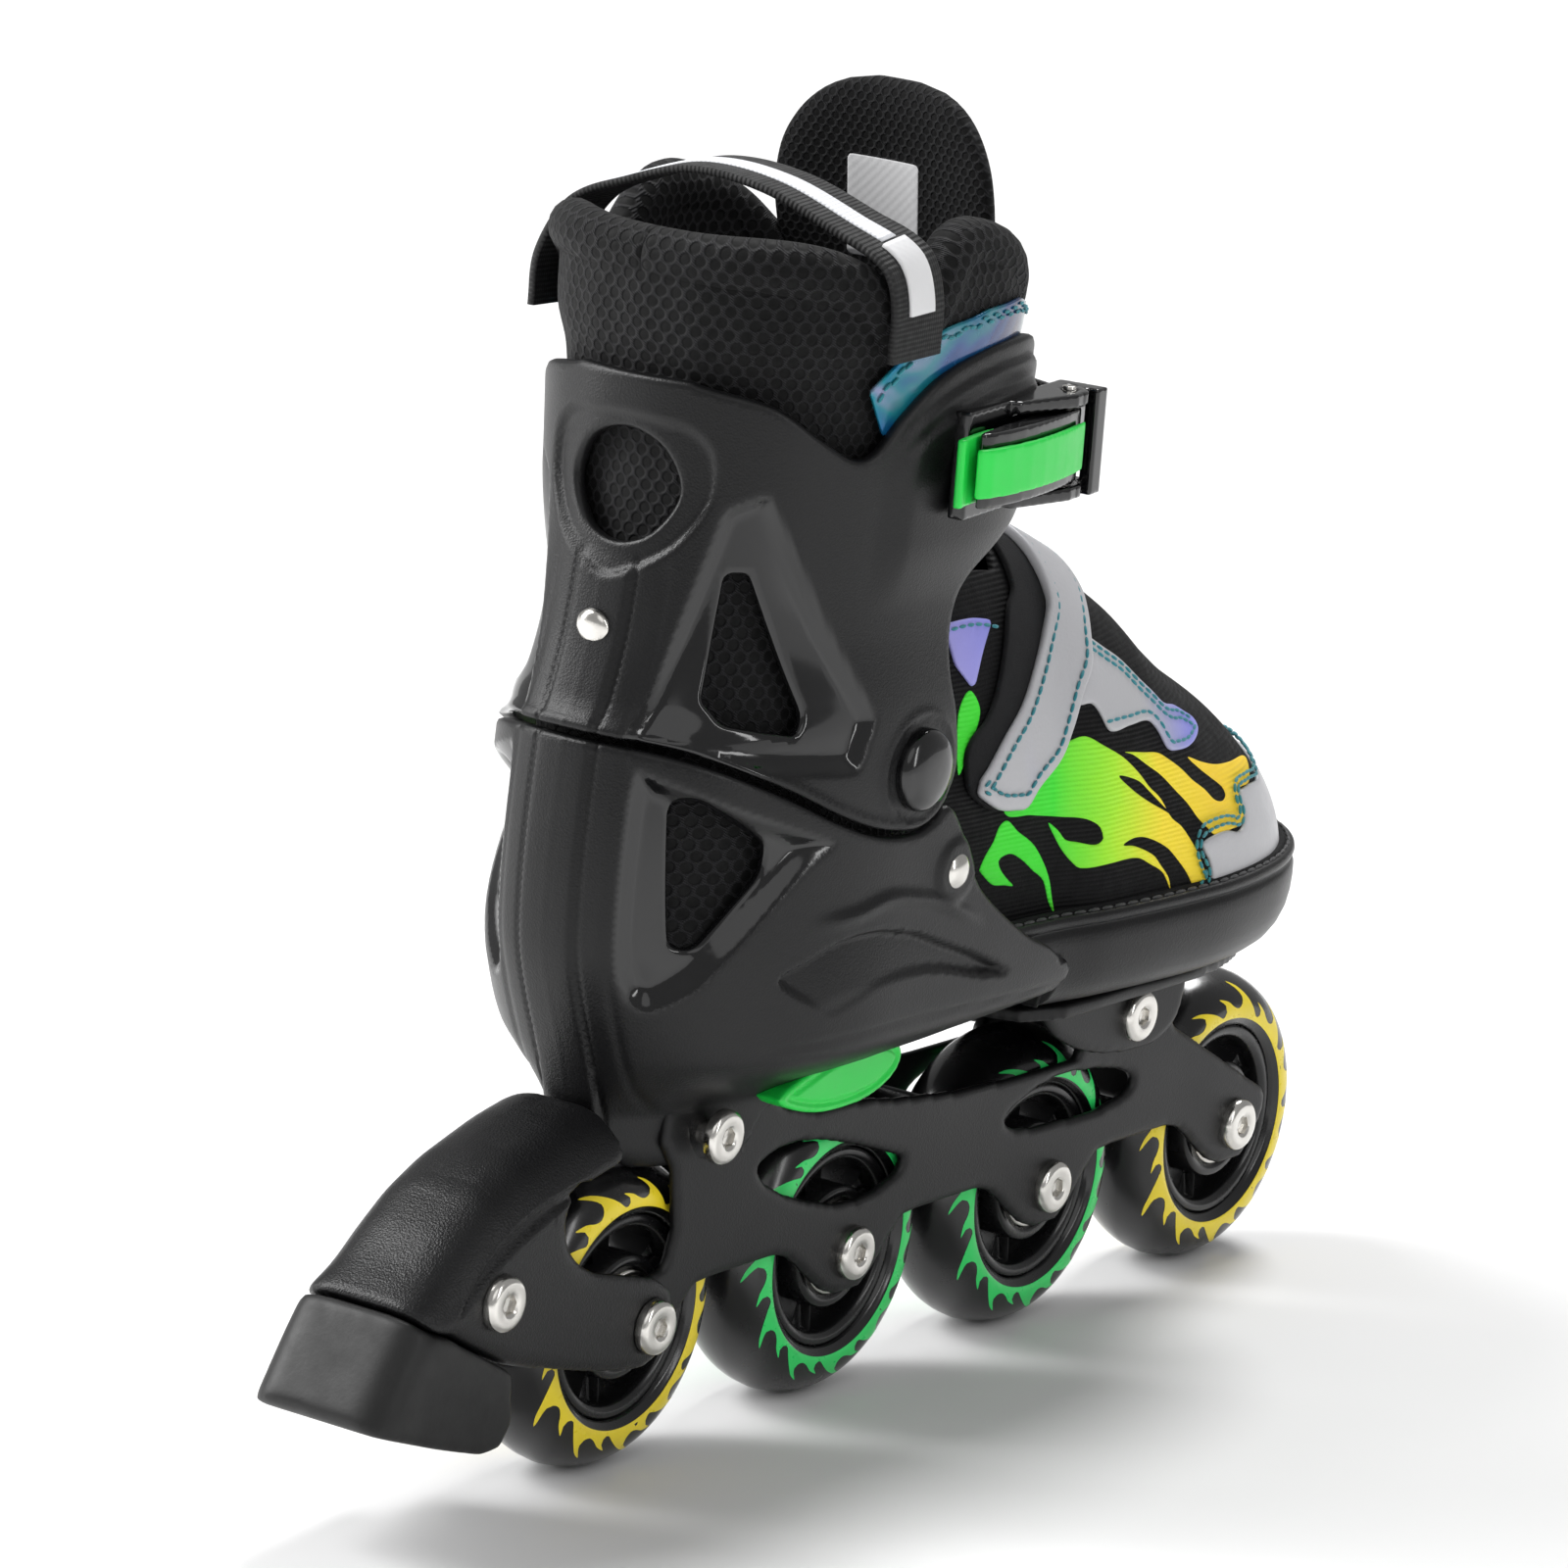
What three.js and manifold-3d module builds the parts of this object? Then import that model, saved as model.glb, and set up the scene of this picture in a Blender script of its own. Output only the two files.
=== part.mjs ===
// An adjustable inline skate, right foot, in millimetres.
// The side view is laid out from the rear axle: +X is the outer (buckle) side, +Y the toe, +Z up,
// the wheels run in the plane x = 0, the rear axle is at y = 0 and the floor is z = 0.
// The last lines move the whole skate so that its origin is the middle of its bounding box's base.
import * as THREE from "three";
import { mergeVertices } from "three/addons/utils/BufferGeometryUtils.js";
import { ParametricGeometry } from "three/addons/geometries/ParametricGeometry.js";
import Module from "manifold-3d";

// ---------- driving dimensions ----------

const GAP = 0.3; // between pieces that touch
const SLIP = 0.6; // between pieces that slide or turn on each other

// wheels
const WHEELS = 4;
const WHEEL_R = 36;
const WHEEL_W = 24;
const WHEEL_PITCH = 80;
const TYRE_BORE_R = 23.5;
const HUB_W = 22.4;
const BEARING_R = 11;
const BEARING_W = 7;
const AXLE_R = 3.9;
const AXLE_HEAD_R = 6.1;
const AXLE_HEAD_T = 2.4;
const AXLE_SCREW_R = 2.4;

// chassis
const CHASSIS_HALF = 15.5; // outside of the side plates
const PLATE_T = 2.8;
const LOBE_DROP = 9.3; // from an axle to the chassis's lower edge
const CREST = 5; // from an axle up to the lower edge between two wheels
const WEB_T = 3.6;
const MOUNT_BOLT_R = 3;
const REAR_MOUNT = { y: 18, z: 76.5 };
const FRONT_MOUNT = { y: 187, z: 73.5 };

// brake
const BRAKE_HALF = CHASSIS_HALF + 3.2;
const BRAKE_BOLT = { y: -56, z: 53 };
const WHEEL_CLEARANCE = 3;

// boot
const ANKLE_Y = 49; // centre of the ankle column
const PIVOT = { y: 49, z: 160 };
const SHELL_T = 3;
const CUFF_T = 3;
const LINER_T = 8;
const LINER_FLOOR_T = 1.9;
const FLOOR_Z = 100.8; // top of the shell's floor
const TRAY_BASE_Z = 90;
const TRAY_RIM_Z = 113.5;
const TRAY_T = 3;
const TOE_TIP = 245;
const TOE_HALF = 46.5;
const UPPER_T = 4;
const SIZE_TRAVEL = 24; // how far the toe slides out
const BUTTON_TRAVEL = 3;

// buckle
const BUCKLE_PIN = { x: 48.4, y: 89.5, z: 229 };
const BUCKLE_TURN = THREE.MathUtils.degToRad(8);
const BUCKLE_LENGTH = 50;
const BUCKLE_W = 24;
const BUCKLE_PIN_R = 1.6;

// ---------- tools ----------

const wasm = await Module();
wasm.setup();

const skate = new THREE.Group();

// A closed geometry as a solid, with its faces turned outwards.
function solid(geometry) {
  const plain = new THREE.BufferGeometry();
  plain.setAttribute("position", geometry.getAttribute("position"));
  plain.setIndex(geometry.getIndex());
  const merged = mergeVertices(plain, 1e-4);
  const corners = merged.getAttribute("position").array;
  const faces = [];
  const index = merged.getIndex().array;
  for (let i = 0; i < index.length; i += 3) {
    const [a, b, c] = [index[i], index[i + 1], index[i + 2]];
    if (a !== b && b !== c && c !== a) faces.push(a, b, c);
  }
  const make = (list) =>
    new wasm.Manifold(
      new wasm.Mesh({ numProp: 3, vertProperties: corners, triVerts: new Uint32Array(list) }),
    );
  const body = make(faces);
  return body.volume() > 0 ? body : make(faces.reverse());
}

function geometryOf(body) {
  const mesh = body.getMesh();
  const geometry = new THREE.BufferGeometry();
  geometry.setAttribute("position", new THREE.BufferAttribute(mesh.vertProperties, 3));
  geometry.setIndex(new THREE.BufferAttribute(mesh.triVerts, 1));
  return geometry;
}

// Adds a finished solid to the skate as a named mesh.
function add(name, body, material, parent = skate) {
  const mesh = new THREE.Mesh(geometryOf(body), material);
  mesh.name = name;
  parent.add(mesh);
  return mesh;
}

function finish(color, roughness, metalness = 0) {
  return new THREE.MeshStandardMaterial({ color, roughness, metalness });
}

// Turns a drawing in x and y to a side view: its x to y, its y to z.
const SIDE_VIEW = new THREE.Matrix4().makeBasis(
  new THREE.Vector3(0, 1, 0),
  new THREE.Vector3(0, 0, 1),
  new THREE.Vector3(1, 0, 0),
);

// A side-view outline, points (y, z), made solid between two x values.
function slabX(outline, from, to) {
  const shape = outline instanceof THREE.Shape ? outline : shapeOf(outline);
  const geometry = new THREE.ExtrudeGeometry(shape, { depth: to - from, bevelEnabled: false });
  return solid(geometry.applyMatrix4(SIDE_VIEW).translate(from, 0, 0));
}

// A plan outline, points (x, y), made solid between two heights.
function slabZ(outline, from, to) {
  const shape = outline instanceof THREE.Shape ? outline : shapeOf(outline);
  const geometry = new THREE.ExtrudeGeometry(shape, { depth: to - from, bevelEnabled: false });
  return solid(geometry.translate(0, 0, from));
}

function shapeOf(points) {
  return new THREE.Shape(points.map(([a, b]) => new THREE.Vector2(a, b)));
}

// A closed smooth outline through a few points.
function smooth(points, steps = points.length * 3) {
  const curve = new THREE.CatmullRomCurve3(
    points.map(([a, b]) => new THREE.Vector3(a, b, 0)),
    true,
  );
  const walked = curve.getPoints(steps).slice(0, -1);
  return shapeOf(walked.map((p) => [p.x, p.y]));
}

function box(low, high) {
  const size = high.map((value, i) => value - low[i]);
  const middle = high.map((value, i) => (value + low[i]) / 2);
  return solid(new THREE.BoxGeometry(...size).translate(...middle));
}

// A turned body about the x axis through (y, z); the profile is [radius, x] pairs.
function turned(profile, y, z, segments) {
  const points = profile.map(([radius, x]) => new THREE.Vector2(radius, x));
  const geometry = new THREE.LatheGeometry(points, segments);
  return solid(geometry.rotateZ(-Math.PI / 2).translate(0, y, z));
}

function rodX(radius, from, to, y, z, segments = 16) {
  return turned([[0, from], [radius, from], [radius, to], [0, to]], y, z, segments);
}

function ringX(inner, outer, from, to, y, z, segments = 16) {
  return turned(
    [[inner, from], [outer, from], [outer, to], [inner, to], [inner, from]],
    y,
    z,
    segments,
  );
}

// A body through a stack of rings, each a list of points, closed by a flat fan at both ends.
function loft(rings) {
  const around = rings[0].length;
  const middles = [rings[0], rings[rings.length - 1]].map((ring) =>
    ring.reduce((sum, p) => sum.add(p), new THREE.Vector3()).divideScalar(ring.length),
  );
  const rows = rings.length + 1;
  const place = (u, v, target) => {
    const row = Math.round(v * rows);
    if (row === 0) target.copy(middles[0]);
    else if (row === rows) target.copy(middles[1]);
    else target.copy(rings[row - 1][Math.round(u * around) % around]);
  };
  return solid(new ParametricGeometry(place, around, rows));
}

// The value at t of a smooth curve through [t, value] pairs.
function along(table, t) {
  const last = table.length - 1;
  if (t <= table[0][0]) return table[0][1];
  if (t >= table[last][0]) return table[last][1];
  const i = table.findIndex(([at]) => at > t) - 1;
  const slope = (k) => {
    const a = table[Math.max(k - 1, 0)];
    const b = table[Math.min(k + 1, last)];
    return (b[1] - a[1]) / (b[0] - a[0]);
  };
  const [t0, v0] = table[i];
  const [t1, v1] = table[i + 1];
  const span = t1 - t0;
  const s = (t - t0) / span;
  return (
    v0 * (1 + 2 * s) * (1 - s) ** 2 +
    v1 * (3 - 2 * s) * s ** 2 +
    span * (slope(i) * s * (1 - s) ** 2 - slope(i + 1) * (1 - s) * s ** 2)
  );
}

const HEEL_POWER = 2.2;

// A closed oval in plan: nearly an ellipse behind its centre and a squarer curve before it.
function oval(half, centre, back, front, power, z, count) {
  const points = [];
  for (let i = 0; i < count; i++) {
    const angle = (2 * Math.PI * i) / count;
    const [c, s] = [Math.cos(angle), Math.sin(angle)];
    const e = 2 / (s > 0 ? power : HEEL_POWER);
    const x = half * Math.sign(c) * Math.abs(c) ** e;
    const y = centre + (s > 0 ? front : back) * Math.sign(s) * Math.abs(s) ** e;
    points.push(new THREE.Vector3(x, y, z));
  }
  return points;
}

const both = [1, -1];
const axleAt = (i) => i * WHEEL_PITCH;

const CHASSIS_BLACK = finish("#151516", 0.5);
const SHELL_BLACK = finish("#101011", 0.42);
const BRAKE_BLACK = finish("#1a1a1b", 0.6);
const RUBBER = finish("#141414", 0.8);
const GREEN = finish("#18d84a", 0.4);
const NICKEL = finish("#c9c6c0", 0.25, 1);
const GLOSS_BLACK = finish("#050506", 0.12);
const TYRE_BLACK = finish("#0b0b0c", 0.3);
const MESH_BLACK = finish("#0c0c0d", 0.95);
const FABRIC_BLACK = finish("#101010", 0.9);
const GREY_LEATHER = finish("#9b9ba0", 0.5);

// ---------- wheels ----------

// The tread's section is a rounded crown on straight flanks.
function tyreProfile() {
  const CROWN_POWER = 1.75;
  const SHOULDER = WHEEL_W / 2;
  const CROWN_DEPTH = 10.5;
  const STEPS = 6;
  const profile = [[TYRE_BORE_R, -SHOULDER + 2]];
  for (let i = 0; i <= STEPS; i++) {
    const x = -SHOULDER * Math.cos((Math.PI * i) / STEPS);
    const flat = 1 - Math.abs(x / SHOULDER) ** CROWN_POWER;
    const drop = CROWN_DEPTH * (1 - Math.max(flat, 0) ** (1 / CROWN_POWER));
    profile.push([WHEEL_R - drop, x]);
  }
  profile.push([TYRE_BORE_R, SHOULDER - 2], profile[0]);
  return profile;
}

// A five-spoked core: rim, web with five windows, and a boss that the bearings seat in.
function hub(y, z) {
  const RIM_HALF = 9.5;
  const WEB_HALF = 4.5;
  const BOSS_R = 14.5;
  const RIM_IN = 20;
  const SPOKES = 5;
  const WINDOW_ANGLE = 0.82;
  const outer = TYRE_BORE_R - GAP;
  const bore = BEARING_R + GAP;
  const rest = HUB_W / 2;
  const section = [
    [bore, -rest], [BOSS_R, -rest], [BOSS_R, -WEB_HALF], [RIM_IN, -WEB_HALF], [RIM_IN, -RIM_HALF],
    [outer, -RIM_HALF], [outer, RIM_HALF], [RIM_IN, RIM_HALF], [RIM_IN, WEB_HALF],
    [BOSS_R, WEB_HALF], [BOSS_R, rest], [bore, rest], [bore, -rest],
  ];
  let body = turned(section, y, z, 16);
  for (let i = 0; i < SPOKES; i++) {
    const middle = (2 * Math.PI * i) / SPOKES + Math.PI / 2;
    const corner = (radius, side) => {
      const angle = middle + (side * WINDOW_ANGLE) / 2;
      return [y + radius * Math.cos(angle), z + radius * Math.sin(angle)];
    };
    const IN = BOSS_R + 1;
    const OUT = RIM_IN - 0.6;
    const window = [corner(IN, -0.8), corner(OUT, -1), corner(OUT, 0), corner(OUT, 1), corner(IN, 0.8)];
    body = body.subtract(slabX(window, -rest, rest));
  }
  return body;
}

// Screws into the axle from the far side; its head is turned like the axle's.
function axleSide(y, z, headAt) {
  const TAIL = -CHASSIS_HALF - GAP;
  const SOCKET_DEPTH = 1.3;
  const SOCKET_R = 2.4;
  const THREAD_DEPTH = 12;
  const axle = turned(
    [
      [0, TAIL + THREAD_DEPTH], [AXLE_SCREW_R + GAP, TAIL + THREAD_DEPTH], [AXLE_SCREW_R + GAP, TAIL],
      [AXLE_R, TAIL], [AXLE_R, headAt], [AXLE_HEAD_R, headAt], [AXLE_HEAD_R, headAt + AXLE_HEAD_T * 0.6],
      [AXLE_HEAD_R - 1.2, headAt + AXLE_HEAD_T], [0, headAt + AXLE_HEAD_T],
    ],
    y,
    z,
    12,
  );
  return axle.subtract(rodX(SOCKET_R, headAt + AXLE_HEAD_T - SOCKET_DEPTH, headAt + 9, y, z, 6));
}

function axleScrew(y, z, headAt) {
  const LENGTH = 10;
  return turned(
    [
      [0, -CHASSIS_HALF + LENGTH], [AXLE_SCREW_R, -CHASSIS_HALF + LENGTH], [AXLE_SCREW_R, -headAt],
      [AXLE_HEAD_R, -headAt], [AXLE_HEAD_R, -headAt - AXLE_HEAD_T * 0.6],
      [AXLE_HEAD_R - 1.2, -headAt - AXLE_HEAD_T], [0, -headAt - AXLE_HEAD_T],
    ],
    y,
    z,
    12,
  );
}

function addWheels() {
  const BEARING_IN = 4.2; // inner edge of each bearing along the axle
  const seat = AXLE_R + GAP;
  for (let i = 0; i < WHEELS; i++) {
    const y = axleAt(i);
    const z = WHEEL_R;
    const n = i + 1;
    // the rear axle also holds the brake arm's cheeks, so its heads sit further out
    const headAt = (i === 0 ? BRAKE_HALF : CHASSIS_HALF) + GAP;
    add(`tyre_${n}`, turned(tyreProfile(), y, z, 26), TYRE_BLACK);
    add(`hub_${n}`, hub(y, z), SHELL_BLACK);
    for (const side of both) {
      const ends = [side * BEARING_IN, side * (BEARING_IN + BEARING_W)].sort((a, b) => a - b);
      const name = `bearing_${n}_${side > 0 ? "right" : "left"}`;
      add(name, ringX(seat, BEARING_R, ...ends, y, z, 16), NICKEL);
    }
    const inner = BEARING_IN - GAP;
    add(`bearing_spacer_${n}`, ringX(seat, seat + 1.6, -inner, inner, y, z, 12), NICKEL);
    add(`axle_${n}`, axleSide(y, z, headAt), NICKEL);
    add(`axle_screw_${n}`, axleScrew(y, z, headAt), NICKEL);
  }
}

// ---------- chassis ----------

// One point of the chassis's lower edge: a lobe under each axle and a crest between two wheels.
function lowerEdge(y) {
  const nearest = THREE.MathUtils.clamp(Math.round(y / WHEEL_PITCH), 0, WHEELS - 1);
  const away = y - axleAt(nearest);
  const reach = away > 0 ? 22 : 30;
  const rise = THREE.MathUtils.smoothstep(Math.abs(away), 4, reach);
  return WHEEL_R - LOBE_DROP + (LOBE_DROP + CREST) * rise;
}

function chassisOutline() {
  const last = axleAt(WHEELS - 1);
  const STEP = 5;
  const points = [];
  for (let y = -5; y <= last + 7; y += STEP) points.push([y, lowerEdge(y)]);
  points.push([last + 12.5, WHEEL_R - 1], [last + 14, WHEEL_R + 4.5], [last + 12, WHEEL_R + 7]);
  points.push([last - 31, 66.5], [last - 33, 79.5], [last - 66, 79.5], [last - 72, 65.2]);
  points.push([142, 65.6], [117, 66.9], [93, 69.8], [83, 71.7], [61, 73], [49, 76.5], [41, 83.6]);
  points.push([5, 83.6], [4, 76], [9, 69], [11, 55], [8, 46.5], [-4, 45], [-9.5, 40], [-9.5, 33]);
  return points;
}

const WINDOWS = [
  [
    [40, 63.5], [52, 66.5], [68, 64.5], [86, 59], [100, 53.8],
    [90, 49.2], [78, 48], [62, 51.5], [48, 57],
  ],
  [
    [138, 55.5], [148, 60], [160, 62.3], [174, 61.6], [188, 59],
    [194, 55.5], [188, 51.8], [166, 51], [148, 52],
  ],
];

function addChassis() {
  const outline = chassisOutline();
  const inner = CHASSIS_HALF - PLATE_T;
  let body = null;
  for (const side of both) {
    const ends = [side * inner, side * CHASSIS_HALF].sort((a, b) => a - b);
    let plate = slabX(outline, ...ends);
    for (const window of WINDOWS) {
      plate = plate.subtract(slabX(smooth(window, 14), ends[0] - 1, ends[1] + 1));
    }
    body = body ? body.add(plate) : plate;
  }
  const tie = (low, high) => {
    body = body.add(box([-inner - 1, ...low], [inner + 1, ...high]));
  };
  // upright webs midway between the wheels, and a deck over the wheels at each mount
  for (let i = 0; i < WHEELS - 1; i++) {
    const y = axleAt(i) + WHEEL_PITCH / 2;
    tie([y - WEB_T / 2, WHEEL_R + 12], [y + WEB_T / 2, 63]);
  }
  tie([6, WHEEL_R * 2 + 7.5], [36, 83.6]);
  tie([FRONT_MOUNT.y - 10, 74.5], [FRONT_MOUNT.y + 14, 79.5]);
  const reach = CHASSIS_HALF + 2;
  for (const { y, z } of [REAR_MOUNT, FRONT_MOUNT]) {
    body = body.add(rodX(MOUNT_BOLT_R + 2.4, -inner - 1, inner + 1, y, z, 14));
    body = body.subtract(rodX(MOUNT_BOLT_R + GAP, -reach, reach, y, z, 12));
  }
  for (let i = 0; i < WHEELS; i++) {
    for (const side of both) {
      const ends = [side * (HUB_W / 2 + 0.7), side * (inner + 1)].sort((a, b) => a - b);
      body = body.add(rodX(AXLE_R + 2.2, ...ends, axleAt(i), WHEEL_R, 12));
    }
    body = body.subtract(rodX(AXLE_R + GAP, -reach, reach, axleAt(i), WHEEL_R, 16));
  }
  add("chassis", body, CHASSIS_BLACK);
}

// A bolt right across the skate, its head outside x = half, and the nut on its far end.
function addCrossBolt(name, { y, z }, half) {
  const HEAD_R = 6.1;
  const HEAD_T = 2.2;
  const NUT_T = 3;
  const face = half + GAP;
  const bolt = turned(
    [
      [0, -face - NUT_T], [MOUNT_BOLT_R, -face - NUT_T], [MOUNT_BOLT_R, face], [HEAD_R, face],
      [HEAD_R, face + HEAD_T * 0.6], [HEAD_R - 1.2, face + HEAD_T], [0, face + HEAD_T],
    ],
    y,
    z,
    14,
  );
  const socket = rodX(2.4, face + HEAD_T - 1.2, face + 9, y, z, 6);
  add(`${name}_bolt`, bolt.subtract(socket), NICKEL);
  const bore = rodX(MOUNT_BOLT_R + GAP, -face - 9, 0, y, z, 12);
  const nut = rodX(5.6, -face - NUT_T, -face, y, z, 6).subtract(bore);
  add(`${name}_nut`, nut, NICKEL);
}

// ---------- brake ----------

const BRAKE_JOINT = [[-82, 54.5], [-66, 45.4], [-50, 37]];

// Everything in front of the brake's back, with that back's long edges rounded off.
function brakeCover(half) {
  const ROUND = 7;
  const back = [[-98, 30], [-82, 54.5], [-73, 60.8], [-65, 67.6], [-55, 74.8], [-44.5, 79.8], [-27.3, 85],
    [-10, 88.4]];
  const geometry = new THREE.ExtrudeGeometry(shapeOf([[60, 88.4], [60, -30], [-98, -30], ...back]), {
    depth: 2 * (half - ROUND),
    bevelSize: ROUND,
    bevelOffset: -ROUND,
    bevelThickness: ROUND,
    bevelSegments: 3,
  });
  return solid(geometry.applyMatrix4(SIDE_VIEW).translate(-half + ROUND, 0, 0));
}

function addBrake() {
  const INNER = CHASSIS_HALF + GAP;
  const LUG = { half: 8, front: -49, back: -63, top: 60 };
  const outline = shapeOf([
    ...BRAKE_JOINT, [-36, 32.8], [-19, 28.4], [-1, 25.4], [6, 28.3], [9.6, 36], [7.8, 43.6], [0.3, 47.6],
    [-21.9, 53.3], [-28.4, 57], [-31.9, 61.5], [-32.9, 66.5], [-30.8, 71.6], [-26.5, 74.2], [-15.7, 76.6],
    [-13.2, 77.5], [-13.8, 87.6], [-27.3, 85], [-44.5, 79.8], [-55, 74.8], [-65, 67.6], [-73, 60.8],
  ]);
  let arm = slabX(outline, -BRAKE_HALF, BRAKE_HALF).intersect(brakeCover(BRAKE_HALF));
  arm = arm.subtract(rodX(WHEEL_R + WHEEL_CLEARANCE, -INNER, INNER, 0, WHEEL_R, 32));
  arm = arm.subtract(box([-INNER, -12, 10], [INNER, 20, 95]));
  arm = arm.subtract(rodX(AXLE_R + GAP, -30, 30, 0, WHEEL_R, 16));
  const pocket = box(
    [-LUG.half - GAP, LUG.back - GAP, 20],
    [LUG.half + GAP, LUG.front + GAP, LUG.top + GAP],
  );
  const bore = rodX(MOUNT_BOLT_R + GAP, -30, 30, BRAKE_BOLT.y, BRAKE_BOLT.z, 14);
  add("brake_arm", arm.subtract(pocket).subtract(bore), BRAKE_BLACK);

  // the pad keeps clear of the arm's lower edge by GAP, measured square to that edge
  const lowered = BRAKE_JOINT.map(([y, z]) => [y - GAP * 0.6, z - GAP * 1.4]);
  const pad = slabX(
    [...lowered, [-48.2, 35.2], [-47.6, 23.5], [-51, 18.9], [-57, 18.3], [-72, 22.8], [-94, 30.3], [-96, 33]],
    -BRAKE_HALF + 0.4,
    BRAKE_HALF - 0.4,
  );
  const lug = box([-LUG.half, LUG.back, 30], [LUG.half, LUG.front, LUG.top]);
  const rounded = pad.intersect(brakeCover(BRAKE_HALF - 0.4));
  add("brake_pad", rounded.add(lug).subtract(bore), RUBBER);
  addCrossBolt("brake", BRAKE_BOLT, BRAKE_HALF);
}

// ---------- boot shell ----------

// The outside of the boot by height: half width and the heel's back edge.
const BOOT_HALF = [[68, 18.3], [82, 19.4], [87, 26], [93, 36], [98, 41.5], [108, 43.4], [134, 44], [170, 44.5],
  [192, 42.5], [215, 43.5], [247, 47], [262, 47.5]];
const SHELL_HEEL = [[68, 0], [73, -9], [78, -12], [87, -12.6], [95, -14.5], [110, -20.5], [122, -24.2],
  [134, -25], [150, -24.3], [172, -22]];
const CUFF_HEEL = [[140, -24], [160, -23.6], [171, -22.6], [178, -19], [192, -14.7], [215, -11], [247, -8.6],
  [262, -8.4]];

// The boot's outer surface moved inwards by inset, between two heights.
function bootLoft(heel, front, power, inset, heights, count = 28) {
  return loft(
    heights.map((z) => {
      const back = ANKLE_Y - along(heel, z) - inset;
      const reach = (typeof front === "number" ? front : along(front, z)) - inset;
      return oval(along(BOOT_HALF, z) - inset, ANKLE_Y, back, reach, power, z, count);
    }),
  );
}

// The line where the cuff's lower edge meets the shell's upper edge, from the heel forwards.
const CUFF_LINE = [[-40, 172], [-20, 169.5], [-7, 165.5], [8, 159], [24, 151.3], [37, 146.8], [52, 145.4],
  [61, 149.5], [64.5, 156]];

const SHELL_FRONT = [[64.5, 152], [68.2, 143.5], [76, 130.7], [83, 124.2], [100, 113.2], [113.4, 107.3],
  [116.5, 102.2], [114.9, 97], [108, 94.6]];

const SHELL_WINDOW = [[-14.8, 157], [-10.5, 158.6], [6, 147.4], [5.4, 140.5], [-8.5, 124], [-13, 124.5]];
const CUFF_WINDOW = [[-2.5, 206.5], [1.5, 206.5], [13.2, 175.5], [11.5, 171.5], [-5, 175.5], [-8, 180]];
const PIVOT_R = 4;
const PIVOT_TAIL_R = 6;
const EAR_T = 2.6;
const RIVET_R = 2;
const SHELL_RIVET = { y: 67, z: 134 };

const SHELL_REACH = 150;
const SHELL_FRONT_REACH = [[68, 30], [80, 45], [88, 62], [93, 105], [98, SHELL_REACH], [180, SHELL_REACH]];

function addShell() {
  const HEIGHTS = [68.5, 78, 83, 88, 93, 98, 108, 121, 134, 150, 175];
  const outer = bootLoft(SHELL_HEEL, SHELL_FRONT_REACH, 3.4, 0, HEIGHTS, 28);
  const under = [[78, 92], [60, 84], [34, 80], [33, 66], [-40, 66]];
  const side = slabX([...CUFF_LINE, ...SHELL_FRONT, ...under], -60, 60);
  let body = outer.intersect(side);
  // the ears that carry the cuff's pivots stand inside the cuff
  const EAR_R = 13;
  const ear = bootLoft(CUFF_HEEL, 60, 2.6, CUFF_T + 1, [120, 145, 160, 176], 28);
  const lug = rodX(EAR_R, -60, 60, PIVOT.y, PIVOT.z, 20).add(
    box([-60, PIVOT.y - EAR_R, 126], [60, PIVOT.y + EAR_R, PIVOT.z]),
  );
  const upper = bootLoft(CUFF_HEEL, 60, 2.6, CUFF_T + 1 + EAR_T, [FLOOR_Z, 120, 145, 160, 180], 28);
  const lower = bootLoft(SHELL_HEEL, SHELL_REACH, 3.4, SHELL_T, [FLOOR_Z, 108, 121, 134, 144], 28);
  body = body.add(ear.intersect(lug)).subtract(upper).subtract(lower);
  // clear forefoot passage for the sliding tray
  body = body.subtract(box([-60, 84, 97.4], [60, 130, FLOOR_Z + 1]).intersect(lowerPassage()));
  // room below for the chassis's rear ear and the plate that runs forward
  const slot = CHASSIS_HALF + GAP;
  body = body.subtract(box([-slot, -30, 60], [slot, 46, 84.4]));
  body = body.subtract(soleSpine(GAP));
  body = body.subtract(buttonPocket());
  for (const side of both) {
    const [a, b] = [side * 17, side * 60].sort((p, q) => p - q);
    body = body.subtract(slabX(SHELL_WINDOW, a, b));
  }
  const { y, z } = PIVOT;
  body = body.subtract(rodX(PIVOT_R + GAP, -60, 60, y, z, 16));
  body = body.subtract(rodX(RIVET_R + GAP, -60, 60, SHELL_RIVET.y, SHELL_RIVET.z, 10));
  body = body.subtract(rodX(MOUNT_BOLT_R + GAP, -60, 60, REAR_MOUNT.y, REAR_MOUNT.z, 12));
  add("boot_shell", body, SHELL_BLACK);
}

function lowerPassage() {
  return bootLoft(SHELL_HEEL, SHELL_REACH, 3.4, SHELL_T, [97.4, FLOOR_Z + 1], 28);
}

// The plate that carries the boot forward to the front mount.
const SPINE = { half: 12, from: 30, low: 86, high: 89.4 };

function soleSpine(grow) {
  return box(
    [-SPINE.half - grow, SPINE.from - grow, SPINE.low - grow],
    [SPINE.half + grow, 130, SPINE.high + grow],
  );
}

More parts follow.
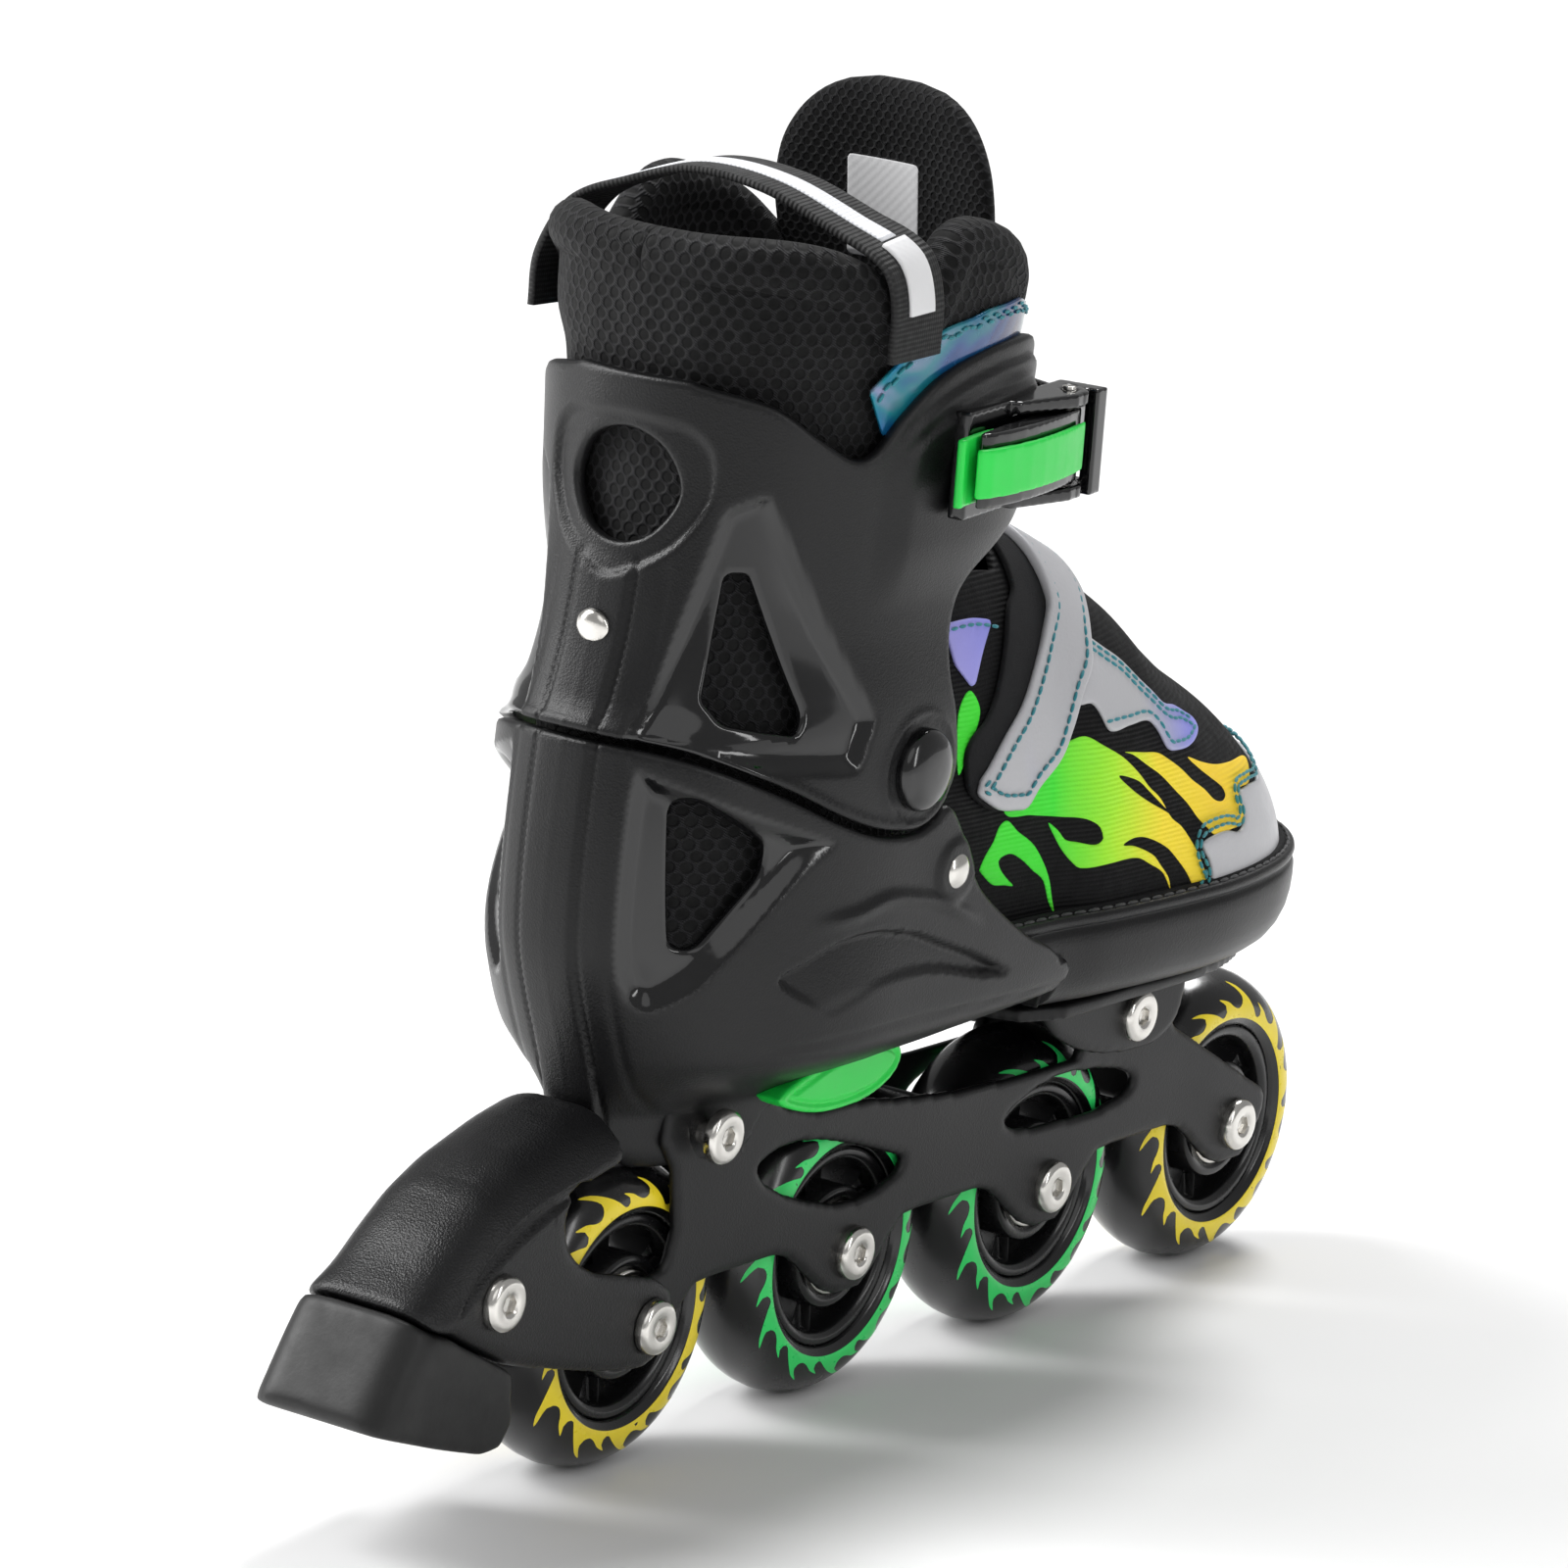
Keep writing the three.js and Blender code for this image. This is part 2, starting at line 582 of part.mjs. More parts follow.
function addSolePlate() {
  const FLANGE_HALF = CHASSIS_HALF + GAP + 2.6;
  const slot = CHASSIS_HALF + GAP;
  const plan = smooth([[-30, 120], [30, 120], [35, 160], [34, 195], [24, 218], [-24, 218], [-34, 195],
    [-35, 160]]);
  let body = soleSpine(0).add(slabZ(plan, SPINE.low, SPINE.high));
  const flange = smooth([[146, 88], [149, 78], [158, 71.5], [172, 66.5], [187, 64.6], [199, 65.2], [206, 70],
    [209, 80], [211, 88]]);
  let pedestal = slabX(flange, -FLANGE_HALF, FLANGE_HALF);
  pedestal = pedestal.subtract(box([-slot, 130, 50], [slot, 230, 79.5 + GAP]));
  body = body.add(pedestal);
  // room for the two wheels under the plate
  for (const i of [2, 3]) {
    body = body.subtract(rodX(WHEEL_R + WHEEL_CLEARANCE, -14, 14, axleAt(i), WHEEL_R, 32));
  }
  body = body.subtract(rodX(MOUNT_BOLT_R + GAP, -60, 60, FRONT_MOUNT.y, FRONT_MOUNT.z, 12));
  add("sole_plate", body, SHELL_BLACK);
}

// ---------- size button ----------

const BUTTON = { y: 54.5, z: 84.3, face: 26.5, back: CHASSIS_HALF + BUTTON_TRAVEL + SLIP };
const BUTTON_EDGE = [[-23.5, -1], [-14, -5.3], [-2, -7.2], [12, -6.4], [21.5, -2.4], [23.5, 2.2], [17.5, 6.2],
  [3.5, 6.9], [-10, 4.2]];

// The button is a leaf shape; grow widens it for the pocket it slides in.
function buttonOutline(grow) {
  return BUTTON_EDGE.map(([y, z]) => {
    const out = 1 + grow / Math.hypot(y, z);
    return [BUTTON.y + y * out, BUTTON.z + z * out];
  });
}

function buttonPocket() {
  return slabX(smooth(buttonOutline(SLIP), 24), BUTTON.back - BUTTON_TRAVEL - 1, 60);
}

function addButton() {
  add("size_button", slabX(smooth(buttonOutline(0), 24), BUTTON.back, BUTTON.face), GREEN);
}

// ---------- cuff ----------

const CUFF_TOP = [[-40, 247.5], [-9, 247.5], [3, 243.5], [13, 236], [21, 231.6], [26, 233], [32, 240.5],
  [42, 248.5], [58, 253], [74, 254], [86, 252.5], [92, 247]];
const CUFF_FRONT = [[96, 238], [96, 218], [84, 211], [74, 206], [65, 200.5], [60.5, 193], [59.8, 181],
  [63, 170]];

function addCuff() {
  const HEIGHTS = [142, 160, 171, 178, 192, 215, 247, 257];
  const outer = bootLoft(CUFF_HEEL, 58, 2.5, 0, HEIGHTS, 28);
  const inner = bootLoft(CUFF_HEEL, 58, 2.5, CUFF_T, [140, ...HEIGHTS.slice(1, -1), 260], 28);
  const lift = CUFF_LINE.map(([y, z]) => [y - (y > 52 ? 1 : 0), z + (y > 52 ? 0.8 : 1.2)]);
  const side = slabX([...lift, ...[...CUFF_FRONT].reverse(), ...[...CUFF_TOP].reverse()], -60, 60);
  let body = outer.intersect(side).subtract(inner);
  for (const sign of both) {
    const [a, b] = [sign * 15, sign * 60].sort((p, q) => p - q);
    body = body.subtract(slabX(CUFF_WINDOW, a, b));
  }
  const port = [[14.5, 223], [10, 232], [0, 235.5], [-10, 232], [-14.5, 223], [-9, 214], [0, 211], [9, 214]];
  const opening = smooth(port, 20);
  const through = new THREE.ExtrudeGeometry(opening, { depth: 40, bevelEnabled: false });
  body = body.subtract(solid(through.rotateX(Math.PI / 2).translate(0, 20, 0)));
  body = body.subtract(rodX(PIVOT_R + GAP, -60, 60, PIVOT.y, PIVOT.z, 16));
  const hole = new THREE.CylinderGeometry(RIVET_R + GAP, RIVET_R + GAP, 20, 12);
  hole.rotateX(-REAR_RIVET.lean).translate(0, REAR_RIVET.y, REAR_RIVET.z);
  body = body.subtract(solid(hole));
  add("cuff", body, SHELL_BLACK);
}

// the rivet stands square to the leaning back of the cuff
const REAR_RIVET = { y: -14.7, z: 192, lean: 0.24 };

function addRivets() {
  const wall = along(BOOT_HALF, PIVOT.z);
  const CAP_R = 9;
  const CAP_H = 3.6;
  const TAIL_T = 1.4;
  const tail = wall - CUFF_T - 1 - EAR_T - 2 * GAP;
  const pivot = turned(
    [
      [0, tail - TAIL_T], [PIVOT_TAIL_R, tail - TAIL_T], [PIVOT_TAIL_R, tail], [PIVOT_R, tail],
      [PIVOT_R, wall + GAP],
      [CAP_R, wall + GAP], [CAP_R, wall + 1.4], [CAP_R * 0.8, wall + CAP_H * 0.8],
      [CAP_R * 0.4, wall + CAP_H], [0, wall + CAP_H],
    ],
    0,
    0,
    16,
  );
  const head = along(BOOT_HALF, SHELL_RIVET.z) + GAP;
  const rivet = turned(
    [
      [0, head - SHELL_T], [RIVET_R, head - SHELL_T], [RIVET_R, head], [4, head], [3.4, head + 1.1],
      [1.8, head + 1.8], [0, head + 1.8],
    ],
    0,
    0,
    12,
  );
  for (const side of both) {
    const name = side > 0 ? "right" : "left";
    const turn = side > 0 ? 0 : Math.PI;
    const cap = add(`pivot_rivet_${name}`, pivot, GLOSS_BLACK);
    cap.position.set(0, PIVOT.y, PIVOT.z);
    cap.rotation.z = turn;
    const small = add(`shell_rivet_${name}`, rivet, NICKEL);
    small.position.set(0, SHELL_RIVET.y, SHELL_RIVET.z);
    small.rotation.z = turn;
  }
  const back = turned(
    [[0, -CUFF_T], [RIVET_R, -CUFF_T], [RIVET_R, GAP], [4, GAP], [3.4, 1.4], [1.8, 2.1], [0, 2.1]],
    0,
    0,
    12,
  );
  const leaning = new THREE.Group();
  leaning.position.set(0, REAR_RIVET.y, REAR_RIVET.z);
  leaning.rotation.x = -REAR_RIVET.lean;
  skate.add(leaning);
  add("rear_rivet", back, NICKEL, leaning).rotation.z = -Math.PI / 2;
}

// ---------- buckle and its strap ----------

// The buckle's own frame is at its pin: +X away from the cuff, -Y towards the lever's free end.
function addBuckle() {
  const frame = new THREE.Group();
  frame.position.set(BUCKLE_PIN.x, BUCKLE_PIN.y, BUCKLE_PIN.z);
  frame.rotation.z = BUCKLE_TURN;
  skate.add(frame);
  const half = BUCKLE_W / 2;
  const EAR_T = 3;
  const EAR_R = 4.4;
  const FLOOR = -7;
  const DECK = -3;
  const slot = half - EAR_T;
  const earPlan = new THREE.Shape();
  earPlan.moveTo(FLOOR, -24);
  earPlan.lineTo(-1, -22);
  earPlan.lineTo(EAR_R, -4);
  earPlan.absarc(0, 0, EAR_R, -0.3, Math.PI * 0.75, false);
  earPlan.lineTo(FLOOR, 9);
  let base = slabZ(earPlan, slot, half).add(slabZ(earPlan, -half, -slot));
  const tail = 8 - BUCKLE_LENGTH;
  base = base.add(slabZ([[FLOOR, tail], [DECK, tail], [DECK, 9], [FLOOR, 9]], -half, half));
  base = base.add(slabZ([[3.2, 4.6], [5, 4.4], [5, 9.4], [FLOOR, 9.4], [FLOOR, 6]], -half, half));
  base = base.subtract(rodZ(BUCKLE_PIN_R + GAP, -half - 1, half + 1));
  base = base.subtract(slabZ([[DECK, 3], [1.6, 3], [1.6, 12], [DECK, 12]], -slot, slot));
  add("buckle_base", clearOfCuff(base, frame), GLOSS_BLACK, frame);

  const pin = rodZ(BUCKLE_PIN_R, -half - 0.8, half + 0.8);
  add("buckle_pin", pin, NICKEL, frame);

  // lever: an arched bar that hooks over the pin, with a raised green cover on its back
  const width = slot - SLIP;
  const plan = smooth([[2.4, 2.1], [3.8, -4], [4.6, -16], [4.4, -30], [2, -43], [0.6, -44], [-0.4, -36],
    [-0.8, -20], [-1.4, -7], [-2.4, 0], [-1, 2.4]], 26);
  let lever = slabZ(plan, -width, width);
  lever = lever.subtract(rodZ(BUCKLE_PIN_R + GAP, -half, half));
  add("buckle_lever", lever, GLOSS_BLACK, frame);
  const cover = smooth([[4.3, 1], [5.4, -4], [6.6, -16], [6.4, -31], [3.4, -47], [1.6, -47.5], [3, -42],
    [5, -30], [5.2, -16], [4.2, -4]], 24);
  add("lever_cover", slabZ(cover, -5.4, 5.4).subtract(lever), GREEN, frame);

  // release catch: a small cross bar under the lever's free end
  const catchPlan = smooth(
    [[-0.4, -47], [0, -50], [-1.6, -50.4], [-2.2, -47], [-2.2, -33], [-1.4, -32]],
    16,
  );
  add("release_catch", slabZ(catchPlan, -7.6, 7.6).subtract(lever), GREEN, frame);
}

function rodZ(radius, from, to) {
  const geometry = new THREE.CylinderGeometry(radius, radius, to - from, 14);
  return solid(geometry.rotateX(Math.PI / 2).translate(0, 0, (from + to) / 2));
}

// Cuts a piece in the buckle's frame back to GAP outside the cuff.
function clearOfCuff(body, frame) {
  frame.updateMatrix();
  const cuff = geometryOf(bootLoft(CUFF_HEEL, 58, 2.5, -GAP, [190, 203, 215, 230, 247, 257], 32));
  return body.subtract(solid(cuff.applyMatrix4(frame.matrix.clone().invert())));
}

// A flat band of given half height, bent in plan along a smooth route.
function planBand(route, thickness, low, high, steps) {
  const curve = new THREE.CatmullRomCurve3(route.map(([x, y]) => new THREE.Vector3(x, y, 0)));
  const near = [];
  const far = [];
  for (let i = 0; i <= steps; i++) {
    const at = curve.getPointAt(i / steps);
    const way = curve.getTangentAt(i / steps);
    near.push([at.x - (way.y * thickness) / 2, at.y + (way.x * thickness) / 2]);
    far.push([at.x + (way.y * thickness) / 2, at.y - (way.x * thickness) / 2]);
  }
  return slabZ([...near, ...far.reverse()], low, high);
}

function addLadderStrap() {
  const HALF = 7;
  const route = [[-46.4, 54], [-46.2, 75], [-38, 99], [-20, 112.5], [0, 116.5], [22, 114.5], [37.5, 108],
    [45, 101], [47, 94.3]];
  const band = planBand(route, 1.8, BUCKLE_PIN.z - HALF, BUCKLE_PIN.z + HALF, 18);
  add("ladder_strap", band, GLOSS_BLACK);
}

// ---------- soft boot ----------

const LINER_TOP = [[-40, 266], [-12, 270], [-4, 276], [8, 277.5], [20, 273.5], [31, 264], [41, 267], [50, 279],
  [62, 279], [76, 273], [86, 262]];
const LINER_FRONT = [[91, 245], [88, 222], [74, 207], [61, 197], [56, 182], [57, 160], [60, 140], [82, 118],
  [84, 101]];

// how far the liner draws in from the shell's wall, and how far it reaches forward, by height
const LINER_TUCK = [[121, 0], [134, 3.8], [192, 3.8], [235, 1], [247, 0], [257, -1.6], [270, -1.6], [281, 1]];
const LINER_REACH = [[100, 90], [125, 80], [160, 52], [300, 50]];

// The padded ankle boot, open at the front where the tongue lies.
function addLiner() {
  const inset = Math.max(SHELL_T, CUFF_T) + 1;
  const TOP = 281;
  const lower = [FLOOR_Z + GAP, 108, 121, 134, 150];
  const upper = [171, 192, 215, 235, 247, 257, 270, TOP];
  const ring = (z, extra) => {
    const heel = z < 160 ? along(SHELL_HEEL, z) : along(CUFF_HEEL, z);
    const tuck = inset + along(LINER_TUCK, z);
    const half = along(BOOT_HALF, z) - tuck - extra;
    const reach = along(LINER_REACH, z) - extra;
    return oval(half, ANKLE_Y, ANKLE_Y - heel - tuck - extra, reach, 2.6, z, 24);
  };
  const outside = [...lower, 162, ...upper];
  const within = [lower[0] + LINER_FLOOR_T, ...outside.slice(1, -1), TOP + 3];
  const outer = loft(outside.map((z) => ring(z, 0)));
  const inside = loft(within.map((z) => ring(z, LINER_T)));
  const side = slabX([[-40, 98], ...[...LINER_FRONT].reverse(), ...[...LINER_TOP].reverse()], -60, 60);
  let body = outer.intersect(side).subtract(inside);
  body = body.subtract(box([-24, 66, 140], [24, 130, 300]));
  body = body.subtract(box([-32.5, 66, 205], [32.5, 130, 300]));
  const clear = along(BOOT_HALF, PIVOT.z) - CUFF_T - EAR_T - 4;
  for (const side of both) {
    const ends = [side * clear, side * 60].sort((p, q) => p - q);
    body = body.subtract(rodX(PIVOT_TAIL_R + 1, ...ends, PIVOT.y, PIVOT.z, 12));
  }
  add("liner", body, MESH_BLACK);
}

// The toe tray's and the upper's outline by y: half width.
const TOE_WIDTH = [[60, 36.5], [90, 38.6], [117, 40.2], [135, 43.5], [160, 46], [182, TOE_HALF], [205, 43],
  [221, 36.8], [232, 29], [239.5, 20], [TOE_TIP, 6]];

const TOE_STATIONS = [70, 84, 100, 117, 135, 158, 176, 194, 208, 222, 232, 239.5, TOE_TIP];

// A plan outline of the toe from y = from to the tip, inset all round.
function toePlan(from, inset) {
  const ys = [from, ...TOE_STATIONS.filter((y) => y > from)];
  const right = ys.map((y) => {
    const half = along(TOE_WIDTH, y) - inset;
    const pull = inset * THREE.MathUtils.smoothstep(y, 190, TOE_TIP);
    return [Math.max(half, 2.4 - inset * 0.2 + 1), y - pull];
  });
  const left = right.map(([x, y]) => [-x, y]).reverse();
  return [...right, ...left];
}

function addTray() {
  const FRONT = 118.6; // the full-width part starts just ahead of the shell
  const floor = FLOOR_Z - 1.2;
  const full = slabZ(toePlan(FRONT, 0), TRAY_BASE_Z, TRAY_RIM_Z);
  let body = full.subtract(slabZ(toePlan(FRONT - 10, TRAY_T), floor, TRAY_RIM_Z + 1));
  body = body.subtract(slabZ(toePlan(FRONT + 6, TRAY_T), TRAY_BASE_Z - 1, floor - 3));
  // the narrower tail stays inside the shell when the toe is out
  const TAIL = FRONT - SIZE_TRAVEL - 6.6;
  let tail = slabZ(toePlan(TAIL, 3.4), floor - 1.8, 106).intersect(box([-60, 80, 90], [60, FRONT + 1, 120]));
  tail = tail.subtract(slabZ(toePlan(TAIL - 10, TRAY_T + 2.8), floor, 120));
  add("toe_tray", body.add(tail), SHELL_BLACK);
}

// Height of the instep ridge by y.
const RIDGE = [[60, 196], [84, 203], [104, 203], [122, 198], [140, 190], [159, 180], [170, 171],
  [182, 162.5], [203, 151], [222, 138], [232, 129.5], [239.5, 121], [TOE_TIP - 1.5, 112]];

function upperRings(from, inset, base) {
  const ACROSS = 12;
  const ROUND = 2.3;
  const rest = TRAY_T + SLIP + inset;
  const ys = [from, ...TOE_STATIONS.filter((y) => y > from)];
  return ys.map((y) => {
    const at = y - rest * THREE.MathUtils.smoothstep(y, 190, TOE_TIP);
    const half = Math.max(along(TOE_WIDTH, y) - rest - tailTuck(y), 2);
    const top = Math.max(along(RIDGE, y) - inset, base + 8);
    const ring = [new THREE.Vector3(-half, at, base), new THREE.Vector3(half, at, base)];
    for (let i = 0; i <= ACROSS; i++) {
      const angle = (Math.PI * i) / ACROSS;
      const c = Math.cos(angle);
      const x = half * Math.sign(c) * Math.abs(c) ** (2 / ROUND);
      const z = base + 6 + (top - base - 6) * Math.sin(angle) ** (2 / ROUND);
      ring.push(new THREE.Vector3(x, at, z));
    }
    return ring;
  });
}

// The tail of the tray and the upper in it draw in to pass inside the shell.
function tailTuck(y) {
  return 2.6 * (1 - THREE.MathUtils.smoothstep(y, 119, 136));
}

// The fabric forefoot: a hollow hood, open at its back and along the instep.
function addUpper() {
  const base = FLOOR_Z - 1.2 + GAP;
  const outer = loft(upperRings(62, 0, base));
  const inside = loft(upperRings(50, UPPER_T, base + 3));
  const back = [[88, 90], [88, 118], [66, 140], [63.5, 160], [62, 180], [67, 196], [84, 208], [300, 215],
    [300, 90]];
  let body = outer.intersect(slabX(back, -60, 60)).subtract(inside);
  body = body.subtract(slabX([[40, 150], [112, 165], [124, 215], [40, 215]], -17.5, 17.5));
  add("toe_upper", body, FABRIC_BLACK);
}

function addInsole() {
  const low = FLOOR_Z - 1.2 + GAP + 3 + GAP;
  const THICK = 3;
  // no wider than the upper's tail, which slides past it when the toe is out
  const plan = smooth([[0, 0], [17, 6], [24, 22], [25, 60], [25.5, 110], [27.5, 160], [26, 195], [17, 220],
    [0, 228], [-17, 220], [-26, 195], [-27.5, 160], [-25.5, 110], [-25, 60], [-24, 22], [-17, 6]], 32);
  add("insole", slabZ(plan, low, low + THICK), MESH_BLACK);
}

// The tongue: a padded panel, bent round the shin, from under the instep to above the collar.
function addTongue() {
  const SPINE_LINE = [[176, 108.3], [190, 102], [203, 95], [240, 89], [265, 86], [290, 83], [303, 81]];
  const HALF = [[176, 12], [190, 14], [205, 18], [225, 22], [262, 28], [285, 29.5], [297, 25], [303, 14]];
  const HEIGHTS = [176, 190, 203, 220, 240, 262, 282, 292, 299, 303];
  const ACROSS = 6;
  const THICK = 8;
  const rings = HEIGHTS.map((z) => {
    const half = along(HALF, z);
    const middle = along(SPINE_LINE, z);
    const ring = [];
    for (let i = 0; i <= ACROSS; i++) {
      const x = half * (1 - (2 * i) / ACROSS);
      ring.push(new THREE.Vector3(x, middle - (x * x) / 130, z));
    }
    for (let i = ACROSS; i >= 0; i--) {
      const x = half * (1 - (2 * i) / ACROSS);
      const thick = THICK * (z > 300 ? 0.4 : 1) * (0.55 + 0.45 * (1 - (x / half) ** 2));
      ring.push(new THREE.Vector3(x, middle + thick - (x * x) / 130, z));
    }
    return ring;
  });
  add("tongue", loft(rings), MESH_BLACK);
}

// A band over the upper: rings across the band, carried round the instep.
function addInstepStrap() {
  const LIFT = 3 * GAP;
  const THICK = 2.4;
  const HALF_BAND = 14;
  const STEPS = 18;
  const rings = [];
  for (let i = 0; i <= STEPS; i++) {
    const angle = Math.PI * (0.06 + (0.88 * i) / STEPS);
    const ring = [];
    for (const [side, lift] of [[-1, LIFT], [1, LIFT], [1, LIFT + THICK], [-1, LIFT + THICK]]) {
      ring.push(onUpper(angle, strapY(angle) + side * HALF_BAND, lift));
    }
    rings.push(ring);
  }
  add("instep_strap", loft(rings), GREY_LEATHER);
}

// The strap's middle moves forward as it climbs to the instep.
function strapY(angle) {
  return 98 + 22 * Math.sin(angle) ** 2;
}

// A point outside the upper's surface: angle 0 is the outer side, a quarter turn is the ridge.
function onUpper(angle, y, lift) {
  const base = FLOOR_Z - 1.2 + GAP;
  const half = along(TOE_WIDTH, y) - TRAY_T - SLIP - tailTuck(y) + lift;
  const top = along(RIDGE, y) + lift * 1.6;
  const c = Math.cos(angle);
  const e = 2 / 2.3;
  const x = half * Math.sign(c) * Math.abs(c) ** e;
  return new THREE.Vector3(x, y, base + 6 + (top - base - 6) * Math.sin(angle) ** e);
}

// The pull loop arches over the back of the collar from its inner to its outer side.
function addPullLoop() {
  const HALF = 9;
  const route = [[-45.4, 23, 252], [-45.4, 23, 264], [-38.5, 24, 276.5], [-24, 25, 282.5], [-7, 26, 287.5],
    [12, 26.5, 286.5], [30, 28, 280.5], [42.5, 29.5, 275], [45.5, 30.5, 267], [45.4, 31, 254]];
  const path = new THREE.CatmullRomCurve3(route.map((point) => new THREE.Vector3(...point)));
  const STEPS = 18;
  const THICK = 1.8;
  const rings = [];
  for (let i = 0; i <= STEPS; i++) {
    const at = path.getPointAt(i / STEPS);
    const way = path.getTangentAt(i / STEPS);
    const out = new THREE.Vector3(at.x, (at.y - 30) * 0.3, at.z - 250).normalize();
    const across = new THREE.Vector3().crossVectors(way, out).normalize();
    const up = new THREE.Vector3().crossVectors(across, way).normalize();
    const corner = (a, b) => at.clone().addScaledVector(across, a).addScaledVector(up, b);
    rings.push([corner(-HALF, 0), corner(HALF, 0), corner(HALF, THICK), corner(-HALF, THICK)]);
  }
  add("pull_loop", loft(rings), FABRIC_BLACK);
}

// ---------- assembly ----------

addWheels();
addChassis();
addShell();
addSolePlate();
addCrossBolt("rear_mount", REAR_MOUNT, along(BOOT_HALF, REAR_MOUNT.z + 6.4));
addCrossBolt("front_mount", FRONT_MOUNT, CHASSIS_HALF + GAP + 2.6);
addBrake();
addButton();
addCuff();
addRivets();
addBuckle();
addLadderStrap();
addLiner();
addTray();
addUpper();
addInsole();
addTongue();
addInstepStrap();
addPullLoop();

// the origin is the middle of the bounding box's base
const bounds = new THREE.Box3().setFromObject(skate, true);
const middle = bounds.getCenter(new THREE.Vector3());
skate.position.set(-middle.x, -middle.y, -bounds.min.z);

export default skate;
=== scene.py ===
"""Adjustable inline skate, right foot: the finished look of the skate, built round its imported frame."""

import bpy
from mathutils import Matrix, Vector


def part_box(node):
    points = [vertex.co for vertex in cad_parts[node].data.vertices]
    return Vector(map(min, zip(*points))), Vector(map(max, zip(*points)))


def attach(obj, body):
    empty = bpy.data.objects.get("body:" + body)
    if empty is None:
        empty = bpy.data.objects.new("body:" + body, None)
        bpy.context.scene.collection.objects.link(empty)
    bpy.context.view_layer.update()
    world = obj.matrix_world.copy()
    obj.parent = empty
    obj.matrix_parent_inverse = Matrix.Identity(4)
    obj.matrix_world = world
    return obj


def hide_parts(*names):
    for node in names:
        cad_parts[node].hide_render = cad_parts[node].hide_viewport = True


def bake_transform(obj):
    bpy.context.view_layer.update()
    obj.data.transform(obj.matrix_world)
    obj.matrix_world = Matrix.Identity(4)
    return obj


bl_info = {
    "name": "Inline Skate",
    "version": (1, 0, 0),
    "blender": (4, 5, 0),
    "location": "View3D > Sidebar > Skate",
    "description": "Builds an adjustable inline skate piece by piece",
    "category": "Add Mesh",
}

import math

import bmesh
import bpy
import numpy as np
from bpy.props import FloatProperty, FloatVectorProperty, IntProperty, PointerProperty
from mathutils import Matrix, Vector
from mathutils.geometry import delaunay_2d_cdt

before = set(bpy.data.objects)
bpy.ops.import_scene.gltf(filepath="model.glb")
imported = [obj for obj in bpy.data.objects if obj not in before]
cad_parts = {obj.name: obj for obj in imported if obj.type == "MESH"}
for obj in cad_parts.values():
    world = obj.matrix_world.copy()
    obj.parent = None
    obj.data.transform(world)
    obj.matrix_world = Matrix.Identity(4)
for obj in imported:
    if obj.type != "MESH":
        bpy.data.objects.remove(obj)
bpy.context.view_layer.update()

MM = 0.001
ROOT = "boot_and_chassis"


def skate_origin():
    """The floor under the rear axle, in the wheels' middle plane."""
    low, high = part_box("tyre_1")
    return np.array([(low.x + high.x) / 2, (low.y + high.y) / 2, low.z])


ORIGIN = skate_origin()

# ---------- the CAD's sizes again, in millimetres from the floor under the rear axle ----------

GAP = 0.3
WHEELS = 4
WHEEL_R = 36
WHEEL_PITCH = 80
TYRE_BORE_R = 23.5
BEARING_R = 11
AXLE_R = 3.9
CHASSIS_HALF = 15.5
BRAKE_HALF = 18.7
MOUNT_BOLT_R = 3
REAR_MOUNT = (18, 76.5)
FRONT_MOUNT = (187, 73.5)
BRAKE_BOLT = (-56, 53)
ANKLE_Y = 49
PIVOT = (49, 160)
SHELL_T = 3
CUFF_T = 3
SHELL_RIVET = (67, 134)
REAR_RIVET = (-14.7, 192)
REAR_RIVET_LEAN = 0.24
FLOOR_Z = 100.8
TRAY_BASE_Z = 90
TRAY_RIM_Z = 113.5
TRAY_T = 3
TOE_TIP = 245
SLIP = 0.6
LADDER_Z = 229
HEEL_POWER = 2.2
SHELL_POWER = 3.4
CUFF_POWER = 2.5
CUFF_REACH = 58.0

BOOT_HALF = [(68, 18.3), (82, 19.4), (87, 26), (93, 36), (98, 41.5), (108, 43.4), (134, 44), (170, 44.5),
             (192, 42.5), (215, 43.5), (247, 47), (262, 47.5)]
SHELL_HEEL = [(68, 0), (73, -9), (78, -12), (87, -12.6), (95, -14.5), (110, -20.5), (122, -24.2),
              (134, -25), (150, -24.3), (172, -22)]
SHELL_REACH = [(68, 30), (80, 45), (88, 62), (93, 105), (98, 150), (180, 150)]
CUFF_HEEL = [(140, -24), (160, -23.6), (171, -22.6), (178, -19), (192, -14.7), (215, -11), (247, -8.6),
             (262, -8.4)]
TOE_WIDTH = [(60, 36.5), (90, 38.6), (117, 40.2), (135, 43.5), (160, 46), (182, 46.5), (205, 43),
             (221, 36.8), (232, 29), (239.5, 20), (245, 6)]
RIDGE = [(60, 196), (84, 203), (104, 203), (122, 198), (140, 190), (159, 180), (170, 171), (182, 162.5),
         (203, 151), (222, 138), (232, 129.5), (239.5, 121), (243.5, 112)]


def along(table, t):
    """The value at t of a smooth curve through (t, value) pairs."""
    at, value = np.asarray(table, float).T
    slope = np.empty_like(value)
    slope[1:-1] = (value[2:] - value[:-2]) / (at[2:] - at[:-2])
    slope[0] = (value[1] - value[0]) / (at[1] - at[0])
    slope[-1] = (value[-1] - value[-2]) / (at[-1] - at[-2])
    t = np.clip(np.asarray(t, float), at[0], at[-1])
    i = np.clip(np.searchsorted(at, t, side="right") - 1, 0, len(at) - 2)
    span = at[i + 1] - at[i]
    s = (t - at[i]) / span
    return (
        value[i] * (1 + 2 * s) * (1 - s) ** 2
        + value[i + 1] * (3 - 2 * s) * s**2
        + span * (slope[i] * s * (1 - s) ** 2 - slope[i + 1] * (1 - s) * s**2)
    )


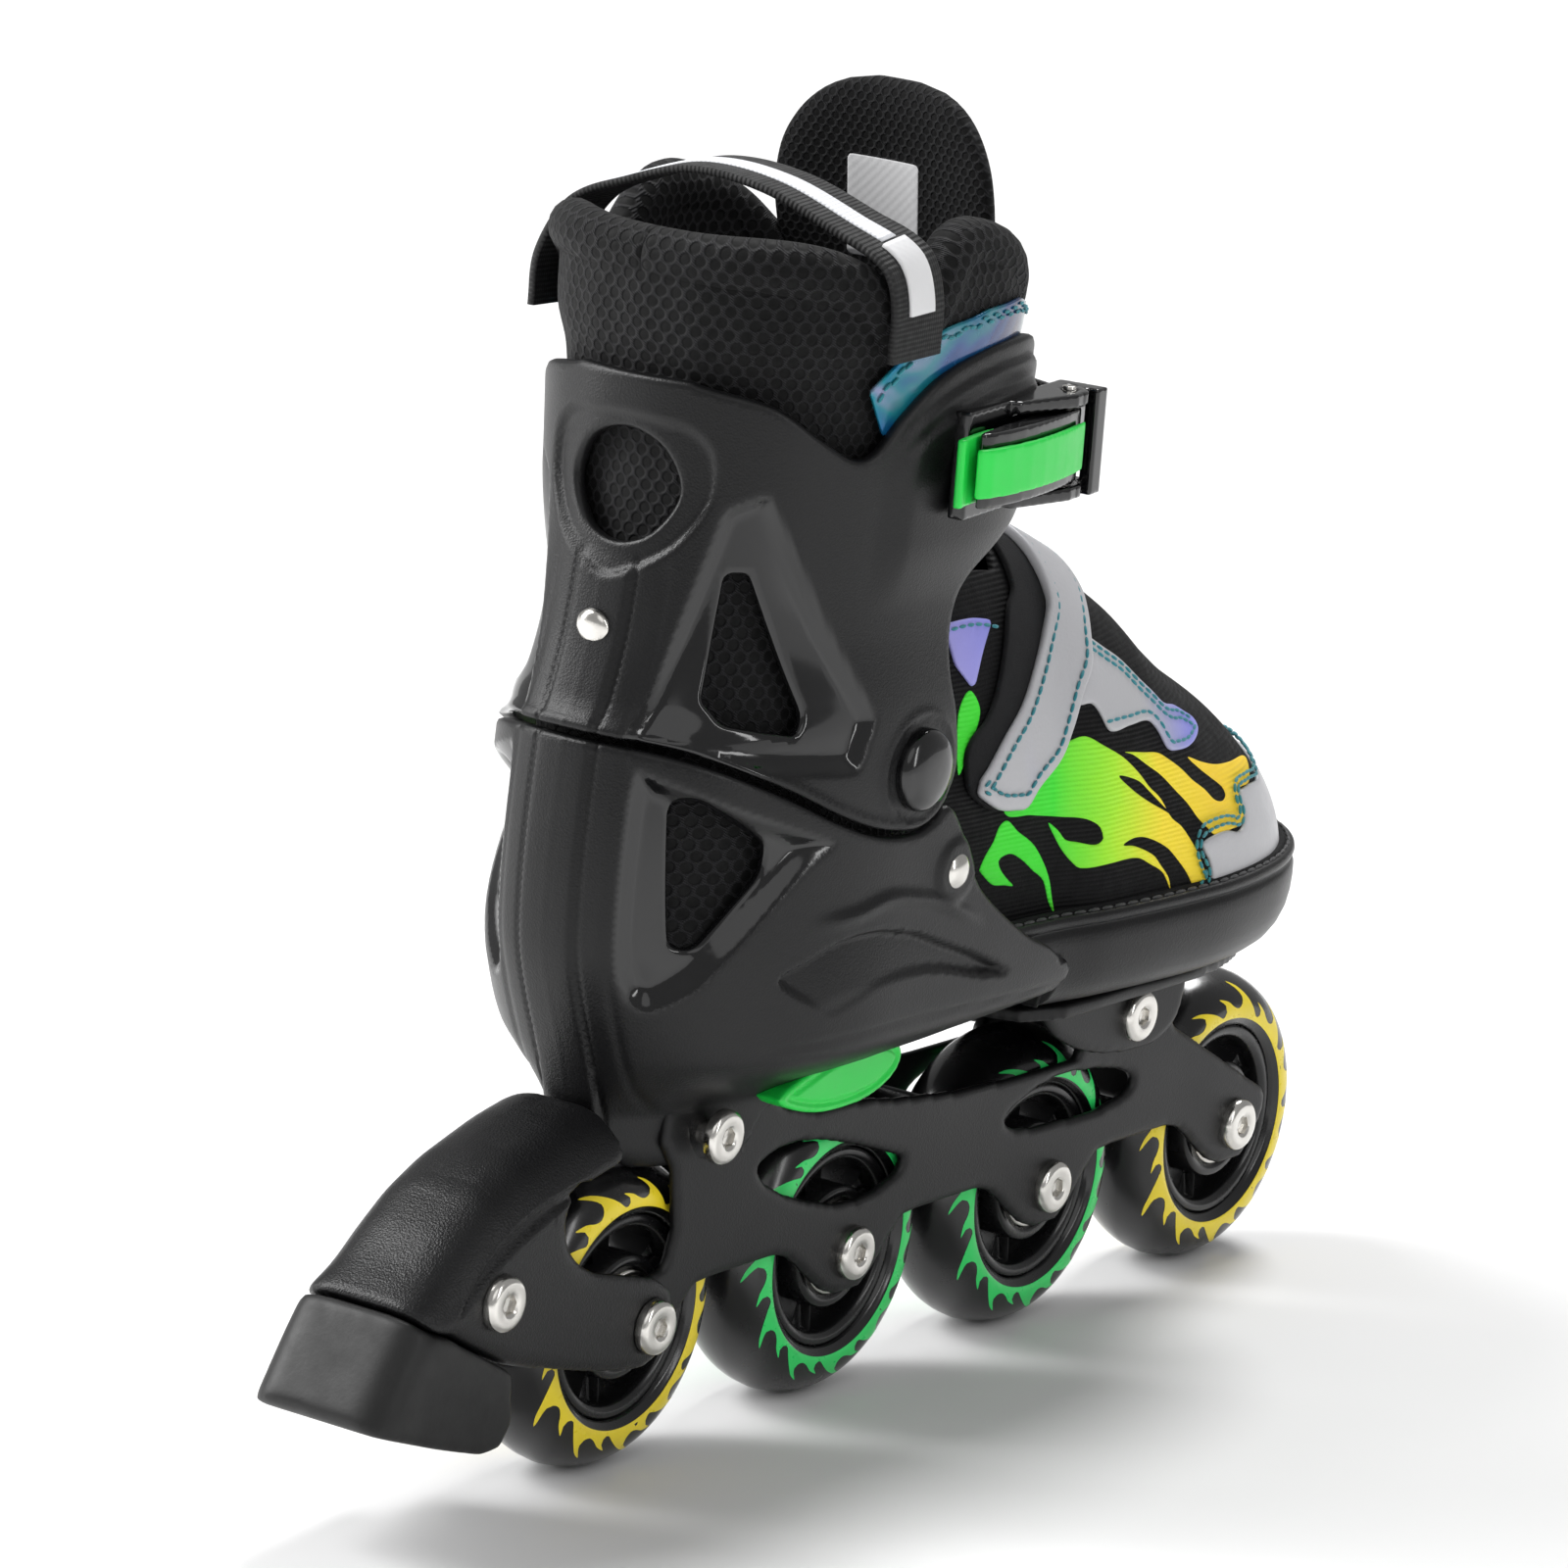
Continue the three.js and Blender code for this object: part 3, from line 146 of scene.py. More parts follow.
def smoothstep(x, low, high):
    t = np.clip((np.asarray(x, float) - low) / (high - low), 0, 1)
    return t * t * (3 - 2 * t)


# ---------- outlines ----------


def rounded(points, step, closed=True):
    """A smooth curve through the points, walked at about one step between its points."""
    p = np.asarray(points, float)
    n = len(p)
    out = []
    for i in range(n if closed else n - 1):
        pick = (lambda k: p[(i + k) % n]) if closed else (lambda k: p[min(max(i + k, 0), n - 1)])
        a, b, c, d = pick(-1), pick(0), pick(1), pick(2)
        count = max(int(np.linalg.norm(c - b) / step), 1)
        s = (np.arange(count) / count)[:, None]
        bc = np.linalg.norm(c - b) + 1e-9
        m1 = (c - a) * bc / (np.linalg.norm(b - a) + bc)
        m2 = (d - b) * bc / (np.linalg.norm(d - c) + bc)
        out.append(
            b * (1 + 2 * s) * (1 - s) ** 2 + c * (3 - 2 * s) * s**2
            + m1 * s * (1 - s) ** 2 - m2 * (1 - s) * s**2
        )
    if not closed:
        out.append(p[-1:])
    return np.concatenate(out)


def cornered(points, step, radius):
    """A closed outline with straight sides and corners rounded to a radius."""
    p = np.asarray(points, float)
    n = len(p)
    out = []
    for i in range(n):
        a, b, c = p[i - 1], p[i], p[(i + 1) % n]
        back, ahead = a - b, c - b
        reach_back = min(radius, 0.45 * np.linalg.norm(back))
        reach_ahead = min(radius, 0.45 * np.linalg.norm(ahead))
        start = b + back / np.linalg.norm(back) * reach_back
        end = b + ahead / np.linalg.norm(ahead) * reach_ahead
        count = max(int((reach_back + reach_ahead) / step), 3)
        s = np.linspace(0, 1, count)[:, None]
        out.append(start * (1 - s) ** 2 + 2 * b * s * (1 - s) + end * s**2)
    return walked(np.concatenate(out), step)


def walked(points, step, closed=True):
    """The same outline with its points evenly spaced."""
    p = np.asarray(points, float)
    if closed:
        p = np.concatenate([p, p[:1]])
    length = np.concatenate([[0], np.cumsum(np.linalg.norm(np.diff(p, axis=0), axis=1))])
    keep = np.concatenate([[True], np.diff(length) > 1e-9])
    p, length = p[keep], length[keep]
    count = max(int(round(length[-1] / step)), 4)
    at = np.linspace(0, length[-1], count + 1)
    even = np.stack([np.interp(at, length, p[:, k]) for k in range(p.shape[1])], -1)
    return even[:-1] if closed else even


def inside(points, loop):
    """Which of the points lie inside a closed outline."""
    x, y = points[:, 0], points[:, 1]
    within = np.zeros(len(points), bool)
    a = loop
    b = np.roll(loop, -1, axis=0)
    for (x1, y1), (x2, y2) in zip(a, b):
        crosses = (y1 > y) != (y2 > y)
        if y1 != y2:
            within ^= crosses & (x < (x2 - x1) * (y - y1) / (y2 - y1) + x1)
    return within


def distance(points, loop, closed=True):
    """How far each point is from an outline."""
    a = np.asarray(loop, float)
    b = np.roll(a, -1, axis=0)
    if not closed:
        a, b = a[:-1], b[:-1]
    way = b - a
    size = np.maximum((way**2).sum(1), 1e-12)
    best = np.empty(len(points))
    for start in range(0, len(points), 3000):
        p = points[start : start + 3000, None, :]
        t = np.clip(((p - a) * way).sum(-1) / size, 0, 1)
        best[start : start + 3000] = np.sqrt((((p - a) - t[..., None] * way) ** 2).sum(-1).min(1))
    return best


def depth_in(points, loop):
    """Distance to an outline, positive inside it and negative outside."""
    return np.where(inside(points, loop), 1, -1) * distance(points, loop)


def unit(rows):
    """Each row at a length of one."""
    return rows / np.maximum(np.linalg.norm(rows, axis=1, keepdims=True), 1e-9)


def tangent(line):
    """The way a line of points runs at each of them."""
    return unit(np.gradient(line, axis=0))


# ---------- meshes ----------


def to_frame(points):
    return np.asarray(points, float) * MM + ORIGIN


def points_of(piece):
    """A piece's points in millimetres from the rear axle."""
    place = np.zeros(len(piece.data.vertices) * 3)
    piece.data.vertices.foreach_get("co", place)
    return (place.reshape(-1, 3) - ORIGIN) / MM


def move_points(piece, place):
    piece.data.vertices.foreach_set("co", to_frame(place).ravel())


def added(name, data):
    """A new object in the scene."""
    piece = bpy.data.objects.new(name, data)
    bpy.context.scene.collection.objects.link(piece)
    return piece


def shade(piece, smooth=True):
    piece.data.polygons.foreach_set("use_smooth", [smooth] * len(piece.data.polygons))
    return piece


def mesh_piece(name, points, faces, material=None, smooth=True, own_frame=False):
    """A mesh object from points in millimetres."""
    mesh = bpy.data.meshes.new(name)
    place = np.asarray(points, float) if own_frame else to_frame(points)
    mesh.from_pydata(place.tolist(), [], [tuple(int(i) for i in f) for f in faces])
    mesh.update()
    if material:
        mesh.materials.append(material)
    return shade(added(name, mesh), smooth)


def settle(piece):
    """Makes what the modifiers give the piece's own plain mesh."""
    bpy.context.view_layer.update()
    graph = bpy.context.evaluated_depsgraph_get()
    mesh = bpy.data.meshes.new_from_object(piece.evaluated_get(graph), depsgraph=graph)
    piece.modifiers.clear()
    piece.data = mesh
    return piece


def tidy_mesh(piece, merge=1e-6):
    """Merges doubled points and turns the faces outwards."""
    bm = bmesh.new()
    bm.from_mesh(piece.data)
    bmesh.ops.remove_doubles(bm, verts=bm.verts, dist=merge)
    bmesh.ops.dissolve_degenerate(bm, dist=merge / 10, edges=bm.edges)
    bmesh.ops.recalc_face_normals(bm, faces=bm.faces)
    bm.to_mesh(piece.data)
    bm.free()
    return piece


def attribute(piece, name, values):
    layer = piece.data.attributes.new(name, "FLOAT", "POINT")
    layer.data.foreach_set("value", np.asarray(values, np.float32))


def uv_layer(piece, uv):
    """Gives the piece a UV map from one pair of numbers for each point."""
    layer = piece.data.uv_layers.new(name="UVMap")
    corner = np.zeros(len(piece.data.loops), int)
    piece.data.loops.foreach_get("vertex_index", corner)
    layer.data.foreach_set("uv", np.asarray(uv, np.float32)[corner].ravel())


def joined(name, pieces):
    """Several pieces as one object that keeps their materials."""
    for piece in pieces:
        piece.select_set(True)
    bpy.context.view_layer.objects.active = pieces[0]
    with bpy.context.temp_override(
        active_object=pieces[0], object=pieces[0], selected_objects=pieces, selected_editable_objects=pieces
    ):
        bpy.ops.object.join()
    pieces[0].name = name
    pieces[0].data.name = name
    return pieces[0]


def finished(piece, body, slot, *nodes):
    """Puts a finished piece on its body, in place of CAD nodes."""
    if body:
        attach(piece, body)
    if nodes:
        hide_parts(*nodes)
    return piece


def ring_faces(rows, columns):
    """Faces between rows of points that each close on themselves."""
    faces = []
    for i in range(rows - 1):
        for j in range(columns):
            a, b = i * columns, (i + 1) * columns
            k = (j + 1) % columns
            faces.append((a + j, a + k, b + k, b + j))
    return faces


def lathe(profile, middle, segments=64):
    """Points and faces of a body turned about x; the profile is (radius, distance along x) pairs."""
    profile = np.asarray(profile, float)
    angle = np.linspace(0, 2 * np.pi, segments, endpoint=False)
    radius, reach = profile[:, 0], profile[:, 1]
    run = np.repeat(reach[:, None], segments, 1)
    points = np.stack([run, np.outer(radius, np.cos(angle)), np.outer(radius, np.sin(angle))], -1)
    return points.reshape(-1, 3) + np.asarray(middle, float), ring_faces(len(profile), segments)


def turned(name, profile, middle, segments, maker):
    """A piece turned about x, in a material."""
    points, faces = lathe(profile, middle, segments)
    return mesh_piece(name, points, faces, finish(maker))


def capped(rings):
    """Points and faces of a body through rings of points (rings, points of each, 3), closed at both ends."""
    rows, columns = rings.shape[:2]
    faces = ring_faces(rows, columns)
    faces.append(tuple(range(columns))[::-1])
    faces.append(tuple((rows - 1) * columns + i for i in range(columns)))
    return rings.reshape(-1, 3), faces


def normals_of(surface, uv, step=0.25):
    """Unit normals of a surface given by a function of two lengths."""
    du, dv = np.array([step, 0]), np.array([0, step])
    along_u = surface(uv + du) - surface(uv - du)
    along_v = surface(uv + dv) - surface(uv - dv)
    return unit(np.cross(along_u, along_v))


def fill(outline, holes, cell, edge):
    """Points and triangles that fill an outline: rings near its edges and an even net within."""
    loops = [np.asarray(outline, float)] + [np.asarray(h, float) for h in holes]
    kept, constraints, count = [], [], 0
    for loop in loops:
        kept.append(loop)
        n = len(loop)
        constraints += [(count + i, count + (i + 1) % n) for i in range(n)]
        count += n
    ring_points = []
    for k, loop in enumerate(loops):
        way = unit(np.roll(loop, -1, axis=0) - np.roll(loop, 1, axis=0))
        side = np.stack([-way[:, 1], way[:, 0]], -1)
        area = (loop[:, 0] * np.roll(loop[:, 1], -1) - loop[:, 1] * np.roll(loop[:, 0], -1)).sum()
        inwards = 1 if (area > 0) == (k == 0) else -1
        for share in (0.3, 1.0):
            ring = loop + side * inwards * edge * share
            ring_points.append(ring[distance_all(ring, loops) > edge * share * 0.9])
    low, high = loops[0].min(0), loops[0].max(0)
    rows = np.arange(low[1], high[1], cell * 0.866)
    net = []
    for i, v in enumerate(rows):
        u = np.arange(low[0] + (i % 2) * cell / 2, high[0], cell)
        net.append(np.stack([u, np.full_like(u, v)], -1))
    net = np.concatenate(net)
    net = net[distance_all(net, loops) > edge + cell * 0.45]
    loose = np.concatenate(ring_points + [net])
    loose = loose[within_all(loose, loops)]
    points = np.concatenate(kept + [loose])
    vertices, _, faces, _, _, _ = delaunay_2d_cdt(
        [Vector(p) for p in points], constraints, [], 0, 1e-6, True
    )
    vertices = np.array([tuple(v) for v in vertices])
    faces = np.array([tuple(f) for f in faces if len(f) == 3])
    faces = faces[within_all(vertices[faces].mean(1), loops)]
    used = np.unique(faces)
    index = np.full(len(vertices), -1)
    index[used] = np.arange(len(used))
    return vertices[used], index[faces], loops


def distance_all(points, loops):
    return np.min([distance(points, loop) for loop in loops], axis=0)


def within_all(points, loops):
    keep = inside(points, loops[0])
    for hole in loops[1:]:
        keep &= ~inside(points, hole)
    return keep


def skin(name, outline, holes, surface, cell, thick, edge, material, height=None, out=1, lift=0):
    """A wall of a given thickness over a surface, with its edges and holes rounded off.
    height gives how far each point stands proud, from its two lengths and its place."""
    uv, faces, loops = fill(outline, holes, cell, edge)
    base = surface(uv)
    normal = normals_of(surface, uv) * out
    near = np.minimum(distance_all(uv, loops) / edge, 1)
    drop = min(edge, thick * 0.48) * (1 - np.sqrt(np.maximum(1 - (1 - near) ** 2, 0)))
    proud = height(uv, base) if height else 0
    outer = base + normal * (lift + proud - drop)[:, None]
    inner = base + normal * (lift - thick + drop * 0.6 + np.minimum(proud, 0))[:, None]
    n = len(uv)
    a, b, c = (outer[faces[:, k]] for k in range(3))
    if (np.cross(b - a, c - a) * normal[faces[:, 0]]).sum() < 0:
        faces = faces[:, ::-1]
    edges = np.concatenate([faces[:, [0, 1]], faces[:, [1, 2]], faces[:, [2, 0]]])
    key = set(map(tuple, edges.tolist()))
    rim = [(a, b) for a, b in key if (b, a) not in key]
    walls = [(b, a, a + n, b + n) for a, b in rim]
    all_faces = [tuple(f) for f in faces] + [tuple(f[::-1] + n) for f in faces] + walls
    piece = mesh_piece(name, np.concatenate([outer, inner]), all_faces, material)
    uv_layer(piece, np.concatenate([uv, uv]) * 0.01)
    return piece, np.concatenate([uv, uv]), np.concatenate([base, base])


def soften(name, node, voxel, rounds, material, shrink=0.0, reduce=1.0, keep_below=None):
    """A copy of a CAD node with its edges rounded like a moulding's."""
    piece = added(name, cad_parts[node].data.copy())
    piece.data.name = name
    piece.data.materials.clear()
    piece.data.materials.append(material)
    tidy_mesh(piece)
    if keep_below is not None:
        bm = bmesh.new()
        bm.from_mesh(piece.data)
        cut = bmesh.ops.bisect_plane(
            bm, geom=bm.verts[:] + bm.edges[:] + bm.faces[:], dist=1e-7,
            plane_co=(0, 0, keep_below * MM), plane_no=(0, 0, 1), clear_outer=True,
        )
        rim = [e for e in cut["geom_cut"] if isinstance(e, bmesh.types.BMEdge)]
        bmesh.ops.triangle_fill(bm, edges=rim, use_beauty=True)
        bmesh.ops.recalc_face_normals(bm, faces=bm.faces)
        bm.to_mesh(piece.data)
        bm.free()
    remesh = piece.modifiers.new("even", "REMESH")
    remesh.mode = "VOXEL"
    remesh.voxel_size = voxel * MM
    remesh.use_smooth_shade = True
    relax = piece.modifiers.new("relax", "SMOOTH")
    relax.factor = 0.5
    relax.iterations = rounds
    if shrink:
        inset = piece.modifiers.new("inset", "DISPLACE")
        inset.strength = -shrink * MM
        inset.mid_level = 0
    if reduce < 1:
        fewer = piece.modifiers.new("fewer", "DECIMATE")
        fewer.ratio = reduce
    return shade(settle(piece))


# ---------- finishes ----------


def scaled(colour, share):
    return tuple(c * share for c in colour)


class Finish:
    """A material built node by node on one Principled shader."""

    def __init__(self, name, **settings):
        self.material = bpy.data.materials.new(name)
        self.material.use_nodes = True
        self.tree = self.material.node_tree
        self.shader = self.tree.nodes["Principled BSDF"]
        for socket, value in settings.items():
            self.shader.inputs[socket.replace("_", " ").title().replace("Ior", "IOR")].default_value = value

    def node(self, kind, **settings):
        node = self.tree.nodes.new(kind)
        for key, value in settings.items():
            setattr(node, key, value)
        return node

    def put(self, socket, value):
        if isinstance(value, bpy.types.NodeSocket):
            self.tree.links.new(value, socket)
        elif value is not None:
            coloured = isinstance(value, tuple) and len(value) == 3
            socket.default_value = (*value, 1) if coloured else value

    def math(self, operation, a, b=None, clamp=False):
        node = self.node("ShaderNodeMath", operation=operation, use_clamp=clamp)
        for socket, value in zip(node.inputs, (a, b)):
            self.put(socket, value)
        return node.outputs[0]

    def times(self, a, b, clamp=False):
        return self.math("MULTIPLY", a, b, clamp)

    def plus(self, a, b):
        return self.math("ADD", a, b)

    def place(self):
        return self.node("ShaderNodeTexCoord").outputs["Object"]

    def uv(self):
        return self.node("ShaderNodeTexCoord").outputs["UV"]

    def parts(self, vector):
        node = self.node("ShaderNodeSeparateXYZ")
        self.put(node.inputs[0], vector)
        return node.outputs

    def noise(self, scale, detail=3.0, roughness=0.6, distortion=0.0):
        node = self.node("ShaderNodeTexNoise")
        self.put(node.inputs["Vector"], self.place())
        node.inputs["Scale"].default_value = scale
        node.inputs["Detail"].default_value = detail
        node.inputs["Roughness"].default_value = roughness
        node.inputs["Distortion"].default_value = distortion
        return node.outputs["Fac"]

    def cells(self, scale):
        node = self.node("ShaderNodeTexVoronoi")
        self.put(node.inputs["Vector"], self.place())
        node.inputs["Scale"].default_value = scale
        return node.outputs["Distance"]

    def spread(self, value, low, high, to_low=0.0, to_high=1.0, smooth=False):
        node = self.node("ShaderNodeMapRange")
        if smooth:
            node.interpolation_type = "SMOOTHSTEP"
        for socket, item in zip(node.inputs, (value, low, high, to_low, to_high)):
            self.put(socket, item)
        return node.outputs["Result"]

    def blend(self, factor, a, b):
        node = self.node("ShaderNodeMix", data_type="RGBA")
        self.put(node.inputs[0], factor)
        for socket, value in ((node.inputs[6], a), (node.inputs[7], b)):
            self.put(socket, value)
        return node.outputs[2]

    def ramp(self, value, stops):
        node = self.node("ShaderNodeValToRGB")
        self.put(node.inputs[0], value)
        ramp = node.color_ramp
        while len(ramp.elements) < len(stops):
            ramp.elements.new(0.5)
        for element, (at, colour) in zip(ramp.elements, stops):
            element.position = at
            element.color = (*colour, 1)
        return node.outputs["Color"]

    def named(self, name):
        return self.node("ShaderNodeAttribute", attribute_name=name).outputs["Fac"]

    def set(self, name, value):
        self.put(self.shader.inputs[name], value)

    def tint(self, scale, colour, share, detail=3.0):
        """A colour that drifts in patches towards a share of itself."""
        self.set("Base Color", self.blend(self.noise(scale, detail), colour, scaled(colour, share)))

    def rough(self, scale, low, high, detail=3.0, top=0.7):
        """A roughness that drifts between two values."""
        self.set("Roughness", self.spread(self.noise(scale, detail), 0.3, top, low, high))

    def relief(self, height, distance, strength):
        """Small bumps from a height pattern."""
        node = self.node("ShaderNodeBump")
        node.inputs["Strength"].default_value = strength
        node.inputs["Distance"].default_value = distance
        self.put(node.inputs["Height"], height)
        self.set("Normal", node.outputs["Normal"])

    def round_ankle(self):
        """Lengths round the ankle and up it, in metres, for a pattern that wraps the boot."""
        x, y, z = self.parts(self.place())
        middle = to_frame((0, 42, 0))
        east = self.math("SUBTRACT", x, float(middle[0]))
        south = self.math("SUBTRACT", float(middle[1]), y)
        return self.times(self.math("ARCTAN2", east, south), 0.046), z

    def honeycomb(self, u, v, pitch, tall=0.86):
        """How far each point is from the nearest hole of a net of holes set like a honeycomb's."""
        wide, high = pitch, pitch * 1.732 * tall
        nearest = None
        for shift in (0.0, 0.5):
            sides = []
            for value, size in ((u, wide), (v, high)):
                cell = self.math("FRACT", self.plus(self.math("DIVIDE", value, size), shift + 100.0))
                sides.append(self.times(self.math("SUBTRACT", cell, 0.5), size / pitch))
            far = self.math("SQRT", self.plus(self.math("POWER", self.math("ABSOLUTE", sides[0]), 2.0),
                                              self.math("POWER", self.math("ABSOLUTE", sides[1]), 2.0)))
            nearest = far if nearest is None else self.math("MINIMUM", nearest, far)
        return nearest


MATERIALS = {}


def finish(maker):
    """The material that a maker function builds, made once."""
    if maker.__name__ not in MATERIALS:
        MATERIALS[maker.__name__] = maker().material
    return MATERIALS[maker.__name__]


def colours():
    return bpy.context.scene.skate_colours


def rgb(name):
    return tuple(getattr(colours(), name))


def textured_plastic(name, colour, rough, grain, polish=True):
    """Moulded plastic with a fine spark-eroded grain, and polished where the gloss attribute says so."""
    f = Finish(name)
    gloss = f.named("gloss") if polish else 0.0
    f.set("Specular IOR Level", f.spread(gloss, 0, 1, 0.30, 0.6) if polish else 0.30)
    patches = f.noise(22, detail=2)
    fine = f.noise(2600, detail=2, roughness=0.7)
    pits = f.cells(1900)
    base = f.blend(f.spread(patches, 0.35, 0.7), colour, tuple(c * 1.35 + 0.001 for c in colour))
    f.set("Base Color", base)
    matte = f.spread(patches, 0.3, 0.7, rough - 0.04, rough + 0.06)
    shiny = f.spread(f.noise(60, detail=4), 0.3, 0.8, 0.07, 0.16)
    if polish:
        f.set("Roughness", f.plus(f.times(matte, f.math("SUBTRACT", 1.0, gloss)),
                                  f.times(shiny, gloss)))
    else:
        f.set("Roughness", matte)
    relief = f.plus(f.times(fine, 0.6), f.times(pits, 0.6))
    if polish:
        relief = f.times(relief, f.math("SUBTRACT", 1.0, gloss))
    f.relief(relief, grain, 0.6)
    return f


def shell_black():
    return textured_plastic("shell_plastic", rgb("shell"), 0.36, 0.00012)


def chassis_black():
    return textured_plastic("chassis_plastic", rgb("shell"), 0.40, 0.00008, polish=False)


def brake_black():
    return textured_plastic("brake_plastic", rgb("shell"), 0.33, 0.00022, polish=False)


def pad_rubber():
    f = Finish("pad_rubber", specular_ior_level=0.4)
    f.tint(30, rgb("rubber"), 1.6)
    f.rough(90, 0.42, 0.62, detail=5, top=0.75)
    scuffs = f.times(f.noise(900, detail=4), 0.7)
    f.relief(scuffs, 0.0001, 0.5)
    return f


def tyre_urethane():
    f = Finish("tyre_urethane", coat_weight=0.25, coat_roughness=0.12)
    f.tint(40, rgb("tyre"), 1.8)
    f.rough(70, 0.16, 0.34, detail=5, top=0.75)
    f.relief(f.noise(1400, detail=3), 0.00003, 0.4)
    return f


def hub_black():
    f = Finish("hub_plastic")
    f.tint(50, rgb("shell"), 1.5)
    f.rough(120, 0.18, 0.32, detail=4)
    f.relief(f.noise(1800), 0.00003, 0.4)
    return f


def gloss_black():
    f = Finish("gloss_plastic", coat_weight=0.4, coat_roughness=0.04)
    f.tint(40, rgb("gloss"), 1.5)
    f.rough(160, 0.10, 0.22, detail=5, top=0.8)
    f.relief(f.noise(500, detail=2), 0.00002, 0.3)
    return f


def bright_metal(name, colour, rough):
    """Plated steel with fine turning marks and a little haze."""
    f = Finish(name, metallic=1.0)
    f.tint(300, colour, 0.8, detail=3)
    f.rough(700, rough, rough + 0.14, detail=4, top=0.75)
    f.relief(f.noise(2500, detail=2), 0.00002, 0.5)
    return f


def nickel():
    return bright_metal("nickel_steel", rgb("nickel"), 0.14)


def bearing_steel():
    return bright_metal("bearing_steel", (0.72, 0.62, 0.46), 0.2)


def green_plastic():
    f = Finish("green_plastic", subsurface_weight=0.06, subsurface_scale=0.002)
    f.tint(60, rgb("green"), 0.86)
    f.rough(200, 0.30, 0.42, detail=4)
    f.relief(f.noise(2200, detail=2), 0.00004, 0.5)
    return f


def printed(name, low, high, stops):
    """Printing ink, its colour graded along the skate between two distances from the rear axle."""
    f = Finish(name)
    y = f.parts(f.place())[1]
    wander = f.times(f.math("SUBTRACT", f.noise(30), 0.5), 0.012)
    at = f.plus(y, wander)
    low_y, high_y = (float(to_frame((0, v, 0))[1]) for v in (low, high))
    f.set("Base Color", f.ramp(f.spread(at, low_y, high_y), stops))
    return f


def flame_print():
    f = printed("flame_print", 95, 180, [
        (0.0, rgb("flame_green")), (0.30, rgb("flame_green")), (0.52, (0.42, 0.88, 0.02)),
        (0.72, rgb("flame_yellow")),
        (1.0, (0.96, 0.66, 0.03))])
    f.rough(300, 0.55, 0.7)
    z = f.parts(f.place())[2]
    f.relief(ribs(f, z), 0.00018, 0.6)
    return f


def ribs(f, z, pitch=0.0011):
    """Fine knitted ribs that run level round a piece."""
    wander = f.times(f.noise(25, detail=1), 0.002)
    wave = f.math("SINE", f.times(f.plus(z, wander), 2 * math.pi / pitch))
    return f.plus(f.times(wave, 0.5), f.times(f.noise(2200, detail=2), 0.8))


def wheel_print(name, colour):
    f = Finish(name)
    f.tint(120, colour, 0.82)
    f.rough(400, 0.25, 0.4)
    f.relief(f.noise(1500), 0.00002, 0.4)
    return f


def yellow_wheel_print():
    return wheel_print("yellow_wheel_print", rgb("flame_yellow"))


def green_wheel_print():
    return wheel_print("green_wheel_print", rgb("wheel_green"))


def air_mesh():
    """Black spacer mesh: a net of threads over rows of deep holes, with painted shade in the holes and
    between the strands.
    """
    f = Finish("air_mesh", sheen_weight=0.03, sheen_roughness=0.5, specular_ior_level=0.2)
    u, v = f.round_ankle()
    warp = f.times(f.math("SUBTRACT", f.noise(60, detail=1), 0.5), 0.0012)
    far = f.honeycomb(f.plus(u, warp), f.plus(v, f.times(warp, 0.7)), 0.0034)
    net = f.spread(far, 0.30, 0.46, smooth=True)
    strands = f.math("SINE", f.times(f.plus(u, f.times(v, 1.6)), 2 * math.pi / 0.0009))
    thread = f.times(net, f.plus(0.75, f.times(strands, 0.25)))
    patches = f.spread(f.noise(35), 0.3, 0.7, 0.75, 1.25)
    shade = f.times(thread, patches, clamp=True)
    # painted shade: the holes and the dips between strands are darkened towards the hole shade colour
    f.set("Base Color", f.blend(shade, rgb("hole_shade_and_dark_fibre"), rgb("mesh_thread")))
    f.rough(500, 0.62, 0.82)
    f.relief(thread, 0.0007, 0.9)
    return f


def tongue_mesh():
    """Finer spacer mesh with diagonal ribs, with painted shade in its holes and between its strands."""
    f = Finish("tongue_mesh", sheen_weight=0.02, sheen_roughness=0.5, specular_ior_level=0.2)
    x, _, z = f.parts(f.place())
    warp = f.times(f.math("SUBTRACT", f.noise(50, detail=1), 0.5), 0.001)
    far = f.honeycomb(f.plus(x, warp), f.plus(z, warp), 0.0024)
    net = f.spread(far, 0.28, 0.46, smooth=True)
    strands = f.math("SINE", f.times(f.plus(x, z), 2 * math.pi / 0.0007))
    thread = f.times(net, f.plus(0.8, f.times(strands, 0.2)))
    # painted shade: the holes and the dips between strands are darkened
    f.set("Base Color", f.blend(f.times(thread, f.spread(f.noise(30), 0.3, 0.7, 0.7, 1.2), clamp=True),
                                rgb("hole_shade_and_dark_fibre"), scaled(rgb("mesh_thread"), 0.8)))
    f.rough(500, 0.7, 0.86)
    f.relief(thread, 0.00045, 0.9)
    return f


def lining():
    """Brushed lining fabric."""
    f = Finish("lining", sheen_weight=0.02, sheen_roughness=0.6, specular_ior_level=0.2)
    f.set("Base Color", f.blend(f.noise(400, detail=4), rgb("hole_shade_and_dark_fibre"), scaled(rgb("mesh_thread"), 0.7)))
    f.rough(200, 0.75, 0.9)
    f.relief(f.noise(1500, detail=5, roughness=0.8), 0.0003, 0.7)
    return f


def upper_knit():
    f = Finish("upper_fabric", sheen_weight=0.01, sheen_roughness=0.5, specular_ior_level=0.15)
    z = f.parts(f.place())[2]
    rib = ribs(f, z)
    # painted shade: the fabric darkens in the valleys between its ribs
    f.set("Base Color", f.blend(f.spread(rib, -0.1, 1.1), scaled(rgb("fabric"), 0.4), rgb("fabric")))
    f.rough(300, 0.6, 0.75)
    f.relief(rib, 0.00022, 0.8)
    return f


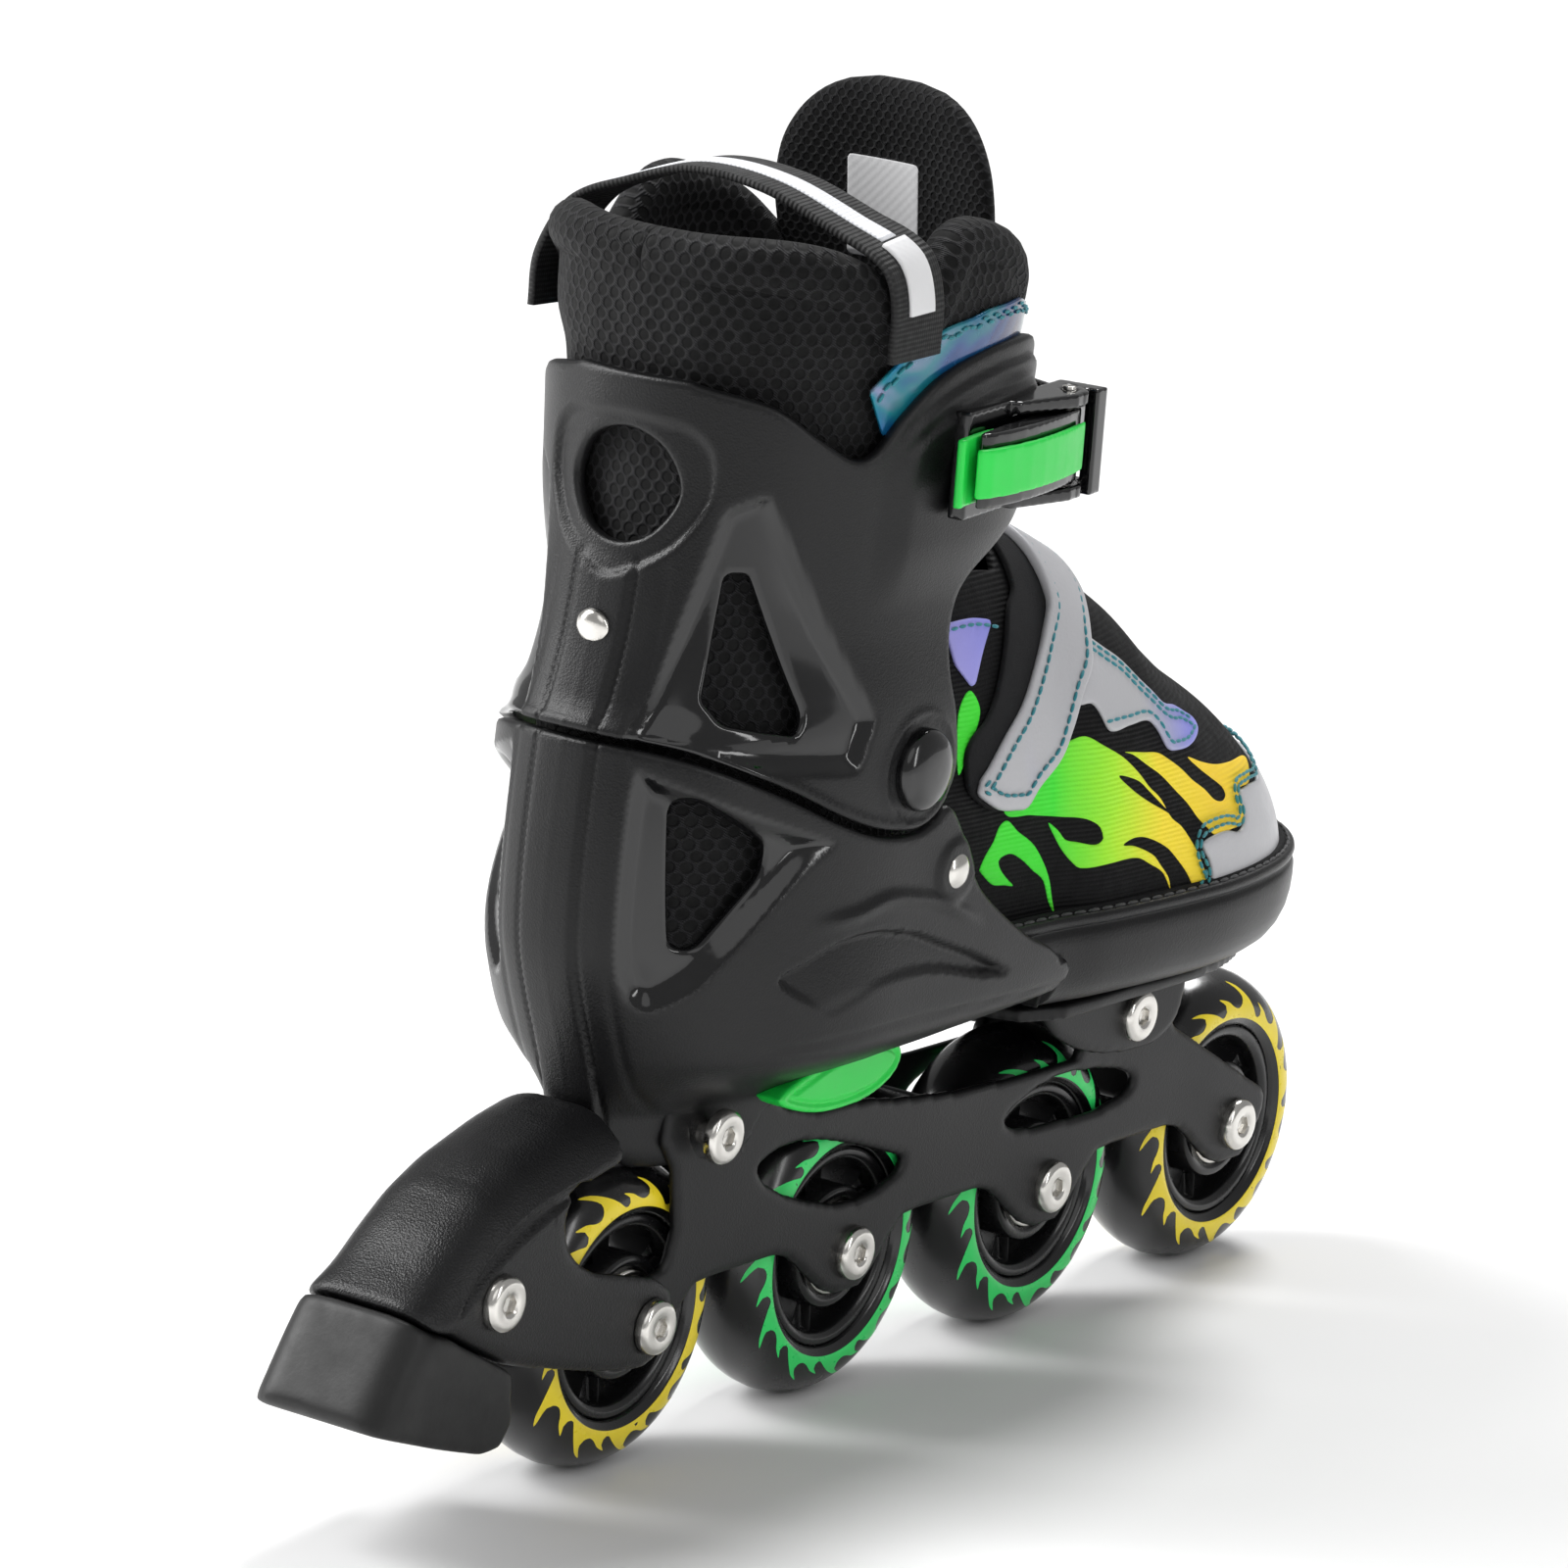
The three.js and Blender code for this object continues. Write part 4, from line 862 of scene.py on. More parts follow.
def hook_pile():
    """The fuzzy pile of a hook-and-loop strap."""
    f = Finish("hook_pile", sheen_weight=0.05, sheen_roughness=0.4, specular_ior_level=0.2)
    fuzz = f.noise(1700, detail=6, roughness=0.85)
    flecks = f.spread(f.cells(420), 0.02, 0.10, 1.0, 0.0)
    dark = f.blend(f.spread(fuzz, 0.35, 0.75), (0.003, 0.003, 0.004), rgb("mesh_thread"))
    f.set("Base Color", f.blend(f.times(flecks, 0.25), dark, (0.05, 0.16, 0.18)))
    f.set("Roughness", f.spread(fuzz, 0.3, 0.7, 0.7, 0.95))
    f.relief(fuzz, 0.0006, 0.9)
    return f


def black_webbing():
    """Ribbed band, darker in the dips between its ribs as painted shade; its ribs cross it, along its UV
    map's first length.
    """
    f = Finish("webbing")
    pitch = 0.0011
    u, v, _ = f.parts(f.uv())
    rib = f.math("SINE", f.times(u, 2 * math.pi * 0.1 / pitch))
    weave = f.math("SINE", f.times(v, 2 * math.pi * 0.1 / 0.0008))
    height = f.plus(f.times(rib, 0.5), f.times(weave, 0.12))
    # painted shade: the band darkens in the dips between its ribs
    f.set("Base Color", f.blend(f.spread(height, -0.6, 0.6), scaled(rgb("webbing"), 0.45), rgb("webbing")))
    f.rough(400, 0.6, 0.8)
    f.relief(height, 0.00025, 0.8)
    return f


def reflective_tape():
    f = Finish("reflective_tape", sheen_weight=0.3)
    glitter = f.noise(1800, detail=2)
    f.set("Base Color", f.blend(glitter, rgb("reflector"), (0.70, 0.72, 0.76)))
    f.set("Roughness", f.spread(glitter, 0.3, 0.7, 0.35, 0.6))
    u = f.parts(f.uv())[0]
    f.relief(f.math("SINE", f.times(u, 2 * math.pi * 0.1 / 0.0011)), 0.0001, 0.5)
    return f


def grey_leather():
    """Pearly synthetic leather that turns violet and blue in places."""
    f = Finish("grey_leather", coat_weight=0.15, coat_roughness=0.25)
    tint = f.spread(f.noise(16, detail=2, distortion=0.6), 0.54, 0.72, smooth=True)
    sheen = f.ramp(f.noise(11, detail=1), [(0.35, (0.20, 0.22, 0.75)), (0.5, (0.38, 0.36, 0.82)),
                                           (0.65, (0.16, 0.34, 0.72))])
    near_tip = f.named("pearl")
    amount = f.math("MAXIMUM", f.times(tint, 0.16), near_tip)
    f.set("Base Color", f.blend(amount, rgb("leather"), sheen))
    f.rough(220, 0.32, 0.46, detail=4)
    grain = f.plus(f.times(f.cells(1100), 0.8), f.times(f.noise(240, detail=3), 0.5))
    f.relief(grain, 0.00012, 0.5)
    return f


def holographic():
    """Blue and teal foil trim."""
    f = Finish("holographic_trim", metallic=0.4, coat_weight=0.4, coat_roughness=0.08,
               thin_film_thickness=380.0,
               thin_film_ior=1.3)
    streak = f.noise(26, detail=2, distortion=1.2)
    f.set("Base Color", f.ramp(streak, [(0.3, (0.004, 0.02, 0.09)), (0.45, (0.005, 0.09, 0.24)),
                                        (0.56, (0.01, 0.20, 0.24)),
                                        (0.72, (0.24, 0.26, 0.40))]))
    f.rough(180, 0.14, 0.3, detail=3)
    f.relief(f.noise(90, detail=2), 0.0002, 0.4)
    return f


def thread(name, colour):
    f = Finish(name, sheen_weight=0.2)
    f.tint(900, colour, 0.6, detail=2)
    f.rough(600, 0.45, 0.6)
    twist = f.math("SINE", f.times(f.plus(*f.parts(f.place())[1:3]), 2 * math.pi / 0.0004))
    f.relief(twist, 0.00008, 0.6)
    return f


def teal_thread():
    return thread("teal_thread", rgb("thread"))


def black_thread():
    return thread("black_thread", (0.02, 0.02, 0.022))


def label_cloth():
    """A woven label with plain ruled lines and no words."""
    f = Finish("label_cloth")
    u, v, _ = f.parts(f.uv())
    row = f.math("FRACT", f.times(v, 4.0))
    line = f.spread(f.math("ABSOLUTE", f.math("SUBTRACT", row, 0.5)), 0.02, 0.035, 1.0, 0.0)
    f.set("Base Color", f.blend(f.times(line, 0.7), rgb("label"), (0.10, 0.10, 0.11)))
    f.rough(600, 0.6, 0.75)
    weave = f.times(f.math("SINE", f.times(u, 260.0)), f.math("SINE", f.times(v, 260.0)))
    f.relief(weave, 0.00005, 0.5)
    return f


def floor_paint():
    f = Finish("studio_floor")
    f.set("Base Color", f.blend(f.noise(3, detail=2), (0.86, 0.86, 0.86), (0.9, 0.9, 0.9)))
    f.rough(8, 0.5, 0.6)
    return f


# ---------- repeated small pieces, made by geometry nodes ----------


def node_group(name, inputs):
    """An empty tree with a mesh going in and out, and named inputs."""
    tree = bpy.data.node_groups.new(name, "GeometryNodeTree")
    tree.interface.new_socket("Geometry", in_out="INPUT", socket_type="NodeSocketGeometry")
    for label, kind, value in inputs:
        socket = tree.interface.new_socket(label, in_out="INPUT", socket_type=kind)
        if value is not None:
            socket.default_value = value
    tree.interface.new_socket("Geometry", in_out="OUTPUT", socket_type="NodeSocketGeometry")
    return tree, tree.nodes.new("NodeGroupInput"), tree.nodes.new("NodeGroupOutput")


def painted(tree, place, material, end):
    """Ends a tree: its copies become a mesh of their own, in one material."""
    real = tree.nodes.new("GeometryNodeRealizeInstances")
    paint = tree.nodes.new("GeometryNodeSetMaterial")
    tree.links.new(place.outputs[0], real.inputs[0])
    tree.links.new(real.outputs[0], paint.inputs["Geometry"])
    tree.links.new(material, paint.inputs["Material"])
    tree.links.new(paint.outputs[0], end.inputs["Geometry"])


def stitch_tree():
    """Sets stitches end to end along every line of the mesh."""
    tree, start, end = node_group(
        "stitches",
        [("Stitch", "NodeSocketObject", None), ("Pitch", "NodeSocketFloat", 0.003),
         ("Thread", "NodeSocketMaterial", None)],
    )
    nodes = tree.nodes
    curve = nodes.new("GeometryNodeMeshToCurve")
    even = nodes.new("GeometryNodeResampleCurve")
    even.mode = "LENGTH"
    tangent = nodes.new("GeometryNodeInputTangent")
    turn = nodes.new("FunctionNodeAlignRotationToVector")
    turn.axis = "X"
    stitch = nodes.new("GeometryNodeObjectInfo")
    place = nodes.new("GeometryNodeInstanceOnPoints")
    for source, socket in (
        (start.outputs["Geometry"], curve.inputs[0]),
        (curve.outputs[0], even.inputs["Curve"]),
        (start.outputs["Pitch"], even.inputs["Length"]),
        (start.outputs["Stitch"], stitch.inputs["Object"]),
        (tangent.outputs[0], turn.inputs["Vector"]),
        (even.outputs[0], place.inputs["Points"]),
        (stitch.outputs["Geometry"], place.inputs["Instance"]),
        (turn.outputs[0], place.inputs["Rotation"]),
    ):
        tree.links.new(source, socket)
    painted(tree, place, start.outputs["Thread"], end)
    return tree


def copies_tree():
    """Sets a copy of one object at each point of the mesh, facing along its turn attribute."""
    tree, start, end = node_group(
        "copies", [("Piece", "NodeSocketObject", None), ("Finish", "NodeSocketMaterial", None)]
    )
    nodes = tree.nodes
    piece = nodes.new("GeometryNodeObjectInfo")
    turn = nodes.new("GeometryNodeInputNamedAttribute")
    turn.data_type = "FLOAT_VECTOR"
    turn.inputs["Name"].default_value = "turn"
    place = nodes.new("GeometryNodeInstanceOnPoints")
    for source, socket in (
        (start.outputs["Piece"], piece.inputs["Object"]),
        (start.outputs["Geometry"], place.inputs["Points"]),
        (piece.outputs["Geometry"], place.inputs["Instance"]),
        (turn.outputs["Attribute"], place.inputs["Rotation"]),
    ):
        tree.links.new(source, socket)
    painted(tree, place, start.outputs["Finish"], end)
    return tree


TREES = {}


def grown(piece, maker, **inputs):
    """Runs a tree on a piece and keeps the mesh it gives."""
    if maker.__name__ not in TREES:
        TREES[maker.__name__] = maker()
    tree = TREES[maker.__name__]
    modifier = piece.modifiers.new("grow", "NODES")
    modifier.node_group = tree
    for item in tree.interface.items_tree:
        if item.in_out == "INPUT" and item.name in inputs:
            modifier[item.identifier] = inputs[item.name]
    return settle(piece)


def hidden(piece):
    """Takes a piece that others are copied from out of the scene."""
    bpy.context.scene.collection.objects.unlink(piece)
    return piece


def pattern_piece(name, points, faces, smooth=True):
    """A piece in millimetres about its own middle, to be copied."""
    return hidden(mesh_piece(name, np.asarray(points) * MM, faces, smooth=smooth, own_frame=True))


def copies(name, pattern, places, material):
    """Copies of a pattern piece at ((x, y, z), (turn about x, y, z)) places."""
    points = [place for place, _ in places]
    piece = mesh_piece(name, points, [])
    layer = piece.data.attributes.new("turn", "FLOAT_VECTOR", "POINT")
    layer.data.foreach_set("vector", np.asarray([turn for _, turn in places], np.float32).ravel())
    return grown(piece, copies_tree, Piece=pattern, Finish=material)


def stitch_pattern(length, width):
    """One stitch: a small rounded bar of thread along x."""
    rings = [(-0.5, 0.12), (-0.34, 0.42), (0.0, 0.5), (0.34, 0.42), (0.5, 0.12)]
    points, faces = lathe([(r * width, x * length) for x, r in rings], (0, 0, 0), segments=6)
    faces.append(tuple(range(6)))
    faces.append(tuple(24 + i for i in range(6))[::-1])
    return pattern_piece("stitch_pattern", points, faces)


def stitches(name, lines, pitch, width, material):
    """Rows of stitches along lines of points in millimetres."""
    points, edges = [], []
    for line in lines:
        start = len(points)
        points += [tuple(p) for p in line]
        edges += [(start + i, start + i + 1) for i in range(len(line) - 1)]
    mesh = bpy.data.meshes.new(name)
    mesh.from_pydata(to_frame(points).tolist(), edges, [])
    piece = added(name, mesh)
    grown(piece, stitch_tree, Stitch=stitch_pattern(pitch * 0.86, width), Pitch=pitch * MM, Thread=material)
    return shade(piece)


def offset_line(line, by):
    """A line in a plane moved sideways."""
    line = np.asarray(line, float)
    way = tangent(line)
    return line + np.stack([-way[:, 1], way[:, 0]], -1) * by


# ---------- the boot's walls, unrolled ----------


class BootWall:
    """A wall of the boot unrolled: u runs round it from the heel's middle, v is the height."""

    def __init__(self, heel, reach, power, level):
        self.heel, self.reach, self.power = heel, reach, power
        self.angles = np.radians(np.linspace(-90, 88, 900))
        x, y = self.plan(self.angles, np.full_like(self.angles, level))
        self.arc = np.concatenate([[0], np.cumsum(np.hypot(np.diff(x), np.diff(y)))])

    def reach_at(self, z):
        return along(self.reach, z) if isinstance(self.reach, list) else np.full_like(z, self.reach)

    def plan(self, angle, z):
        c, s = np.cos(angle), np.sin(angle)
        e = np.where(s > 0, 2 / self.power, 2 / HEEL_POWER)
        way = np.where(s > 0, self.reach_at(z), ANKLE_Y - along(self.heel, z))
        return along(BOOT_HALF, z) * np.abs(c) ** e, ANKLE_Y + way * np.sign(s) * np.abs(s) ** e

    def point(self, uv):
        u, z = uv[:, 0], uv[:, 1]
        x, y = self.plan(np.interp(np.abs(u), self.arc, self.angles), z)
        return np.stack([np.sign(u) * x, y, z], -1)

    def beside(self, y, z):
        """u on the outer side at a point seen from that side."""
        y, z = np.asarray(y, float), np.asarray(z, float)
        ahead = y > ANKLE_Y
        way = np.where(ahead, self.reach_at(z), ANKLE_Y - along(self.heel, z))
        power = np.where(ahead, self.power, HEEL_POWER)
        s = np.clip(np.abs(y - ANKLE_Y) / way, 0, 1) ** (power / 2)
        return np.interp(np.arcsin(np.where(ahead, s, -s)), self.angles, self.arc)

    def behind(self, x, z):
        """u at a point seen from behind."""
        c = np.clip(np.abs(x) / along(BOOT_HALF, z), 0, 1) ** (HEEL_POWER / 2)
        return np.sign(x) * np.interp(-np.arccos(c), self.angles, self.arc)

    def side_outline(self, points):
        p = np.asarray(points, float)
        return np.stack([self.beside(p[:, 0], p[:, 1]), p[:, 1]], -1)

    def seen(self, points):
        """Points (x, y, z) on the wall, unrolled: by x where it faces back, by y where it faces sideways."""
        p = np.asarray(points, float)
        u_side, u_back = self.beside(p[:, 1], p[:, 2]), self.behind(p[:, 0], p[:, 2])
        share = smoothstep(p[:, 0], 16, 30)
        return np.stack([u_side * share + u_back * (1 - share), p[:, 2]], -1)

    def edge(self, table, last_y, count=110):
        """An edge whose height is given by y, walked from the heel's middle forwards."""
        ends = self.beside(last_y, along(table, last_y))
        u = np.linspace(0, float(ends), count)
        z = np.full(count, float(along(table, -20)))
        for _ in range(12):
            z = 0.5 * z + 0.5 * along(table, self.point(np.stack([u, z], -1))[:, 1])
        return np.stack([u, z], -1)


def mirrored(loop):
    return np.asarray(loop, float)[::-1] * (-1, 1)


def both_sides(right_edge_up):
    """A closed outline from its right half, which starts and ends on the middle line."""
    right = np.asarray(right_edge_up, float)
    return np.concatenate([right, mirrored(right)[1:-1]])


def groove(offset, width, depth):
    return -depth * np.exp(-((offset / width) ** 2))


CUFF_LINE = [(-40, 172), (-20, 169.5), (-7, 165.5), (8, 159), (24, 151.3), (37, 146.8), (50, 145.2),
             (57, 147.0),
             (61, 150.0), (64.5, 154)]
SHELL_TOP = [(-40, 171.6), (-20, 169), (-7, 165), (8, 158.5), (24, 150.8), (37, 146.3), (50, 144.8),
             (57, 146.4),
             (62.5, 149.3), (68.2, 143.5), (76, 130.7), (83, 124.2), (100, 113.2), (110, 108.8), (114.5, 106)]
SHELL_TIP = [(118.6, 104), (121, 101.6), (120.4, 98), (115, 95.5)]
SHELL_UNDER = [(104, 94.2), (78, 92), (60, 84.4), (45, 80.6), (38, 78), (33.5, 72), (30, 69.5), (10, 69)]


def scene_add(operator):
    """Runs one of the skate's operators and stops if it does not finish."""
    if "FINISHED" not in operator():
        raise RuntimeError("an operator of the skate did not finish")


class SkateSizes(bpy.types.PropertyGroup):
    """Sizes of the finished surface that can be changed."""

    def length(name, description, value, low, high):
        return FloatProperty(name=name, description=description, default=value, min=low, max=high,
                             subtype="DISTANCE")

    wall_cell: length("Wall mesh", "Spacing of the boot walls' mesh", 0.0011, 0.0006, 0.004)
    edge_round: length("Edge rounding", "Rounding of moulded edges", 0.0011, 0.0003, 0.002)
    recess: length("Recess depth", "Depth of the polished recesses", 0.0034, 0.0005, 0.004)
    stitch: length("Stitch length", "Length of one stitch", 0.0027, 0.001, 0.006)
    thread_width: length("Thread width", "Width of the sewing thread", 0.0009, 0.0003, 0.002)
    spokes: IntProperty(name="Spokes", description="Spokes of each hub", default=5, min=3, max=9)
    flames: IntProperty(name="Wheel flames", description="Printed flames round each wheel", default=11,
                        min=5, max=20)


class SkateColours(bpy.types.PropertyGroup):
    """Colours that can be changed."""

    def colour(name, description, value):
        return FloatVectorProperty(name=name, description=description, subtype="COLOR", size=3, default=value,
                                   min=0, max=1)

    shell: colour("Shell", "Moulded black plastic", (0.0050, 0.0050, 0.0054))
    rubber: colour("Brake rubber", "Rubber of the brake pad", (0.0055, 0.0055, 0.0055))
    tyre: colour("Tyre", "Wheel urethane", (0.0022, 0.0022, 0.0025))
    gloss: colour("Gloss plastic", "Polished black plastic", (0.0020, 0.0020, 0.0024))
    nickel: colour("Nickel", "Plated bolts and rivets", (0.78, 0.76, 0.72))
    green: colour("Green plastic", "Button, lever cover and catch", (0.012, 0.72, 0.075))
    flame_green: colour("Flame green", "Green end of the printed flames", (0.05, 0.80, 0.03))
    flame_yellow: colour("Flame yellow", "Yellow of the printed flames", (0.98, 0.78, 0.03))
    wheel_green: colour("Wheel green", "Green print on the middle wheels", (0.03, 0.78, 0.16))
    mesh_thread: colour("Mesh thread", "Threads of the spacer mesh", (0.020, 0.020, 0.022))
    # painted shade: the colour inside the spacer mesh's holes stands in for their shade; the lining uses it
    # as its darker fibres' own tone
    hole_shade_and_dark_fibre: colour("Mesh hole", "Holes of the spacer mesh", (0.0006, 0.0006, 0.0007))
    fabric: colour("Upper fabric", "Knitted forefoot fabric", (0.0060, 0.0060, 0.0066))
    webbing: colour("Webbing", "Black pull-loop band", (0.009, 0.009, 0.0095))
    reflector: colour("Reflector", "White reflective stripe", (0.86, 0.87, 0.90))
    leather: colour("Leather", "Grey synthetic leather", (0.47, 0.47, 0.49))
    thread: colour("Thread", "Teal sewing thread", (0.02, 0.30, 0.36))
    label: colour("Label", "Woven label", (0.72, 0.72, 0.73))


def sizes():
    return bpy.context.scene.skate_sizes


def mm(name):
    """A length property in millimetres."""
    return getattr(sizes(), name) / MM


class SkateOperator(bpy.types.Operator):
    """Shared settings of the skate's operators."""

    bl_options = {"REGISTER", "UNDO"}


# ---------- stage ----------


CAMERA_TURN, CAMERA_RISE, CAMERA_ROLL = (math.radians(a) for a in (34.963, 13.782, 4.436))
CAMERA_TARGET = (0, 61.016, 145.603)
CAMERA_AWAY = 1.882322
CAMERA_LENS = 193.36


def towards(turn, rise):
    """The way from the skate to a place at a turn round it and a rise above it."""
    return Vector((math.sin(turn) * math.cos(rise), -math.cos(turn) * math.cos(rise), math.sin(rise)))


def lamp_at(name, kind, power, place, away):
    """A lamp that shines back along a way; its settings are returned."""
    light = bpy.data.lights.new(name, kind)
    light.energy = power
    lamp = added(name, light)
    lamp.location = place
    lamp.rotation_euler = away.to_track_quat("Z", "Y").to_euler()
    return light


class SKATE_OT_stage(SkateOperator):
    """Floor, soft lights and camera"""

    bl_idname = "skate.stage"
    bl_label = "Stage"

    def execute(self, context):
        floor = mesh_piece("floor", [(-9000, -9000, 0), (9000, -9000, 0), (9000, 9000, 0), (-9000, 9000, 0)],
                           [(0, 1, 2, 3)], finish(floor_paint), smooth=False)
        world = bpy.data.worlds.new("studio")
        context.scene.world = world
        world.use_nodes = True
        world.node_tree.nodes["Background"].inputs["Color"].default_value = (1, 1, 1, 1)
        world.node_tree.nodes["Background"].inputs["Strength"].default_value = 0.34
        for name, turn, rise, power, spread in (
            ("high_key", 200, 56, 2.05, 22),
            ("left_key", 300, 48, 1.25, 26),
            ("front_fill", 40, 40, 0.30, 40),
        ):
            away = towards(math.radians(turn), math.radians(rise))
            lamp_at(name, "SUN", power, away * 3, away).angle = math.radians(spread)
        middle = Vector(to_frame((0, 90, 150)))
        for name, place, width, height, power in (
            ("left_window", (-1.05, -0.65, 0.60), 0.30, 1.1, 15.0),
            ("right_window", (1.05, -0.1, 0.45), 0.12, 0.8, 2.2),
        ):
            light = lamp_at(name, "AREA", power, middle + Vector(place), Vector(place))
            light.shape = "RECTANGLE"
            light.size = width
            light.size_y = height
        self.camera(context)
        return {"FINISHED"}

    def camera(self, context):
        target = Vector(to_frame(CAMERA_TARGET))
        back = towards(CAMERA_TURN, CAMERA_RISE)
        right = (-back).cross(Vector((0, 0, 1))).normalized()
        up = right.cross(-back)
        leaning_right = right * math.cos(CAMERA_ROLL) + up * math.sin(CAMERA_ROLL)
        leaning_up = up * math.cos(CAMERA_ROLL) - right * math.sin(CAMERA_ROLL)
        lens = bpy.data.cameras.new("camera")
        lens.sensor_width = 36
        lens.lens = CAMERA_LENS
        lens.clip_end = 50
        camera = added("camera", lens)
        axes = Matrix((leaning_right, leaning_up, back)).transposed()
        camera.matrix_world = Matrix.Translation(target + back * CAMERA_AWAY) @ axes.to_4x4()
        context.scene.camera = camera
        context.scene.view_settings.view_transform = "Standard"


# ---------- wheels ----------


class SKATE_OT_wheels(SkateOperator):
    """Tyres, printed flames, hubs and bearings of the four wheels"""

    bl_idname = "skate.wheels"
    bl_label = "Wheels"

    def execute(self, context):
        for number in range(1, WHEELS + 1):
            y = (number - 1) * WHEEL_PITCH
            body = f"wheel_{number}"
            yellow = number in (1, WHEELS)
            self.tyre(number, y, body)
            self.print(number, y, body, yellow)
            self.hub(number, y, body)
            self.bearings(number, y, body)
        return {"FINISHED"}

    def flank(self, radius):
        """How far out the tyre's side is at a radius: a flat flank into a round crown."""
        crown = np.clip((np.asarray(radius, float) - (WHEEL_R - 10.5)) / 10.5, 0, 1)
        return 10.6 + 1.3 * smoothstep(radius, TYRE_BORE_R, TYRE_BORE_R + 2.5) - 11.9 * (
            1 - (1 - crown**2.5) ** (1 / 1.75))

    def tyre(self, number, y, body):
        radius = np.concatenate([np.linspace(TYRE_BORE_R + 0.1, 33.5, 16),
                                 WHEEL_R - 2.5 * np.cos(np.linspace(0, np.pi / 2, 12))[1:]])
        out = self.flank(radius)
        side = list(zip(radius, out))
        profile = side + [(r, -x) for r, x in side[::-1][1:]] + [side[0]]
        piece = tidy_mesh(turned(f"wheel_tyre_{number}", profile, (0, y, WHEEL_R), 112, tyre_urethane))
        finished(piece, body, "tyre", f"tyre_{number}")

    def print(self, number, y, body, yellow):
        """A ring of licking flames printed on both flanks."""
        base, count = 25.4, sizes().flames
        step = 2 * math.pi / count
        outline = []
        tongue = [(0.00, 1.2), (0.10, 2.6), (0.26, 4.6), (0.46, 6.6), (0.62, 7.4), (0.50, 6.0), (0.42, 4.6),
                  (0.44, 3.2),
                  (0.54, 2.2), (0.66, 2.6), (0.80, 4.0), (0.98, 4.9), (0.88, 3.4), (0.88, 2.0), (0.94, 1.2)]
        rng = np.random.default_rng(number)
        for k in range(count):
            tall = 0.8 + 0.35 * rng.random()
            outline += [((k + a) * step, base + 0.6 + (r - 0.6) * tall) for a, r in tongue]
        outer = rounded([(r * math.cos(a), r * math.sin(a)) for a, r in outline], 0.8)
        inner = [(base * math.cos(a), base * math.sin(a)) for a in np.linspace(0, 2 * np.pi, 120,
                endpoint=False)]
        uv, faces, _ = fill(outer, [np.array(inner)], 1.3, 0.3)
        reach = self.flank(np.linalg.norm(uv, axis=1)) + 0.06
        material = finish(yellow_wheel_print if yellow else green_wheel_print)
        points, all_faces = [], []
        for side in (1, -1):
            start = sum(len(p) for p in points)
            points.append(np.stack([side * reach, y + uv[:, 0] * side, WHEEL_R + uv[:, 1]], -1))
            all_faces += [tuple(f + start) for f in faces]
        piece = mesh_piece(f"wheel_flames_{number}", np.concatenate(points), all_faces, material)
        finished(piece, body, "tyre")

    def hub(self, number, y, body):
        """A hub with a flanged rim, a boss and slotted spokes."""
        bore, boss, rim_in, rim = BEARING_R + GAP, 14.3, 20.2, TYRE_BORE_R - GAP
        profiles = [
            [(bore, -10.8), (boss - 0.6, -10.8), (boss, -10.2), (boss, 10.2), (boss - 0.6, 10.8),
             (bore, 10.8),
             (bore, -10.8)],
            [(rim_in, -8.6), (rim_in + 0.7, -9.9), (rim - 0.4, -10.3), (rim, -9.9), (rim, 9.9),
             (rim - 0.4, 10.3),
             (rim_in + 0.7, 9.9), (rim_in, 8.6), (rim_in - 0.3, 3), (rim_in - 0.3, -3), (rim_in, -8.6)],
        ]
        pieces = [tidy_mesh(turned("hub_ring", profile, (0, y, WHEEL_R), 80,
                                   hub_black)) for profile in profiles]
        spoke = self.spoke(boss - 0.5, rim_in + 0.4)
        count = sizes().spokes
        turns = [2 * math.pi * k / count + math.pi / 2 for k in range(count)]
        spokes = copies("hub_spokes", spoke, [((0, y, WHEEL_R), (a, 0, 0)) for a in turns], finish(hub_black))
        shade(spokes, False)
        piece = joined(f"wheel_hub_{number}", pieces + [spokes])
        finished(piece, body, "hub_plastic", f"hub_{number}")

    def spoke(self, low, high):
        """One spoke, with a slot sunk in each face, as a pattern to copy."""
        bm = bmesh.new()
        wide, thick = 5.4, 6.6
        bmesh.ops.create_cube(bm, size=1)
        for v in bm.verts:
            r, thicker, wider = (low, 1.0, 1.0) if v.co.z < 0 else (high, 1.15, 1.5)
            v.co = Vector((v.co.x * 2 * thick * thicker, v.co.y * wide * wider, r))
        for side in (1, -1):
            face = next(f for f in bm.faces
                        if f.normal.x * side > 0.9 or f.calc_center_median().x * side > thick * 0.9)
            bmesh.ops.inset_individual(bm, faces=[face], thickness=1.3)
            bmesh.ops.translate(bm, vec=(-side * 2.6, 0, 0), verts=face.verts)
        bmesh.ops.bevel(bm, geom=bm.edges[:], offset=0.35, segments=2, affect="EDGES", profile=0.6)
        bmesh.ops.scale(bm, vec=(MM, MM, MM), verts=bm.verts)
        bmesh.ops.recalc_face_normals(bm, faces=bm.faces)
        mesh = bpy.data.meshes.new("spoke_pattern")
        bm.to_mesh(mesh)
        bm.free()
        return bpy.data.objects.new("spoke_pattern", mesh)

